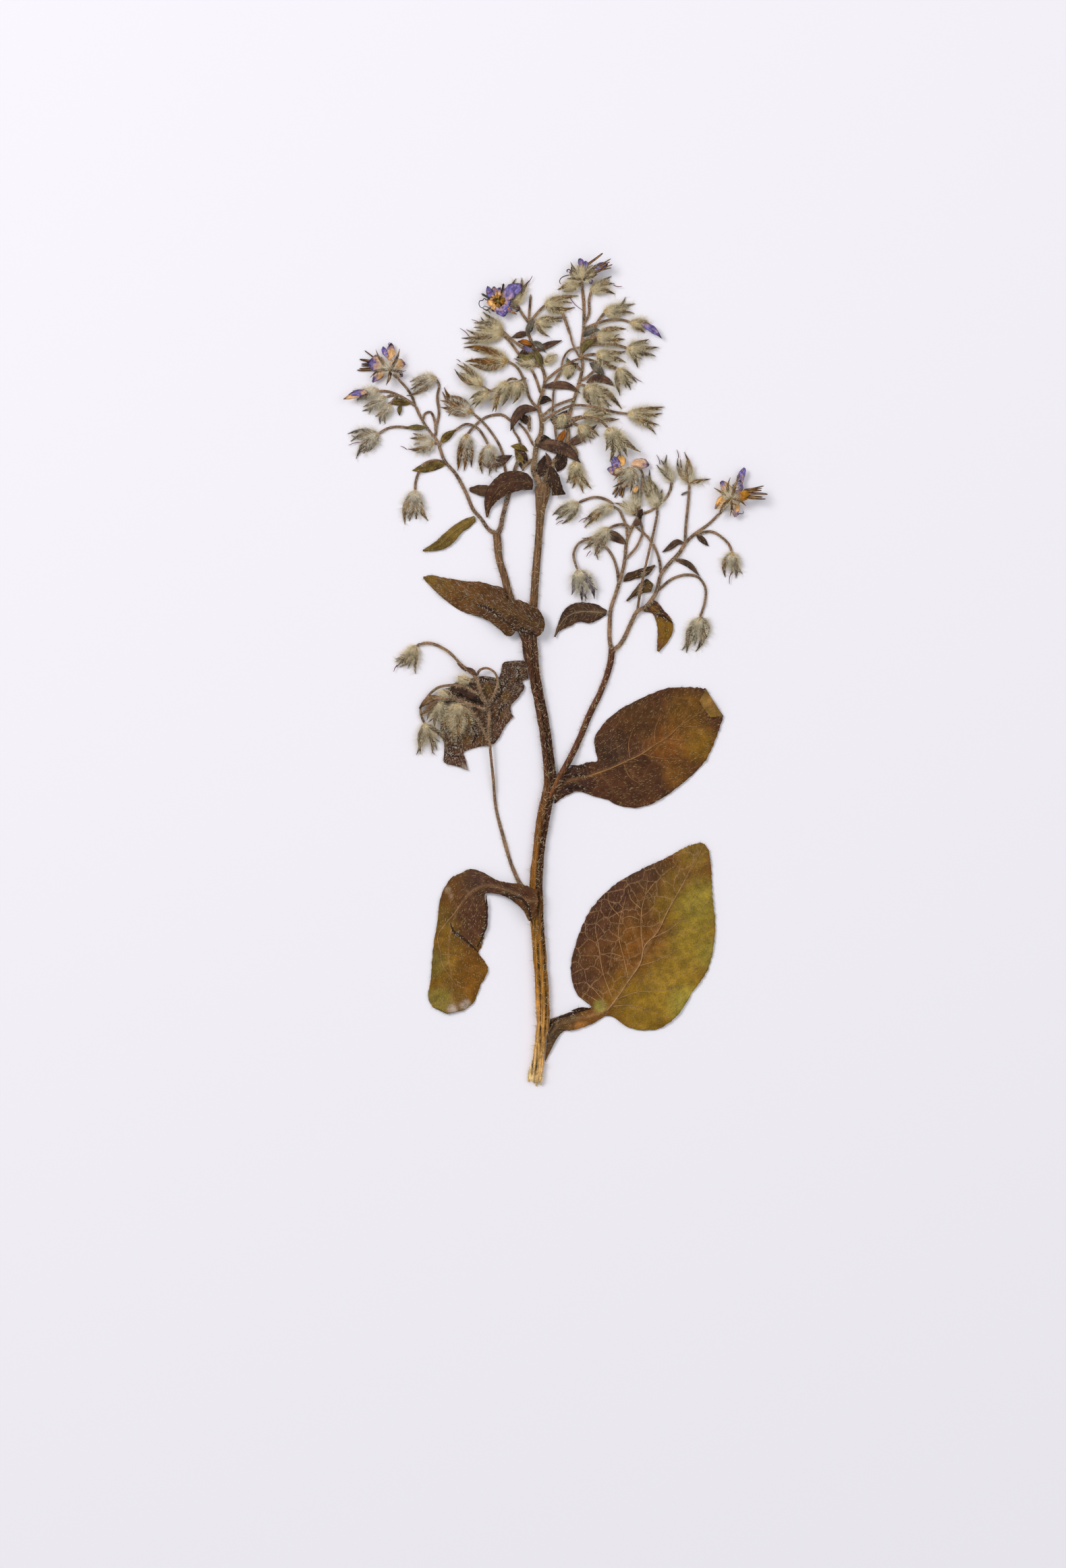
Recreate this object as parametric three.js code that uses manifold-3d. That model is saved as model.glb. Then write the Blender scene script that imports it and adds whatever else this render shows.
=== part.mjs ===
// Borage (Borago officinalis): one cut, pressed and dried flowering stem, lying flat.
// Millimetres, +Z up. The plant rests on the plane z = 0 and its stem runs along +Y.
// All places below are measured from the cut end of the stem; CENTRE moves the plant so
// that the middle of its length and width stands over the origin.
import * as THREE from 'three';
import Module from 'manifold-3d';

const wasm = await Module();
wasm.setup();

// ---------------------------------------------------------------- driving dimensions
const CENTRE = [5.28, 110.1]; // middle of the plant, from the cut end of the stem
const PRESSED = 0.72; // height of a pressed stem or stalk over its width
const STEM_HEIGHT = 2.4; // the thickest stem is pressed down to this height
const BLADE = 0.65; // thickness of a leaf blade
const PETAL = 0.65; // thickness of a petal
const BRACT = 0.8; // thickness at its keel of a bract, a fibre or a twisted bud petal
const ANTHER = 0.75; // thickness of an anther
const SEPAL_WIDTH = 2.0; // broadest place of one sepal
const SEPAL_THICKNESS = 0.9; // at its keel
const PEDICEL = 0.95; // width of a flower stalk
const CALYX_WIDTH = 2.7; // the cup that the sepals grow from
const CALYX_LENGTH = 2.6; // of that cup
const WAVE = 0.3; // height of the waves at a leaf's edge
const STEM_SIDES = 8; // corners of the stem's section
const BRANCH_SIDES = 6; // of a branch's
const STALK_SIDES = 4; // of a stalk's

// ---------------------------------------------------------------- stems: x, y, width, lift
// The lift is how high the underside lies above the sheet (0 where it isn't given).
const MAIN_STEM = [
  [-0.4, 0, 3.4], [0.4, 5.8, 3.0], [0.95, 10, 2.8], [1.7, 16.5, 3.3], [1.5, 24, 3.4],
  [0.85, 34, 3.3], [0.2, 43.5, 3.4], [0, 50, 3.4], [0.05, 55, 3.3], [0.65, 62, 3.0],
  [1.85, 71, 3.3], [3.6, 80, 3.2], [2.95, 88.5, 2.9], [1.5, 98.5, 2.8], [0.2, 105, 2.8],
  [-0.7, 110, 2.9], [-1.75, 117, 4.0], [-1.6, 121, 3.2], [-0.85, 127, 2.2], [-0.2, 136, 2.0],
  [0.35, 142, 1.9], [0.85, 148.5, 1.95], [1.2, 153.6, 2.6], [1.66, 157.4, 3.9],
  [1.7, 158, 4.0],
];
const UPPER_LEFT_BRANCH = [
  [-1.6, 113.5, 1.9, 0.2], [-3, 118, 1.9], [-5.5, 125, 1.9], [-7.05, 129.7, 1.9],
  [-9, 136.4, 1.9], [-10, 140, 1.9], [-10.5, 145.2, 2.1],
];
const RIGHT_BRANCH = [
  [3.2, 75, 1.7, 0.6], [5, 79, 1.7, 1.2], [6.8, 82.6, 1.6, 1.2], [9.1, 86.7, 1.6, 0.7],
  [11.6, 92, 1.6], [14, 97.9, 1.6], [17.4, 105, 1.5], [20, 114, 1.6],
];
const CUT_FIBRES = [ // slivers of rind at the cut end
  [[-1.2, 4.5, 1.2, 0.6], [-1.8, 2, 0.9, 0.4], [-2.3, 0.3, 0.3, 0.3]],
  [[-0.2, 3, 1.1, 0.3], [0, 0.6, 0.9, 0.2], [0, -1, 0.3, 0.2]],
  [[0.9, 3.4, 1.1, 0.7], [1.2, 1, 0.8, 0.7], [1.25, -0.6, 0.3, 0.6]],
];

// ---------------------------------------------------------------- leaves
// Each row crosses the blade from one edge over the midrib to the other edge:
// edge x, y, midrib x, y, other edge x, y, and the lift where the blade lies over something.
const LEAVES = {
  leaf_lower_right: [
    [3.75, 17, 3.05, 12.2, 2.3, 5.6], [5.8, 17.7, 6.2, 15.3, 6.25, 12.9],
    [11.25, 19.6, 11, 17, 10.4, 14.2], [14.2, 20, 15.5, 18, 15, 15.8],
    [14.4, 20.6, 18.2, 19.3, 19.4, 17.9], [10.8, 23.75, 20.8, 21.5, 24.6, 14.8],
    [9.2, 30, 23, 25, 31.7, 14.2], [10.4, 36.7, 25.5, 28.8, 37.5, 17.9],
    [13.75, 45, 28, 33, 41.5, 24], [20, 52.1, 31, 38.5, 45.8, 30.4],
    [28.3, 57.1, 34.5, 45, 47.7, 41], [34.2, 59.8, 38, 51, 47, 49.5],
    [40.1, 63, 41.8, 57.8, 46.6, 57.5], [43.7, 64.1, 44.8, 63.7, 46, 62],
  ],
  leaf_lower_left: [
    [0.3, 51.5, 0.6, 48.5, -0.1, 44.2, 2.75], [-1.9, 52.3, -2.2, 48.5, -2, 43.3, 2.75],
    [-4.2, 53.1, -4.8, 50, -3.5, 46, 2.5], [-8.1, 53.5, -7.8, 51.3, -7.3, 49.2, 1.6],
    [-11.2, 54.4, -11.6, 52.4, -11.9, 50.6, 0.9], [-13.5, 55.8, -13.8, 52.5, -13.7, 50.4, 0.5],
    [-17, 57, -16.5, 51.5, -13.4, 47, 0.2], [-20.4, 55.8, -19.5, 48.5, -13.3, 43.8],
    [-23.1, 54.2, -21.5, 45, -13.8, 39.6], [-25.4, 50, -22.6, 41.5, -14.6, 36.5],
    [-26.5, 42.3, -23.3, 37, -15.4, 34.6], [-27.3, 37.7, -23.5, 33, -13.8, 32.3],
    [-27.9, 31.9, -22.8, 29.5, -12.9, 29.9], [-28.2, 27.3, -22.5, 26, -15, 25.8],
    [-28.9, 22.8, -22.6, 21.8, -16.6, 21.6], [-27.7, 20.2, -23.8, 18.4, -19.2, 19.4],
  ],
  leaf_middle_right: [
    [5.55, 80.4, 5.15, 77.5, 4.75, 74.4], [8, 83.5, 7.8, 80, 7.6, 76.4],
    [11.9, 84.9, 11.8, 81.3, 11.6, 77.7], [14.2, 85.6, 15, 82.1, 15.8, 76.3],
    [16.3, 85.9, 17.6, 83, 19, 75.5], [15.8, 88.4, 20, 84, 21.8, 74],
    [15.45, 91.6, 22.3, 85, 26, 73.4], [17.3, 95, 25, 86.3, 29.6, 74],
    [20.8, 98.5, 28.1, 87.8, 33.5, 75.9], [25, 101.1, 31, 89.8, 37.5, 78.7],
    [30.3, 103.6, 34, 91.6, 42, 82.5], [34.7, 105.2, 37, 94.2, 45.1, 86],
    [40.8, 105.5, 41, 97, 47.3, 90.4], [45.2, 105.1, 47.2, 101.2, 49.9, 97.8],
  ],
  leaf_middle_left: [
    [-3.2, 112.7, -2.65, 110.2, -2.15, 107.8], [-6.15, 112.6, -4.5, 109, -3.65, 107],
    [-8.6, 112.2, -6, 107.5, -3.2, 105.5], [-9.5, 109.5, -8.5, 106, -4.8, 102.8],
    [-10.3, 108.1, -11, 104.5, -6.7, 100.6], [-14.4, 108.5, -13, 102.5, -6.7, 98.7],
    [-18.5, 107.5, -15, 100, -6.2, 97.5], [-22.3, 106.4, -16.8, 97.5, -8.1, 95.4],
    [-24.3, 103, -18.2, 95, -10, 92], [-25.5, 98, -19.3, 92.5, -11.8, 90.1],
    [-25.5, 93, -20.3, 90.3, -15, 89.7], [-24.6, 90, -21, 88.2, -19.4, 88.1],
    [-24.7, 85.8, -21.5, 86.4, -18.8, 86.2], [-23.8, 85, -21.3, 84.7, -18.3, 83.4],
  ],
  leaf_upper_left: [
    [1.9, 124.1, 2.3, 122.2, 1.9, 120.4, 2.75], [0.4, 126.3, -0.4, 122.4, 0.4, 119.1, 2.75],
    [-2.05, 127.7, -2.5, 123.3, -1.3, 120.2, 2.75], [-4.6, 128.7, -4.8, 124.4, -4.4, 121.3, 2.5],
    [-7.6, 128.9, -7.2, 125.4, -7.2, 118.95, 2.1], [-8.7, 131.8, -9.7, 126.2, -10, 121, 1.8],
    [-11.3, 132.6, -12.2, 127.2, -12.6, 123.1, 1.2], [-14.5, 133.5, -15, 128.3, -16, 124.5, 0.6],
    [-18.7, 133.8, -19, 129.6, -20, 125.8], [-23.8, 134.6, -22.8, 130.9, -22.9, 127.7],
    [-28.15, 135.4, -27, 132.7, -26.2, 130.4], [-30.1, 135, -30.1, 134.6, -29.2, 133.4],
  ],
  leaf_left_arm: [
    [-16.6, 151.2, -16.3, 150.8, -16.2, 149.7], [-18.6, 150.6, -18, 149.6, -17.6, 148.3],
    [-21.5, 149, -20.8, 147.9, -19.8, 146.8], [-24.6, 146.5, -23.6, 145.5, -22.4, 143.8],
    [-27, 144.3, -26.2, 143.3, -25.2, 142.2], [-30.2, 142.2, -30.3, 141.9, -30, 141.7],
  ],
  leaf_fork_left: [
    [-1, 160.8, -0.85, 159.5, -1.05, 158.1, 1.8], [-2.5, 162.5, -3, 160.3, -3.5, 158, 1.8],
    [-5.5, 163.1, -5.8, 160.2, -6, 157.5, 1.8], [-8.5, 162.8, -8.6, 159.5, -8.2, 156.6, 1.8],
    [-11, 161.1, -10.8, 157.5, -9.9, 155.5, 1.5], [-13.2, 158.2, -12.2, 155.5, -11.2, 154.4, 0.8],
    [-13.9, 154.8, -13, 153.2, -12.2, 153, 0.3], [-13.4, 151, -13.1, 150.8, -12.8, 151.2],
  ],
  leaf_fork_right: [
    [3.6, 164.3, 4.1, 164.3, 4.6, 163.9, 2.1], [3, 162, 4.4, 161.8, 5.9, 162.2, 2.1],
    [3.1, 159.5, 4.9, 159.5, 6.7, 159.6, 2.1], [4.2, 157.9, 5.7, 157.6, 7.3, 157.9, 1.6],
    [4.2, 156.6, 5.9, 156.7, 7.8, 156.9, 1.2],
  ],
  leaf_right_branch: [
    [18.8, 126, 18.75, 125.3, 18.5, 124.7], [16.6, 127.4, 16.8, 125.5, 16.2, 123.3],
    [14, 128, 14, 125.6, 13.8, 122.6], [11.5, 128.15, 11.6, 125.6, 11.4, 123],
    [9.2, 127.5, 9.4, 125, 9.4, 122], [7.2, 125.8, 7.5, 123.7, 7.6, 121.2],
    [5.9, 122.8, 6.1, 121.7, 6.1, 120.4], [4.8, 119.2, 4.85, 118.9, 5.1, 118.95],
  ],
  leaf_right_fork: [
    [29.5, 125.6, 30.9, 126.8, 32.1, 127.8], [30.8, 125.3, 32.3, 125.6, 34.1, 125.9],
    [31.8, 123.6, 33.5, 123.8, 35.6, 124.3], [32.2, 121.5, 34, 121.7, 36.4, 122.3],
    [32.3, 119.5, 34.1, 119.4, 36.3, 120], [32.2, 117.5, 33.6, 117.4, 35, 117.6],
    [32.2, 115.2, 32.5, 115, 32.9, 115.2],
  ],
  leaf_outer_arm_upper: [
    [23.4, 134.8, 23.3, 134.2, 23.2, 133.6], [24, 135.8, 24.5, 134.8, 24.8, 133.9],
    [26, 136.5, 26.8, 135.6, 27, 134.6], [28.2, 137.3, 28.8, 136.3, 29.3, 135.1],
    [30, 137.7, 30.3, 137.2, 30.6, 136.3], [31.5, 138.2, 31.7, 138, 31.6, 137.7],
  ],
  leaf_outer_arm_lower: [
    [31.2, 132.9, 30.9, 131.9, 30.6, 131], [30, 134.2, 29.8, 132.3, 29.8, 130.8],
    [28.4, 134, 28.2, 132, 28.3, 130.6], [27, 132.6, 26.9, 131.3, 26.9, 130],
    [25.6, 130.8, 25.7, 130.1, 25.8, 129.5], [24, 128.7, 24.1, 128.5, 24.4, 128.4],
  ],
};
const TIP_FLAP = [ // tip of the middle right leaf, turned back over the blade
  [45.4, 104.8, 47.5, 101.2, 49.6, 98.1, 0.5], [44.6, 103.4, 46, 101.1, 48, 98.2, 0.7],
  [44.1, 102.4, 44.5, 101.6, 45.4, 100.6, 0.7],
];
const CRUMPLED_BRACT = [
  [-12.6, 159.2, -12.3, 157.6, -12.4, 156, 1], [-15, 159.5, -15, 158, -15, 156.6, 0.6],
  [-17.8, 158.8, -17.9, 158.2, -17.6, 157.6, 0.3],
];

// ---------------------------------------------------------------- sprays of flowers
// arms: x, y, width, lift. calyces: stalk x, y, lift up to the cup; tips of the sepals; the
// lift of the cup and, where it isn't the usual one, the width of the sepals. bracts: x, y,
// width, lift.
const CYME_LOWER_LEFT = {
  arms: [
    [[-2.6, 51.2, 1.3, 0.2], [-4.2, 52.9, 1.3, 0.1], [-6.15, 56.9, 1.2], [-8.8, 65.4, 1.2],
      [-10.8, 73.5, 1.0], [-11.5, 81, 1.0, 0.9], [-12.2, 88, 0.95, 1.5], [-12.7, 94, 0.95, 1.6],
      [-12.7, 99, 1.1, 1.6], [-14.9, 104.4, 1.2, 1.6], [-16.15, 108, 1.2, 1.6],
      [-20, 111.5, 1.0, 1.1], [-24.2, 115.5, 1.0, 0.4], [-29.7, 117.3, 1.0, 0.3],
      [-31.5, 116.8, 1.0, 0.3]],
    [[-16, 108.2, 0.8, 1.9], [-15.1, 110, 0.8, 1.9], [-13.3, 110.6, 0.8, 1.8],
      [-11.3, 109.6, 0.8, 1.7], [-10.3, 107, 0.8, 1.6], [-11.3, 103.6, 0.8, 1.6],
      [-12.9, 100.8, 0.8, 1.8]],
    [[-13.2, 99.4, 1.0, 1.9], [-18.7, 101.3, 0.95, 1.9], [-22, 102.3, 0.9, 1.8],
      [-27.5, 102.5, 0.9, 1.4]],
  ],
  calyces: [
    { stalk: [[-31.2, 116.9, 0.3]], cup: [-31.9, 116.5], lift: 0.2,
      tips: [[-37.8, 113.3], [-37.6, 112], [-36.3, 110.9], [-32.8, 109.2]] },
    { stalk: [[-14.3, 101.8, 2.2], [-16.9, 104.4, 2.2], [-20, 105.8, 2.1], [-23.3, 106, 1.8],
      [-26.15, 105.4, 1.2], [-29.5, 102.3, 0.8], [-30.9, 99.6, 0.5], [-30.5, 97.4, 0.5]],
      cup: [-29.9, 95.8], lift: 0.4, tips: [[-32.3, 87.7], [-30.2, 87.6], [-25.9, 89]] },
    { stalk: [[-13.2, 98.6, 1.9], [-16, 99.9, 1.9]], cup: [-18.6, 99.7], lift: 1.4, width: 2.6,
      tips: [[-18, 91.5], [-21.1, 90.6], [-23.5, 90], [-25.6, 93]] },
  ],
  bracts: [
    [[-25.6, 102.4, 1.2, 1.8], [-28.6, 100.6, 1.7, 1.3], [-31, 98.2, 0.5, 0.6]],
    [[-27, 102.5, 1.0, 1.4], [-29.5, 102, 1.6, 1.2], [-31.4, 100.2, 0.5, 0.9]],
    [[-15.4, 106.6, 1.0, 1.9], [-18.8, 107.4, 1.6, 2.0], [-21, 106.7, 0.5, 1.9]],
  ],
};
const CYMES_UPPER_LEFT = {
  arms: [
    [[-10.5, 145.6, 1.8], [-10.7, 146.3, 1.7], [-12.4, 147.3, 1.4], [-14.8, 150.5, 1.2],
      [-16.8, 152.8, 1.2], [-18.7, 157.2, 1.2], [-21.7, 162.6, 1.2], [-24.3, 165.6, 1.1],
      [-26.9, 171.8, 1.1], [-28.15, 173.3, 1.0], [-31.2, 178.2, 1.0], [-32.3, 180.7, 1.0]],
    [[-10.5, 145.6, 1.8], [-10.3, 146.4, 1.8], [-9.6, 148, 1.7], [-9, 151, 1.6], [-7.2, 157.5, 1.5],
      [-5.6, 164, 1.3], [-4.2, 168.5, 1.1], [-4.6, 171.5, 0.9], [-6.1, 174.1, 0.8],
      [-6.7, 176.8, 0.9]],
    [[-26.9, 173.2, 0.8, 0.1], [-27.1, 176.4, 0.8, 0.1], [-28.4, 179, 0.8, 0.1],
      [-29.8, 178.4, 0.8, 0.1], [-30.2, 176.4, 0.8, 0.1]],
  ],
  calyces: [
    { stalk: [[-24.3, 165.5, 0.1], [-27.4, 166, 0.1], [-30, 165, 0.1], [-31.5, 162.5, 0.1],
      [-32.3, 159.6, 0.1]], cup: [-32.3, 158], lift: 0.1, width: 2.4,
      tips: [[-35.5, 149.1], [-33.8, 149.8], [-31.7, 150.4], [-29.3, 149.7]] },
    { stalk: [[-32.3, 180.4, 0.1], [-34, 181.8, 0.1], [-36.6, 183.3, 0.1], [-40.4, 184.5, 0.1]],
      cup: [-42, 184.5], lift: 0.2, width: 1.7, tips: [[-49, 184.4], [-48.7, 183.2],
        [-48, 181.9]] },
    { stalk: [[-36.6, 183.1, 0.1], [-38.5, 183.4, 0.1]], cup: [-40.2, 182.9], lift: 0.1,
      width: 1.7, tips: [[-46.4, 179.1], [-45, 178.7], [-46.2, 180.5]] },
    { stalk: [[-36.9, 183.2, 0.1], [-38, 182.2, 0.1]], cup: [-39, 181], lift: 0.1, width: 1.6,
      tips: [[-42.1, 176], [-40.9, 176], [-42.8, 177.6]] },
    { stalk: [[-26.9, 172.6, 0.1], [-26.6, 175.4, 0.1], [-26, 178.2, 0.1], [-26.4, 183.1, 0.1],
      [-26, 186.4, 0.1]], cup: [-26.8, 188.2], lift: 0.1, width: 1.8,
      tips: [[-33.8, 187], [-33.2, 185.8], [-33.3, 184.4], [-34.3, 182.8]] },
    { stalk: [[-29.2, 174.9, 0.1], [-31.5, 175, 0.2], [-34, 174.7, 0.2], [-36.6, 175, 0.2],
      [-40, 174.4, 0.1]], cup: [-42, 173.1], lift: 0.1,
      tips: [[-50.3, 173.3], [-49.6, 171.3], [-48.1, 166.5], [-46.4, 168]] },
    { stalk: [[-26, 170.6, 0.1]], cup: [-27.2, 170.6], lift: 0.1, width: 1.8,
      tips: [[-33, 173.2], [-33.7, 171.6], [-34.2, 169], [-32, 168]] },
    { stalk: [[-6.6, 176.4, 0.1], [-9, 178.1, 0.1], [-11.5, 178.1, 0.1], [-14.1, 177.2, 0.1],
      [-16.8, 174.9, 0.2]], cup: [-18.6, 173], lift: 0.3, width: 2.4,
      tips: [[-17, 164.2], [-18.9, 163.1], [-20.7, 163.2], [-21.8, 165.2]] },
    { stalk: [[-6.6, 160, 0.1], [-8.2, 163.1, 0.1], [-8.7, 166.7, 0.1], [-9.7, 169.7, 0.1],
      [-11.5, 172.8, 0.1], [-14.4, 176.3, 0.2]], cup: [-17, 178.8], lift: 0.1, width: 2.2,
      tips: [[-24.8, 185.3], [-25.5, 183.7], [-25.8, 181.8], [-25.6, 180.4], [-23.5, 178.7]] },
    { stalk: [[-26, 169.5, 0.3], [-24.3, 172.5, 0.3], [-21.5, 174.1, 0.3], [-18.6, 175.7, 0.6],
      [-16, 174.8, 0.6], [-14, 172.3, 0.5]], cup: [-12.8, 170.2], lift: 0.3, width: 2.2,
      tips: [[-14.4, 162.4], [-12.6, 162], [-10.9, 162.9], [-10, 164]] },
    { stalk: [[-32.3, 180.4, 0.1], [-33.2, 183.1, 0.4], [-34.6, 185.2, 1.0], [-37, 187.8, 1.9]],
      cup: [-38.8, 189.8], lift: 2.2, width: 1.9, tips: [[-42.9, 195.3], [-36.1, 195.5],
        [-44.3, 188.2], [-34.8, 189.5], [-40.2, 186]] },
  ],
  bracts: [
    [[-24.2, 164.9, 1.5, 0.1], [-27.4, 164.7, 2.4, 0.1], [-30, 164, 2.2, 0.1],
      [-33.1, 163.3, 0.5, 0.1]],
    [[-33.4, 181.2, 1.2, 0.1], [-37, 181.6, 1.6, 0.1], [-39.6, 181.2, 0.5, 0.1]],
    [[-25.6, 170.5, 1.2, 0.3], [-24, 172.3, 1.7, 0.5], [-21.5, 174.1, 0.6, 0.5]],
    [[-2.4, 168.6, 1.2, 0.2], [-4.6, 169.5, 1.7, 0.2], [-6.8, 169.9, 0.5, 0.1]],
    [[-2.5, 164.4, 1.0, 0.2], [-4.1, 166.4, 1.8, 0.2], [-5.8, 168.9, 0.5, 0.2]],
  ],
};
const CYMES_APEX = {
  arms: [
    [[1.72, 158.4, 3.0], [1.7, 159, 2.8], [0.4, 160.8, 2.2], [-0.7, 162.8, 1.9], [-0.4, 166.7, 1.8],
      [0, 169.8, 1.8], [1.2, 173.1, 1.6], [1.3, 176.9, 1.5], [0.6, 180, 1.4], [1.8, 184.6, 1.3],
      [2.3, 187.7, 1.2], [1.3, 191.3, 1.1], [-1.5, 198, 1.0], [-2.3, 200.5, 1.0],
      [-2, 202.8, 1.0]],
    [[1.75, 158.4, 2.4], [1.9, 159.2, 2.3], [3.1, 162.6, 1.7], [4.6, 165.4, 1.6], [8.4, 171.5, 1.4],
      [8.4, 176.2, 1.3], [9.8, 181.5, 1.2], [11, 185.4, 1.2], [12.3, 191.6, 1.1],
      [12.0, 194.6, 1.1], [12.6, 201.5, 1.0], [12.6, 208, 1.0], [12.2, 212.2, 1.0]],
    [[1.0, 177.2, 0.8, 0.3], [4.9, 180.5, 0.8, 0.5], [9, 182, 0.8, 0.3]],
    [[5.7, 168.4, 0.8, 0.8], [5.1, 173.8, 0.8, 0.6], [4.4, 179.5, 0.8, 0.6],
      [4.6, 184.9, 0.8, 0.4]],
    [[-0.6, 169.6, 0.8, 0.5], [-3.1, 174.2, 0.8, 0.4], [-4.9, 176.2, 0.7, 0.3]],
    [[6.9, 189.5, 0.7, 0.5], [6.8, 191.6, 0.7, 0.5], [8.6, 195.2, 0.7, 0.5],
      [12.2, 196.3, 0.7, 0.3]],
    [[12, 192.8, 0.7, 0.3], [9.7, 196.9, 0.7, 0.7], [9, 200, 0.7, 0.3]],
    [[-2, 202.4, 0.8, 0.1], [-1.7, 208, 0.8, 0.1], [-1.5, 210.4, 0.8, 0.1]],
    [[11.6, 187, 0.8, 0.2], [13.2, 188, 0.8, 0.2], [16.7, 191.3, 0.8, 0.2]],
  ],
  calyces: [
    { stalk: [[1.1, 184.1, 0.1], [-1, 189.7, 0.2], [-4.6, 194.2, 0.2], [-7.2, 197.8, 0.2]],
      cup: [-9, 199.7], lift: 0.1, tips: [[-16.7, 201.5], [-18.7, 200.5], [-20, 198.8],
        [-19.2, 196.9]] },
    { stalk: [[1.3, 190.6, 0.2], [-0.4, 193.6, 0.5], [-4.6, 196.7, 0.5], [-7, 198.6, 0.5]],
      cup: [-8.9, 200.6], lift: 0.3, tips: [[-14.5, 205.4], [-15.1, 203.8], [-16.7, 202.5]] },
    { stalk: [[0.5, 179.6, 0.3], [-1.5, 182, 0.4], [-3.3, 187.4, 0.4], [-5.6, 191.2, 0.3]],
      cup: [-7.5, 192.4], lift: 0.2, width: 2.6, tips: [[-15.1, 196.2], [-19.1, 196.9],
        [-18.8, 193.7], [-18, 192]] },
    { stalk: [[-3.2, 187.2, 0.6], [-7.5, 186.4, 1.2], [-12.3, 184.5, 1.2]],
      cup: [-14.5, 185.7], lift: 0.8, width: 1.8, tips: [[-19.8, 191.9], [-21.5, 191.4],
        [-22.1, 189.9], [-20.7, 189.2]] },
    { stalk: [[-10, 185.3, 1.6], [-11.2, 184.9, 1.8]], cup: [-12.6, 184.1], lift: 1.8,
      width: 1.7, tips: [[-17.4, 180.5], [-16.3, 179.9], [-17.9, 182.2]] },
    { stalk: [[-5.4, 187.6, 1.1], [-6.8, 187.7, 1.3]], cup: [-8, 187], lift: 1.4, width: 2.1,
      tips: [[-11.8, 178.9], [-10.3, 178.7], [-12.4, 182]] },
    { stalk: [[-3, 187.8, 0.8]], cup: [-4.9, 187], lift: 1.0, width: 1.9,
      tips: [[-8.5, 180], [-6, 181], [-3.6, 183.6]] },
    { stalk: [[1.2, 191, 0.2]], cup: [-0.2, 191.5], lift: 0.3, width: 1.3,
      tips: [[-5.9, 193.3], [-5.6, 192]] },
    { stalk: [[0.6, 192, 0.2]], cup: [1.9, 192.2], lift: 0.3, width: 1.2,
      tips: [[5.3, 194.5], [4.4, 192.8]] },
    { stalk: [[-2, 202.6, 0.2], [-4.1, 205.6, 0.3]], cup: [-5.4, 207.6], lift: 0.2,
      tips: [[-6, 214.5], [-3.9, 214.7], [-2.2, 214.1]] },
    { stalk: [[-4.6, 206.2, 0.2], [-6.6, 207.2, 0.1]], cup: [-8.4, 208], lift: 0.0, width: 1.7,
      tips: [[-14.7, 210.4], [-8.9, 213], [-5.4, 204.9], [-13.6, 206.2]] },
    { stalk: [[-2, 202.6, 0.3], [0.5, 205.6, 0.3]], cup: [2.2, 207.6], lift: 0.2,
      tips: [[11.2, 210], [8.2, 209.5], [10.2, 206.7], [6.9, 205.4]] },
    { stalk: [[-2, 202.4, 0.4]], cup: [-0.2, 203.1], lift: 0.3, width: 1.5,
      tips: [[8.2, 204.2], [7, 203.2], [3.2, 198.9]] },
    { stalk: [[2.3, 187.2, 0.2], [7.2, 191, 0.6], [12.6, 193.2, 0.9], [15.9, 192.3, 0.7],
      [19.6, 190.8, 0.4]], cup: [21.8, 190.6], lift: 0.2, width: 1.7,
      tips: [[26.7, 186.7], [25.3, 184.9], [22.8, 183.3]] },
    { stalk: [[1.3, 176.2, 0.6], [5.6, 179, 1.0], [9.2, 180.5, 1.2], [15.1, 180.3, 0.9],
      [22, 178.7, 0.4]], cup: [24.4, 178.5], lift: 0.3, tips: [[34.2, 180.3], [33.6, 178.6],
        [32.7, 175.6], [32.3, 173.6]] },
    { stalk: [[8.6, 177, 0.2], [10.4, 177.4, 0.3]], cup: [12.4, 177.8], lift: 0.2, width: 1.9,
      tips: [[22, 176.7], [21.4, 178.4], [19.6, 179.4]] },
    { stalk: [[8.3, 175.6, 0.4], [11.4, 177, 1.5], [14.6, 177.4, 2.2], [17.4, 176.2, 2.6]],
      cup: [19.1, 174.6], lift: 2.7, width: 2.5, tips: [[27.4, 167.6], [24.2, 166.8],
        [20, 165.6], [18.6, 168.4]] },
    { stalk: [[8.4, 175.8, 0.4], [10, 175.8, 0.4]], cup: [11.4, 175.3], lift: 0.3, width: 1.8,
      tips: [[16.6, 172.3], [15.2, 171.6], [13.4, 170.8]] },
    { stalk: [[8.5, 178.4, 0.4]], cup: [7.2, 178.4], lift: 0.6, width: 1.3,
      tips: [[5.5, 175], [7, 174.8]] },
    { stalk: [[11.8, 190, 0.3], [10.6, 191.2, 0.4]], cup: [9.6, 191.4], lift: 0.3, width: 1.3,
      tips: [[7.2, 189], [8.4, 188.6]] },
    { stalk: [[8.2, 170.6, 0.3], [9.8, 169.8, 0.5], [10.9, 167.6, 0.4]], cup: [10.2, 165.8],
      lift: 0.2, width: 2.2, tips: [[12.1, 157.2], [14.9, 158.5], [9.8, 158.6], [8, 160]] },
    { stalk: [[11.2, 186.4, 0.3]], cup: [13.3, 186], lift: 0.2, width: 2.6,
      tips: [[19.5, 180], [17, 179.3], [14.4, 180.4], [22.6, 179.4]] },
    { stalk: [[12, 195.6, 0.3], [16, 196.9, 0.7], [21, 196.8, 0.9]], cup: [24.2, 195.9],
      lift: 0.5, width: 1.8, tips: [[32.7, 196.7], [32, 194.6], [30, 198.4], [26.9, 190.6]] },
    { stalk: [[12.2, 197.2, 0.3], [14, 198.6, 0.3]], cup: [16, 199], lift: 0.3, width: 2.1,
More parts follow.
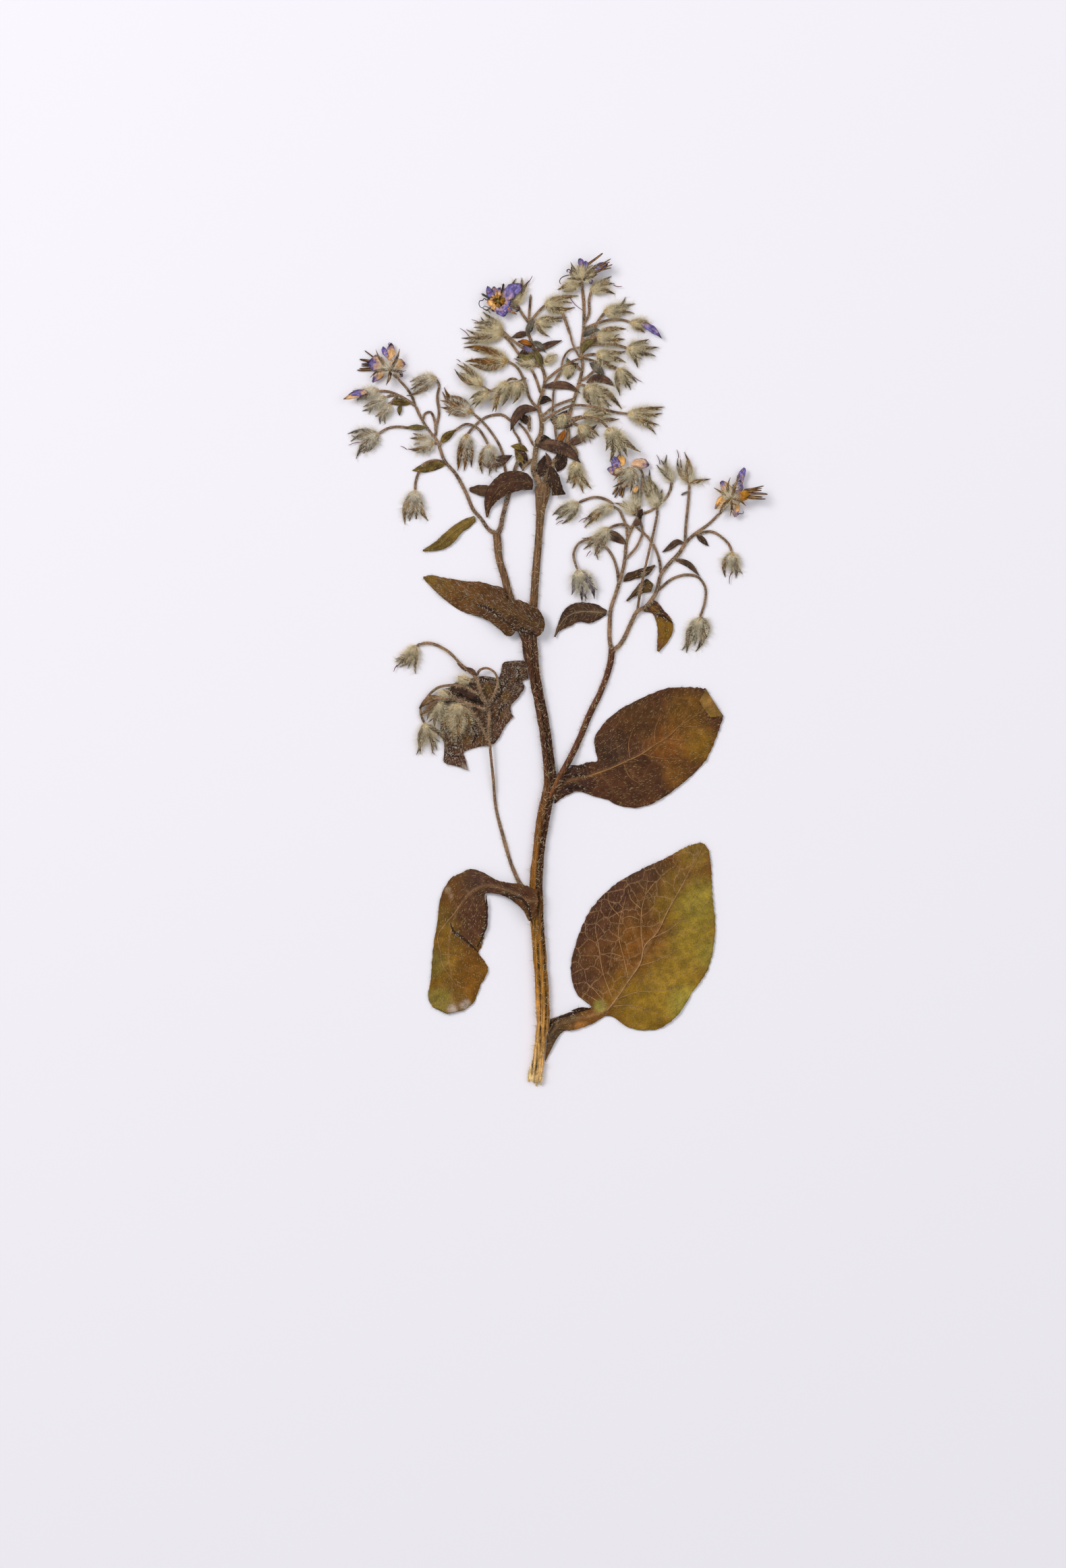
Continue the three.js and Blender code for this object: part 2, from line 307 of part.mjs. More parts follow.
      tips: [[24, 200.8], [23.6, 198.8], [22, 197]] },
    { stalk: [[12.2, 193.6, 0.3], [14, 194.2, 0.3]], cup: [16, 194.4], lift: 0.3, width: 2.1,
      tips: [[24, 192.4], [24, 194.4], [21.5, 190.8]] },
    { stalk: [[12.2, 194.6, 0.2], [14.6, 198.2, 0.4], [16.4, 203, 0.5]], cup: [18, 205.6],
      lift: 0.2, tips: [[26.4, 207.6], [24.2, 208.8], [26.1, 206], [22.4, 204.4]] },
    { stalk: [[12.6, 201, 0.2], [15.6, 202.3, 0.6], [21.3, 203.6, 0.4], [23.4, 203.4, 0.3]],
      cup: [25, 202.8], lift: 0.2, width: 1.7, tips: [[31, 201.9], [28.9, 200.2],
        [29.6, 203.2]] },
    { stalk: [[12.6, 202.4, 0.2], [13.9, 204.6, 0.2], [14.1, 209.2, 0.2]], cup: [14.4, 211.3],
      lift: 0.2, width: 1.8, tips: [[20, 215.2], [20.8, 213.4], [21, 210.2]] },
    { stalk: [[12.3, 212, 0.1]], cup: [12.1, 213.6], lift: 0.1, width: 1.6,
      tips: [[8.7, 218.5], [5.9, 211.6], [13.6, 219.4], [16.4, 212.4]] },
  ],
  bracts: [
    [[1.6, 185.4, 1.0, 0.4], [5, 186.1, 1.7, 0.4], [8.5, 185.8, 1.8, 0.3], [11.7, 184, 0.5, 0.5]],
    [[0.4, 179.6, 1.2, 0.3], [-3.6, 179.5, 2.0, 1.4], [-5.4, 177.6, 2.2, 1.4],
      [-6.9, 173.8, 0.5, 1.1]],
    [[-0.25, 170, 1.4, 0.8], [4.1, 169.9, 2.8, 1.1], [8, 168.6, 3.0, 1.1], [11.8, 165.4, 0.5, 0.9]],
    [[7.4, 169.7, 1.2, 0.8], [11.5, 171.8, 2.0, 0.7], [16.2, 175.5, 0.5, 0.5]],
    [[-2.1, 200, 1.0, 0.2], [-4.4, 199.5, 1.4, 0.2], [-6.6, 198.8, 0.5, 0.2]],
    [[-0.6, 195.1, 1.2, 0.2], [3.5, 196.9, 1.5, 0.2], [6.8, 198, 0.5, 0.2]],
    [[-0.9, 196.8, 1.0, 0.5], [-3, 197.4, 1.3, 0.8], [-4.9, 197.7, 0.5, 0.8]],
    [[13, 196.8, 1.0, 0.4], [16.8, 198.6, 1.5, 0.4], [19, 199.4, 0.5, 0.4]],
    [[13.3, 186.7, 1.4, 0.5], [16.1, 187.9, 1.9, 0.4], [18.5, 187.4, 1.6, 0.3],
      [20.9, 185.8, 0.5, 0.3]],
    [[3.6, 163.4, 1.0, 0.3], [3.2, 166.2, 1.2, 0.6], [2.5, 168.1, 0.5, 0.6]],
  ],
};
const CYMES_RIGHT = {
  arms: [
    [[20.12, 114.4, 1.5], [20.1, 115, 1.5], [19.7, 116.8, 1.4], [19.5, 121.4, 1.3], [19.7, 125.4, 1.3],
      [21.5, 131.5, 1.3], [23.6, 139.5, 1.2], [24.2, 144.9, 1.1], [25.4, 147.7, 1.1],
      [27.2, 151, 1.0], [30.8, 152.8, 1.0], [34.6, 156, 1.0], [35.9, 158.4, 1.0]],
    [[20.12, 114.4, 1.5], [20.5, 115.1, 1.5], [22.2, 116.8, 1.4], [25.6, 123.3, 1.4],
      [26.9, 125.7, 1.4, 0.5], [29, 126.9, 1.4, 1.0], [30.5, 128.5, 1.4, 1.0],
      [31.8, 130.5, 1.4, 0.3], [33.3, 135.6, 1.4], [35.9, 139, 1.3], [37.9, 141, 1.3],
      [39.9, 144.1, 1.2], [46.7, 149.7, 1.1], [50.2, 153.2, 1.0]],
    [[26.8, 125.2, 0.9, 0.6], [27.7, 131, 0.9, 1.3], [28.5, 135.1, 0.9, 1.3],
      [29.5, 139.5, 0.9, 1.1], [31.5, 148, 0.9, 0.4], [32.2, 151.6, 0.9, 0.4]],
    [[33.2, 135.4, 0.9, 0.3], [32.8, 139.2, 0.9, 0.3], [30.5, 144.6, 0.9, 0.3],
      [26, 148.8, 0.9, 0.2]],
    [[23.7, 139.4, 0.8, 0.2], [27.2, 143.8, 0.8, 0.4], [28.3, 147.4, 0.8, 0.3],
      [27.3, 150.9, 0.8, 0.2]],
  ],
  calyces: [
    { stalk: [[35.7, 158, 0.1]], cup: [36.2, 159.9], lift: 0.1, width: 1.7,
      tips: [[34.7, 167.4], [33.1, 166], [31.8, 164.5]] },
    { stalk: [[39.6, 143.6, 0.2], [39.8, 147.7, 0.2], [40.7, 157.4, 0.2]], cup: [40.8, 159.6],
      lift: 0.1, tips: [[39.1, 168.1], [37.3, 166.3], [40.9, 165], [46.4, 161.2]] },
    { stalk: [[32.2, 151.4, 0.4]], cup: [32.3, 153.4], lift: 0.2, width: 2.5,
      tips: [[30.5, 163.6], [32.2, 162], [33.9, 158.6], [28.5, 161]] },
    { stalk: [[20.3, 154.6, 0.4], [18, 155.8, 0.3], [15.4, 156.2, 0.3], [13.2, 155.6, 0.2]],
      cup: [11.2, 154.8], lift: 0.1, width: 1.8, tips: [[4.2, 151.5], [5, 150.4],
        [6.8, 149.1]] },
    { stalk: [[24.2, 145.6, 0.3], [24, 148.2, 0.5], [23.1, 150.5, 0.4], [21.9, 152.9, 0.3]],
      cup: [20.3, 154.1], lift: 0.2, tips: [[12.4, 149.9], [12.8, 148.1], [16.2, 150.2]] },
    { stalk: [[25.3, 148, 0.4], [23.3, 148.9, 0.9], [21.3, 148.7, 0.5]], cup: [19.2, 148],
      lift: 0.2, tips: [[12.4, 144.8], [12.8, 142], [15.1, 140.9], [15.9, 139.7]] },
    { stalk: [[21.9, 133.4, 0.2], [21.5, 136.9, 0.3], [19, 142.3, 0.4], [16.9, 144.1, 0.8],
      [14.4, 144.9, 0.8], [11.4, 143.9, 0.5], [9.9, 140.9, 0.5], [10.3, 138.6, 0.8]],
      cup: [11, 136.8], lift: 1.0, width: 2.4,
      tips: [[9.8, 130], [11.8, 128.2], [15.7, 129.1], [16.1, 131.2]] },
    { stalk: [[27.2, 150.9, 0.3]], cup: [26, 151.8], lift: 0.4, width: 1.4,
      tips: [[20.9, 154.9], [23.1, 155.3]] },
    { stalk: [[43, 146.4, 0.2], [46.8, 147, 0.2], [49.9, 145.1, 0.1], [51.5, 143.3, 0.1]],
      cup: [52.2, 141.6], lift: 0.1, width: 2.0, tips: [[50, 135], [52.2, 135.6],
        [53.6, 134.7], [54.6, 135.6]] },
    { stalk: [[32.6, 131.5, 0.2], [36.8, 134.7, 0.1], [39.9, 135.5, 0.1], [43.2, 134.8, 0.1],
      [45, 132.2, 0.1], [45, 128.7, 0.1], [44.3, 126, 0.1]], cup: [43.6, 124.2], lift: 0.1,
      width: 2.7, tips: [[38.5, 115.6], [40.6, 114.5], [43, 115], [45.6, 118.6]] },
    { stalk: [[50, 153, 0.1]], cup: [51.4, 154.6], lift: 0, width: 1.8,
      tips: [[47.3, 158.6], [51.5, 161.4], [53.7, 162.4], [55.9, 153.4], [51.7, 151]] },
    { stalk: [[27, 150.6, 0.2], [27.7, 155.4, 0.1], [28.1, 158, 0.1]], cup: [27.8, 159.6],
      lift: 0, width: 1.8, tips: [[29, 166], [27.2, 166.8]] },
  ],
  bracts: [
    [[24, 143.8, 1.2, 0.3], [20, 146, 2.2, 0.3], [15.6, 145.6, 0.5, 0.7]],
    [[39.8, 144.2, 1.2, 0.3], [37.4, 144.1, 1.5, 0.2], [33.8, 141.6, 0.5, 0.2]],
    [[42.4, 146.2, 1.2, 0.2], [44.6, 144.4, 1.5, 0.1], [46, 143, 0.5, 0.1]],
    [[36.6, 139.7, 1.2, 0.3], [40.2, 138.5, 1.7, 0.3], [43.5, 135.2, 0.5, 0.5]],
  ],
};

// ---------------------------------------------------------------- flowers
// centre x, y and lift of the ring that joins the petals; petals: tip x, y, width.
// anthers: root x, y, lift; tips.
const COROLLAS = {
  corolla_left: { centre: [-40.2, 191, 1.15], petals: [[-39.1, 197.2, 2.8], [-45.4, 192.2, 4.8],
    [-35.1, 191.7, 2.6], [-43.4, 187, 2.8], [-36.8, 188.4, 2.0]] },
  corolla_centre: { centre: [-10, 209, 1.7], petals: [[-13.1, 211.9, 3.8], [-4.6, 212.2, 4.8],
    [-7.4, 204.4, 3.4], [-15.4, 207.6, 2.6], [-10, 213.1, 2.4]] },
  corolla_top: { centre: [12.6, 216, 1.9], petals: [[11.6, 219.6, 2.6], [8.2, 216.8, 2.2],
    [16.6, 218.6, 3.0], [18.4, 216, 2.6], [15, 213.4, 1.8]] },
  corolla_right: { centre: [52.6, 156.6, 1.75], petals: [[55.3, 163.6, 2.4], [49.4, 160.6, 3.2],
    [48, 153.7, 3.0], [53.1, 151.3, 3.0], [56.2, 154.2, 2.2]] },
  corolla_inner: { centre: [24, 163.2, 1.55], petals: [[20.6, 165.6, 2.4], [19.1, 163.6, 2.4],
    [22.9, 166.8, 2.4], [29.7, 164.9, 2.6], [23.6, 160.9, 3.6]] },
};
const ANTHERS = {
  anthers_left: { root: [-41.6, 191.5, 0.05], tips: [[-45.8, 195.2], [-47.1, 193],
    [-47.3, 191.3], [-47.8, 190]] },
  anthers_top: { root: [14.4, 217, 3.1], tips: [[17.6, 221.2], [19.9, 219.5], [20.5, 218],
    [19.6, 216.4]] },
  anthers_right: { root: [54.4, 156.8, 3.0], tips: [[60.6, 159.1], [61.7, 157], [61.2, 155.7],
    [60, 154.9]] },
  anthers_inner: { root: [23.3, 160.6, 0.05], tips: [[20.5, 156.8], [21, 155.9], [22.6, 156.2],
    [23.8, 157.5]] },
};
const BUD_PETALS = { // twisted petals that stand out of a closed calyx
  bud_petals_left: [[-46.9, 183.6, 1.5, 2.1], [-49.2, 182.9, 1.5, 1.8], [-51.2, 182.3, 0, 1.2]],
  bud_petals_right: [[29.6, 201.4, 1.5, 1.3], [31.6, 199.8, 1.5, 1.0], [33.1, 198.8, 0, 0.6]],
};

// ---------------------------------------------------------------- colours
const COLOURS = {
  stem: 0x7a5b35, leafDark: 0x4a3420, leafOlive: 0x6e6232, calyx: 0x7c7048,
  petal: 0x6a5290, anther: 0x4a3326,
};

// ---------------------------------------------------------------- solids
const place = ([x, y], z) => new THREE.Vector3(x - CENTRE[0], y - CENTRE[1], z);

// A closed solid from points and triangles, turned so that its faces point out.
function solid(points, triangles) {
  const volume = triangles.reduce((sum, [a, b, c]) => sum
    + points[a].dot(points[b].clone().cross(points[c])), 0);
  const faces = volume < 0 ? triangles.map(([a, b, c]) => [a, c, b]) : triangles;
  return new wasm.Manifold(new wasm.Mesh({
    numProp: 3,
    vertProperties: new Float32Array(points.flatMap((p) => p.toArray())),
    triVerts: new Uint32Array(faces.flat()),
  }));
}

const join = (solids) => solids.reduce((whole, next) => whole.add(next));

// Rings of equal count skinned together, with a flat cap at each end.
function loft(rings) {
  const sides = rings[0].length;
  const triangles = [];
  for (let i = 0; i + 1 < rings.length; i += 1) {
    for (let j = 0; j < sides; j += 1) {
      const a = i * sides + j;
      const b = i * sides + ((j + 1) % sides);
      triangles.push([a, b, b + sides], [a, b + sides, a + sides]);
    }
  }
  const last = (rings.length - 1) * sides;
  for (let j = 1; j + 1 < sides; j += 1) {
    triangles.push([0, j + 1, j], [last, last + j, last + j + 1]);
  }
  return solid(rings.flat(), triangles);
}

// Unit vector across a path at point i, flat on the sheet.
function across(path, i) {
  const before = path[Math.max(i - 1, 0)];
  const after = path[Math.min(i + 1, path.length - 1)];
  return new THREE.Vector3(before[1] - after[1], after[0] - before[0], 0).normalize();
}

// A pressed round stalk along a path of [x, y, width, lift]: an oval with a flat underside.
function stalk(path, sides) {
  const lowest = Math.sin(Math.PI / 2 - Math.PI / sides);
  return loft(path.map(([x, y, width, lift = 0], i) => {
    const height = Math.min(width * PRESSED, STEM_HEIGHT);
    const side = across(path, i);
    const middle = place([x, y], lift + (height / 2) * lowest);
    return Array.from({ length: sides }, (_, k) => {
      const angle = (2 * Math.PI * (k + 0.5)) / sides + Math.PI / 2;
      return middle.clone().addScaledVector(side, (width / 2) * Math.cos(angle))
        .add(new THREE.Vector3(0, 0, (height / 2) * Math.sin(angle)));
    });
  }));
}

// A slim blade with a flat underside and a keel, drawn out to one point at its last place.
function spike(path, thickness) {
  const rings = path.map(([x, y, width, lift], i) => {
    const side = across(path, i).multiplyScalar(width / 2);
    const foot = place([x, y], lift);
    const keel = foot.clone().add(new THREE.Vector3(0, 0, thickness));
    return [foot.clone().add(side), keel, foot.clone().sub(side)];
  });
  const points = rings.slice(0, -1).flat();
  const tip = points.push(rings.at(-1)[0]) - 1;
  const triangles = [[0, 1, 2]];
  for (let j = 0; j < 3; j += 1) {
    const next = (j + 1) % 3;
    for (let a = 0; a + 3 < tip; a += 3) {
      triangles.push([a + j, a + 3 + j, a + 3 + next], [a + j, a + 3 + next, a + next]);
    }
    triangles.push([tip - 3 + j, tip, tip - 3 + next]);
  }
  return solid(points, triangles);
}

// A leaf: rows of points from edge to edge, the same grid above and below, joined at the rim.
function leaf(rows) {
  const columns = 5;
  const grid = rows.map(([ax, ay, mx, my, bx, by, lift = 0], i) => {
    const mid = (p, q) => (p + q) / 2;
    const line = [[ax, ay], [mid(ax, mx), mid(ay, my)], [mx, my], [mid(bx, mx), mid(by, my)],
      [bx, by]];
    return line.map((point, j) => {
      const edge = Math.abs(j - 2) === 2 && i % 2 === 1 ? WAVE : 0;
      return place(point, lift + edge);
    });
  });
  const below = grid.flat();
  const above = below.map((p) => p.clone().add(new THREE.Vector3(0, 0, BLADE)));
  const count = below.length;
  const triangles = [];
  for (let i = 0; i + 1 < rows.length; i += 1) {
    for (let j = 0; j + 1 < columns; j += 1) {
      const a = i * columns + j;
      const [b, c, d] = [a + 1, a + columns + 1, a + columns];
      const halves = j < 2 ? [[a, b, c], [a, c, d]] : [[a, b, d], [b, c, d]];
      halves.forEach(([p, q, r]) => triangles.push([p, r, q], [p + count, q + count, r + count]));
    }
  }
  const rim = [];
  for (let j = 0; j + 1 < columns; j += 1) rim.push(j);
  for (let i = 0; i + 1 < rows.length; i += 1) rim.push(i * columns + columns - 1);
  for (let j = columns - 1; j > 0; j -= 1) rim.push((rows.length - 1) * columns + j);
  for (let i = rows.length - 1; i > 0; i -= 1) rim.push(i * columns);
  rim.forEach((p, k) => {
    const q = rim[(k + 1) % rim.length];
    triangles.push([p, q, q + count], [p, q + count, p + count]);
  });
  return solid([...below, ...above], triangles);
}

// One flower stalk with its cup and sepals. The sepals fan out of the cup at three heights.
function calyx({ stalk: path, cup, lift, tips, width = SEPAL_WIDTH }) {
  const root = new THREE.Vector2(...cup);
  const heart = tips.reduce((sum, tip) => sum.add(new THREE.Vector2(...tip)), new THREE.Vector2())
    .divideScalar(tips.length);
  const forward = heart.clone().sub(root).normalize();
  const spread = heart.distanceTo(root) < CALYX_LENGTH; // a star seen from its end
  const along = (distance) => {
    const p = root.clone().addScaledVector(forward, spread ? distance / 2 : distance);
    return [p.x, p.y];
  };
  const cupWidth = Math.min(CALYX_WIDTH, width * 1.35);
  const pedicel = path.map(([x, y, z]) => [x, y, PEDICEL, z]);
  const body = stalk([...pedicel, [...cup, PEDICEL * 1.3, lift + 0.1],
    [...along(0.4 * CALYX_LENGTH), cupWidth, lift], [...along(CALYX_LENGTH), cupWidth * 0.7, lift]],
  STALK_SIDES);
  const sepals = tips.map((tip, k) => {
    const end = new THREE.Vector2(...tip);
    const start = new THREE.Vector2(...along(0.8));
    const way = end.clone().sub(start);
    const at = (t) => {
      const p = start.clone().addScaledVector(way, t);
      return [p.x, p.y];
    };
    const rise = lift + 0.15 + 0.3 * (k % 3);
    return spike([[...at(0), width * 0.5, lift + 0.35], [...at(0.45), width, rise],
      [...at(1), 0, Math.max(lift - 0.1, 0) + 0.25 * (k % 3)]], SEPAL_THICKNESS);
  });
  return [body, ...sepals];
}

const spray = ({ arms, calyces, bracts }) => join([
  ...arms.map((path) => stalk(path, STALK_SIDES)),
  ...calyces.flatMap(calyx),
  ...bracts.map((path) => spike(path, BRACT)),
]);

// A flower's petals, broad near the tip and joined by a short throat at the centre.
function corolla({ centre: [x, y, lift], petals }) {
  const throat = stalk([[x - 1.4, y, 1.0, lift], [x, y, 1.3, lift], [x + 1.4, y, 1.0, lift]],
    STALK_SIDES);
  const blades = petals.map(([tx, ty, width], k) => {
    const at = (t) => [x + (tx - x) * t, y + (ty - y) * t];
    const rise = lift + 0.12 * (k % 3);
    return spike([[...at(0.05), 0.9, lift + 0.1], [...at(0.6), width, rise],
      [...at(0.85), width * 0.8, rise], [...at(1), 0, rise]], PETAL);
  });
  return join([throat, ...blades]);
}

// A cone of anthers, each a slim spindle, grown together at the root.
function antherCone({ root: [x, y, lift], tips }) {
  return join(tips.map(([tx, ty]) => {
    const at = (t) => [x + (tx - x) * t, y + (ty - y) * t];
    return spike([[...at(0), 1.3, lift], [...at(0.6), 1.0, lift], [...at(1), 0, lift + 0.1]],
      ANTHER);
  }));
}

// ---------------------------------------------------------------- the plant
const plant = new THREE.Group();

function add(name, body, colour) {
  const { vertProperties, triVerts } = body.getMesh();
  const geometry = new THREE.BufferGeometry();
  geometry.setAttribute('position', new THREE.Float32BufferAttribute(vertProperties, 3));
  geometry.setIndex(new THREE.Uint32BufferAttribute(triVerts, 1));
  const material = new THREE.MeshStandardMaterial({ color: colour, roughness: 0.85, metalness: 0 });
  const mesh = new THREE.Mesh(geometry, material);
  mesh.name = name;
  plant.add(mesh);
}

add('main_stem', join([
  stalk(MAIN_STEM, STEM_SIDES), stalk(UPPER_LEFT_BRANCH, BRANCH_SIDES),
  stalk(RIGHT_BRANCH, BRANCH_SIDES),
  ...CUT_FIBRES.map((path) => spike(path, BRACT)),
]), COLOURS.stem);

const OLIVE_LEAVES = ['leaf_lower_right', 'leaf_lower_left', 'leaf_left_arm'];
const FOLDS = {
  leaf_middle_right: leaf(TIP_FLAP),
  leaf_fork_left: leaf(CRUMPLED_BRACT),
};
Object.entries(LEAVES).forEach(([name, rows]) => {
  const blade = leaf(rows);
  const whole = name in FOLDS ? blade.add(FOLDS[name]) : blade;
  add(name, whole, OLIVE_LEAVES.includes(name) ? COLOURS.leafOlive : COLOURS.leafDark);
});

add('cyme_lower_left', spray(CYME_LOWER_LEFT), COLOURS.calyx);
add('cymes_upper_left', spray(CYMES_UPPER_LEFT), COLOURS.calyx);
add('cymes_apex', spray(CYMES_APEX), COLOURS.calyx);
add('cymes_right', spray(CYMES_RIGHT), COLOURS.calyx);

Object.entries(COROLLAS).forEach(([name, flower]) => add(name, corolla(flower), COLOURS.petal));
Object.entries(ANTHERS).forEach(([name, cone]) => add(name, antherCone(cone), COLOURS.anther));
Object.entries(BUD_PETALS).forEach(([name, path]) => add(name, spike(path, BRACT), COLOURS.petal));

export default plant;
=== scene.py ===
"""A pressed, dried flowering stem of borage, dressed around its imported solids.

Every place is given in millimetres on the sheet that the plant lies on: x to the right, y up
the stem, both from the middle of its cut end. fit() carries them to the frame. A lift is how
high the underside of something lies above the sheet.
"""

import bpy
import numpy as np
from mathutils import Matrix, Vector


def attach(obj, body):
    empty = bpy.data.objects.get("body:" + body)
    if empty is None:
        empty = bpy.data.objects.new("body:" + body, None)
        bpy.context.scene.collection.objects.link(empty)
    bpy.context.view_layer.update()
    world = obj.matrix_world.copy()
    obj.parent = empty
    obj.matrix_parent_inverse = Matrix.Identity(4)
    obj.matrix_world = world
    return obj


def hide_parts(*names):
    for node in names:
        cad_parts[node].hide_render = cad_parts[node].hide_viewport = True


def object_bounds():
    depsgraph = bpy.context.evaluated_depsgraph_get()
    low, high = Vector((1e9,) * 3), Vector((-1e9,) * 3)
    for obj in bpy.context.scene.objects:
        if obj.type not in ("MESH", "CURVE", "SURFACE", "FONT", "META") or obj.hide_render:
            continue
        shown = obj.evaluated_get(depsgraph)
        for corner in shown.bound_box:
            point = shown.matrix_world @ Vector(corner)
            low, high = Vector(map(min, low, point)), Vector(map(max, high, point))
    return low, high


bl_info = {
    "name": "Pressed Borage",
    "version": (1, 0, 0),
    "blender": (4, 5, 0),
    "location": "View3D > Sidebar > Borage",
    "description": "Dresses the solids of a pressed borage stem with leaves, hairs and flowers",
    "category": "Object",
}

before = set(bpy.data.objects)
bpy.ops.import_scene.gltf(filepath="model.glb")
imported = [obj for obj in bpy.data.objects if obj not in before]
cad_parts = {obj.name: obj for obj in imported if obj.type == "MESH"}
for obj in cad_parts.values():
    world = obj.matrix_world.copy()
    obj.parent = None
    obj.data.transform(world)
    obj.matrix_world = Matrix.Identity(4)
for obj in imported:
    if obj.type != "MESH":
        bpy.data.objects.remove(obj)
CAD_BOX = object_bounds()

MM = 0.001
CENTRE = np.array([5.28, 110.1, 0.0])  # middle of the plant, from the cut end of the stem
PRESSED = 0.72  # height of a pressed stem or stalk over its width
STEM_HEIGHT = 2.4  # the thickest stem is pressed down to this height
RIB_TWIST = 0.12  # how far ribs turn round a stem or stalk, in radians for each mm
ROUND_END = 0.4  # length of the round end of a stem or stalk over its width
THIN_EDGE = 0.75  # what a blade loses of its thickness at its edges
SHEET = 0.02  # nothing lies lower than this above the sheet
TOP = CAD_BOX[1][2] / MM  # and nothing higher than the solids

# ---------------------------------------------------------------- stems: x, y, width, lift
# The lift is how high the underside lies above the sheet (0 where it isn't given).
MAIN_STEM = [
  [-0.4, 0, 3.4], [0.4, 5.8, 3], [0.95, 10, 2.8], [1.7, 16.5, 3.3], [1.5, 24, 3.4],
  [0.85, 34, 3.3], [0.2, 43.5, 3.4], [0, 50, 3.4], [0.05, 55, 3.3], [0.65, 62, 3],
  [1.85, 71, 3.3], [3.6, 80, 3.2], [2.95, 88.5, 2.9], [1.5, 98.5, 2.8], [0.2, 105, 2.8],
  [-0.7, 110, 2.9], [-1.75, 117, 4], [-1.6, 121, 3.2], [-0.85, 127, 2.2], [-0.2, 136, 2],
  [0.35, 142, 1.9], [0.85, 148.5, 1.95], [1.2, 153.6, 2.6], [1.66, 157.4, 3.9],
  [1.7, 158, 4],
]
UPPER_LEFT_BRANCH = [
  [-1.6, 113.5, 1.9, 0.2], [-3, 118, 1.9], [-5.5, 125, 1.9], [-7.05, 129.7, 1.9],
  [-9, 136.4, 1.9], [-10, 140, 1.9], [-10.5, 145.2, 2.1],
]
RIGHT_BRANCH = [
  [3.2, 75, 1.7, 0.6], [5, 79, 1.7, 1.2], [6.8, 82.6, 1.6, 1.2], [9.1, 86.7, 1.6, 0.7],
  [11.6, 92, 1.6], [14, 97.9, 1.6], [17.4, 105, 1.5], [20, 114, 1.6],
]
CUT_FIBRES = [  # slivers of rind at the cut end
  [[-1.2, 4.5, 1.2, 0.6], [-1.8, 2, 0.9, 0.4], [-2.3, 0.3, 0.3, 0.3]],
  [[-0.2, 3, 1.1, 0.3], [0, 0.6, 0.9, 0.2], [0, -1, 0.3, 0.2]],
  [[0.9, 3.4, 1.1, 0.7], [1.2, 1, 0.8, 0.7], [1.25, -0.6, 0.3, 0.6]],
]

